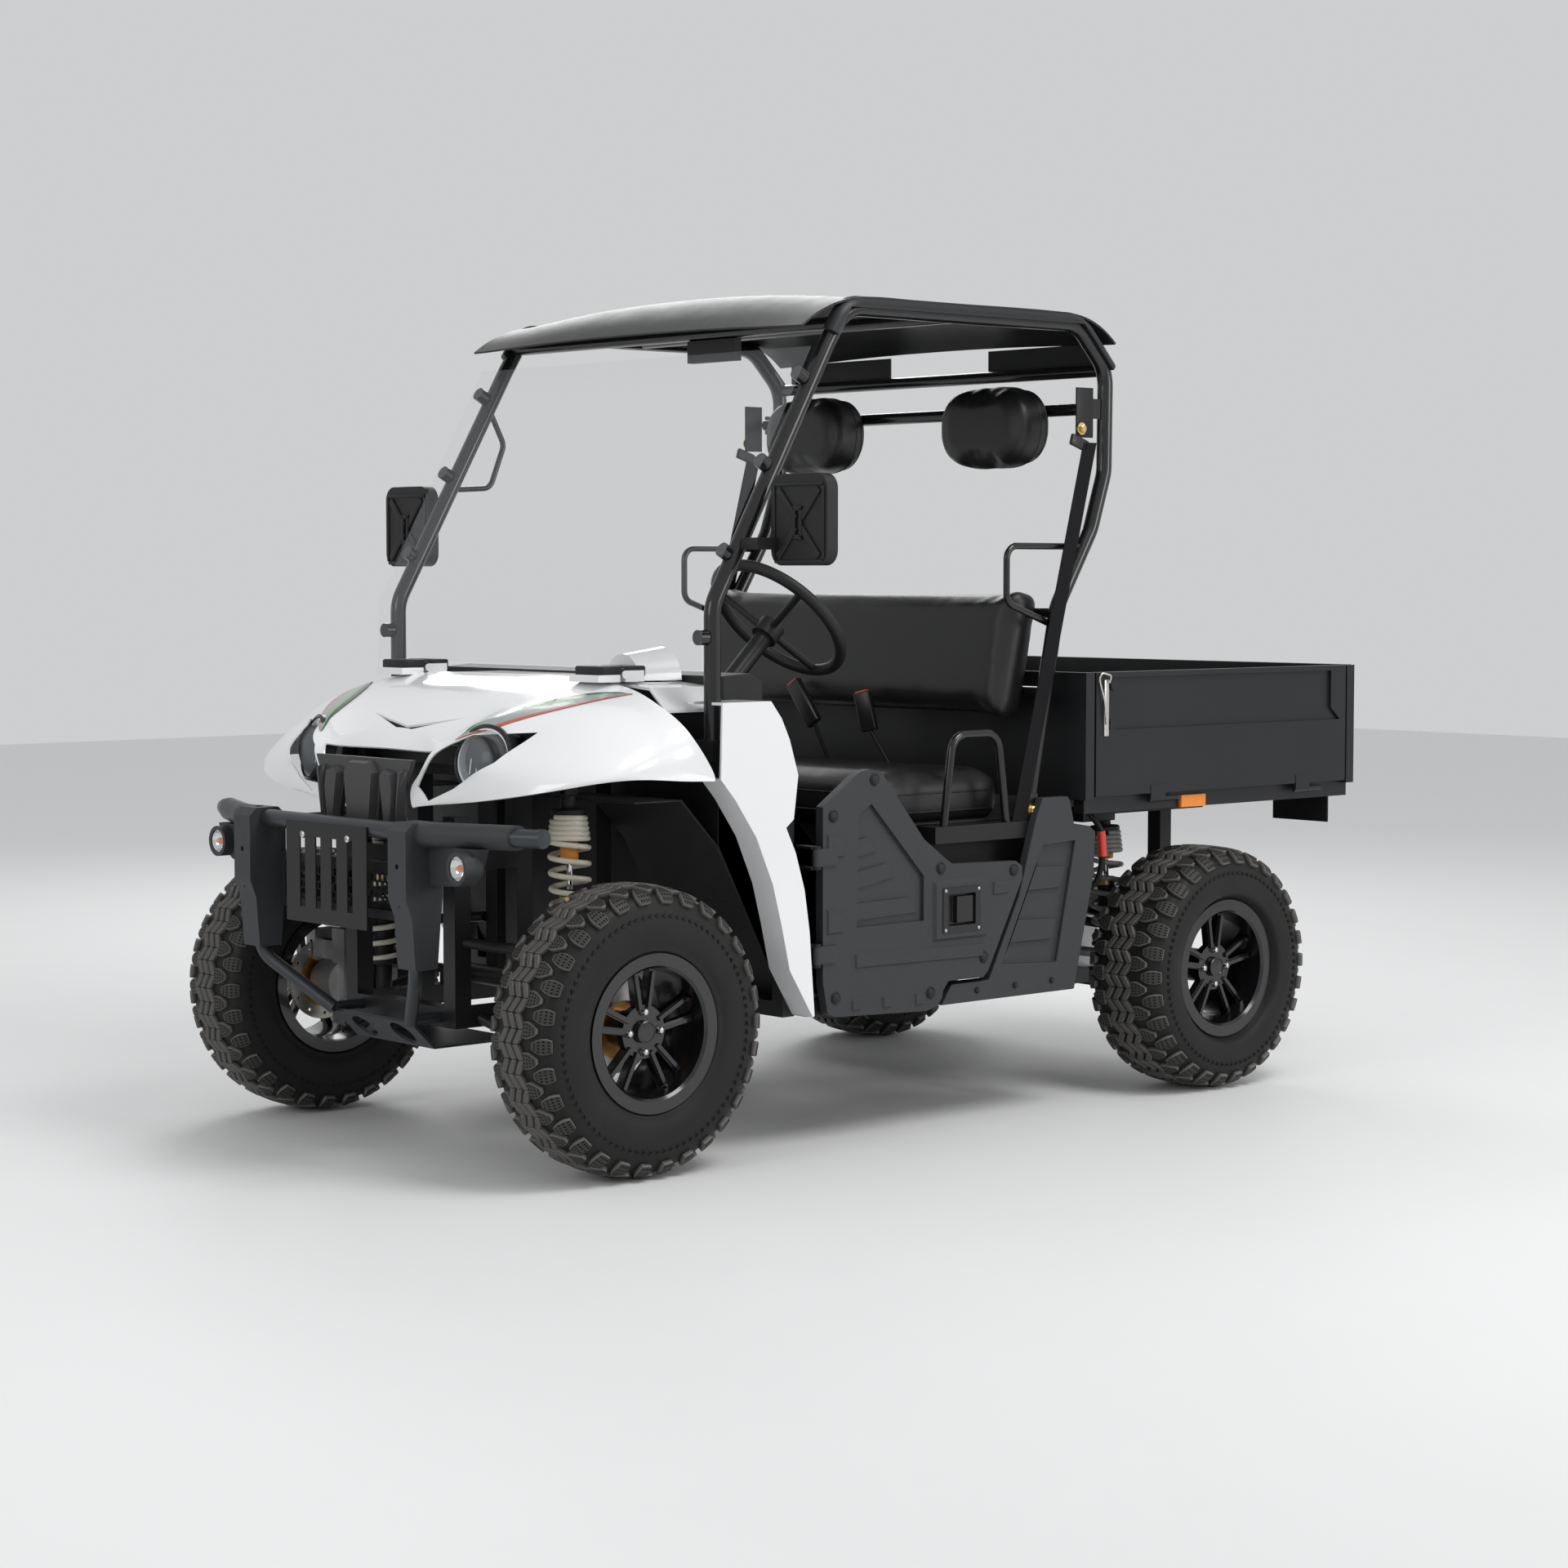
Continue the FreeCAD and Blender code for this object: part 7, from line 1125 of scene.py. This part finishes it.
# Mirror shells: a raised cross of ribs round a slotted hub, and a border. A rim is a box that
# is set twice, the second time on the other side of the middle of its axis, x or z
mirrorLook = {
    "place": (0.737, -0.644, 1.405), "ribHalf": 0.0085, "soft": 0.0022,
    "ribs": [(-0.066, 0.074), (0.066, 0.074), (0.066, -0.074), (-0.066, -0.074)],
    "rims": [("x", (0.006, -0.0075, -0.034), (0.014, 0.001, 0.034)),
             ("z", (-0.014, -0.0075, 0.026), (0.014, 0.001, 0.036)),
             ("z", (-0.078, -0.004, 0.080), (0.078, 0.001, 0.088)),
             ("x", (0.076, -0.004, -0.080), (0.083, 0.001, 0.080))]}
for side, letter in ((1, "Left"), (-1, "Right")):
    ribs = []
    for across, up in mirrorLook["ribs"]:
        half = mirrorLook["ribHalf"]
        rib = box("rib", (-half, -0.0055, 0.012), (half, 0.0010, math.hypot(across, up)),
                  blackPlastic, 0.0030)
        ribs.append(moved(rib, Matrix.Rotation(math.atan2(across, up), 4, "Y")))
    for axis, low, high in mirrorLook["rims"]:
        middle = Vector([(a + b) / 2 for a, b in zip(low, high)])
        for sign in (1, -1):
            rim = box("rim", low, high, blackPlastic, mirrorLook["soft"])
            if sign < 0:
                moved(rim, Matrix.Translation([-2 * middle.x if axis == "x" else 0, 0,
                                               -2 * middle.z if axis == "z" else 0]))
            ribs.append(rim)
    x, y, z = mirrorLook["place"]
    keep(moved(joinPieces("mirrorRibs" + letter, ribs), Matrix.Translation((side * x, y, z))),
         bodyOf("mirrors"), "black_plastic")
print("front details made")

# Doors and side panels: push fasteners and screws set on the moulded faces
sideLook = {
    "from": 750,
    "doorPins": [(680, 828), (553, 751), (892, 613), (1134, 594), (1034, 395), (860, 325),
                 (561, 339)],
    "panelScrews": [(1019, 317), (1147, 318), (1273, 319), (895, 316)],
    "latchScrews": [(899, 468), (1007, 468), (899, 560), (1007, 560)]}
for side, letter in ((1, "left"), (-1, "right")):
    for node, name, head, material, slotName, body in (
            ("door_" + letter, "doorPins", pushPin("pin", 0.0140, blackPlastic), blackPlastic,
             "grey_plastic", "door_" + letter),
            ("side_panels", "panelScrews", pushPin("pin", 0.0075, blackPlastic), blackPlastic,
             "grey_plastic", "chassis"),
            ("door_latch_" + letter, "latchScrews", buttonHead("screw", 0.0042, 0.003, zinc),
             zinc, "latch_black", "door_" + letter)):
        tree = treeOf(node)
        hits = [tree.ray_cast(spot(side * sideLook["from"], behind, z), Vector((-side, 0, 0)))[0]
                for behind, z in sideLook[name]]
        places = [(hit, (side, 0, 0)) for hit in hits if hit]
        keep(setOn(name + letter.capitalize(), head, places, material), body, slotName)
print("side fasteners made")

# Bed: a steel catch with a wire loop on each side board, and the hose with its red sleeve
bedLook = {
    "face": 0.6605, "stripBehind": (1433, 1449), "stripZ": (0.901, 1.038), "wire": 0.0024,
    "wireBend": 0.012, "hose": 0.0075, "sleeve": 0.0105,
    "hosePath": [(560, 1450, 722), (575, 1462, 716), (592, 1482, 690), (600, 1496, 662),
                 (600, 1500, 600), (585, 1500, 540), (540, 1480, 500)],
    "sleevePath": [(599, 1494, 664), (600, 1500, 602)]}
first, last = (spot(0, behind, 0).y for behind in bedLook["stripBehind"])
face = bedLook["face"]
for side, letter in ((1, "Left"), (-1, "Right")):
    strip = box("strip", (face - 0.001, first, bedLook["stripZ"][0]),
                (face + 0.004, last, bedLook["stripZ"][1]), zinc, 0.0012)
    loop = tube("wire", [(face + 0.008, last - 0.004, 1.030), (face + 0.010, last + 0.002, 1.048),
                         (face + 0.006, last - 0.028, 1.0555),
                         (face + 0.004, first - 0.020, 1.040),
                         (face + 0.008, first - 0.004, 0.985),
                         (face + 0.007, first + 0.004, 0.930)],
                bedLook["wire"], zinc, bedLook["wireBend"])
    both = joinPieces("boardCatch" + letter, [strip, loop])
    if side < 0:
        flipped(both)
    keep(both, "side_board_" + letter.lower(), "bed_black")
hose = tube("hose", [spot(*place) for place in bedLook["hosePath"]], bedLook["hose"], rubber,
            0.02, 4)
hose.data.attributes.new("wear", "FLOAT", "POINT")
sleeve = tube("sleeve", [spot(*place) for place in bedLook["sleevePath"]], bedLook["sleeve"],
              buttonRed, 0, 4)
keep(joinPieces("brakeHose", [hose, sleeve]), "chassis", "frame_black")
print("bed details made")

# Camera at the photograph's angle, soft lights, a pale surround and floor
lookout = {"place": (5.92511, -5.31781, 1.29695), "yaw": 48.2525, "pitch": -3.7782,
           "lens": 73.536, "sensor": 36.0, "reach": 100}
camera = placed("camera", bpy.data.cameras.new("camera"))
camera.data.lens = lookout["lens"]
camera.data.sensor_width = lookout["sensor"]
camera.data.clip_end = lookout["reach"]
camera.location = lookout["place"]
camera.rotation_euler = (math.radians(90 + lookout["pitch"]), 0, math.radians(lookout["yaw"]))
bpy.context.scene.camera = camera

studio = {
    "lights": {"key": (150, 2.4, (3.4, 0.4, 5.4)), "side": (80, 2.2, (6.5, 3.0, 2.6)),
               "front": (60, 2.4, (0.8, -6.5, 3.0)), "back": (90, 2.6, (-4.5, 3.0, 4.0))},
    "aim": (0, 0, 0.8), "floor": 16.0, "floorColour": (0.80, 0.80, 0.80),
    "world": 0.66, "worldColour": (0.93, 0.94, 0.95, 1)}
for name, (power, size, place) in studio["lights"].items():
    light = bpy.data.lights.new(name, "AREA")
    light.energy = power
    light.size = size
    made = placed(name, light)
    made.location = place
    aim = Vector(studio["aim"]) - Vector(place)
    made.rotation_euler = aim.to_track_quat("-Z", "Y").to_euler()
world = bpy.data.worlds.new("studio")
world.use_nodes = True
background = world.node_tree.nodes["Background"]
background.inputs["Color"].default_value = studio["worldColour"]
background.inputs["Strength"].default_value = studio["world"]
bpy.context.scene.world = world
half = studio["floor"]
floorPiece = meshObject("floor", [(-half, -half, 0), (half, -half, 0), (half, half, 0),
                                  (-half, half, 0)], [(0, 1, 2, 3)],
                        finish("floorPale", studio["floorColour"], 0.55, tint=0.01))
bpy.context.scene.view_settings.view_transform = "Standard"
print("stage set")
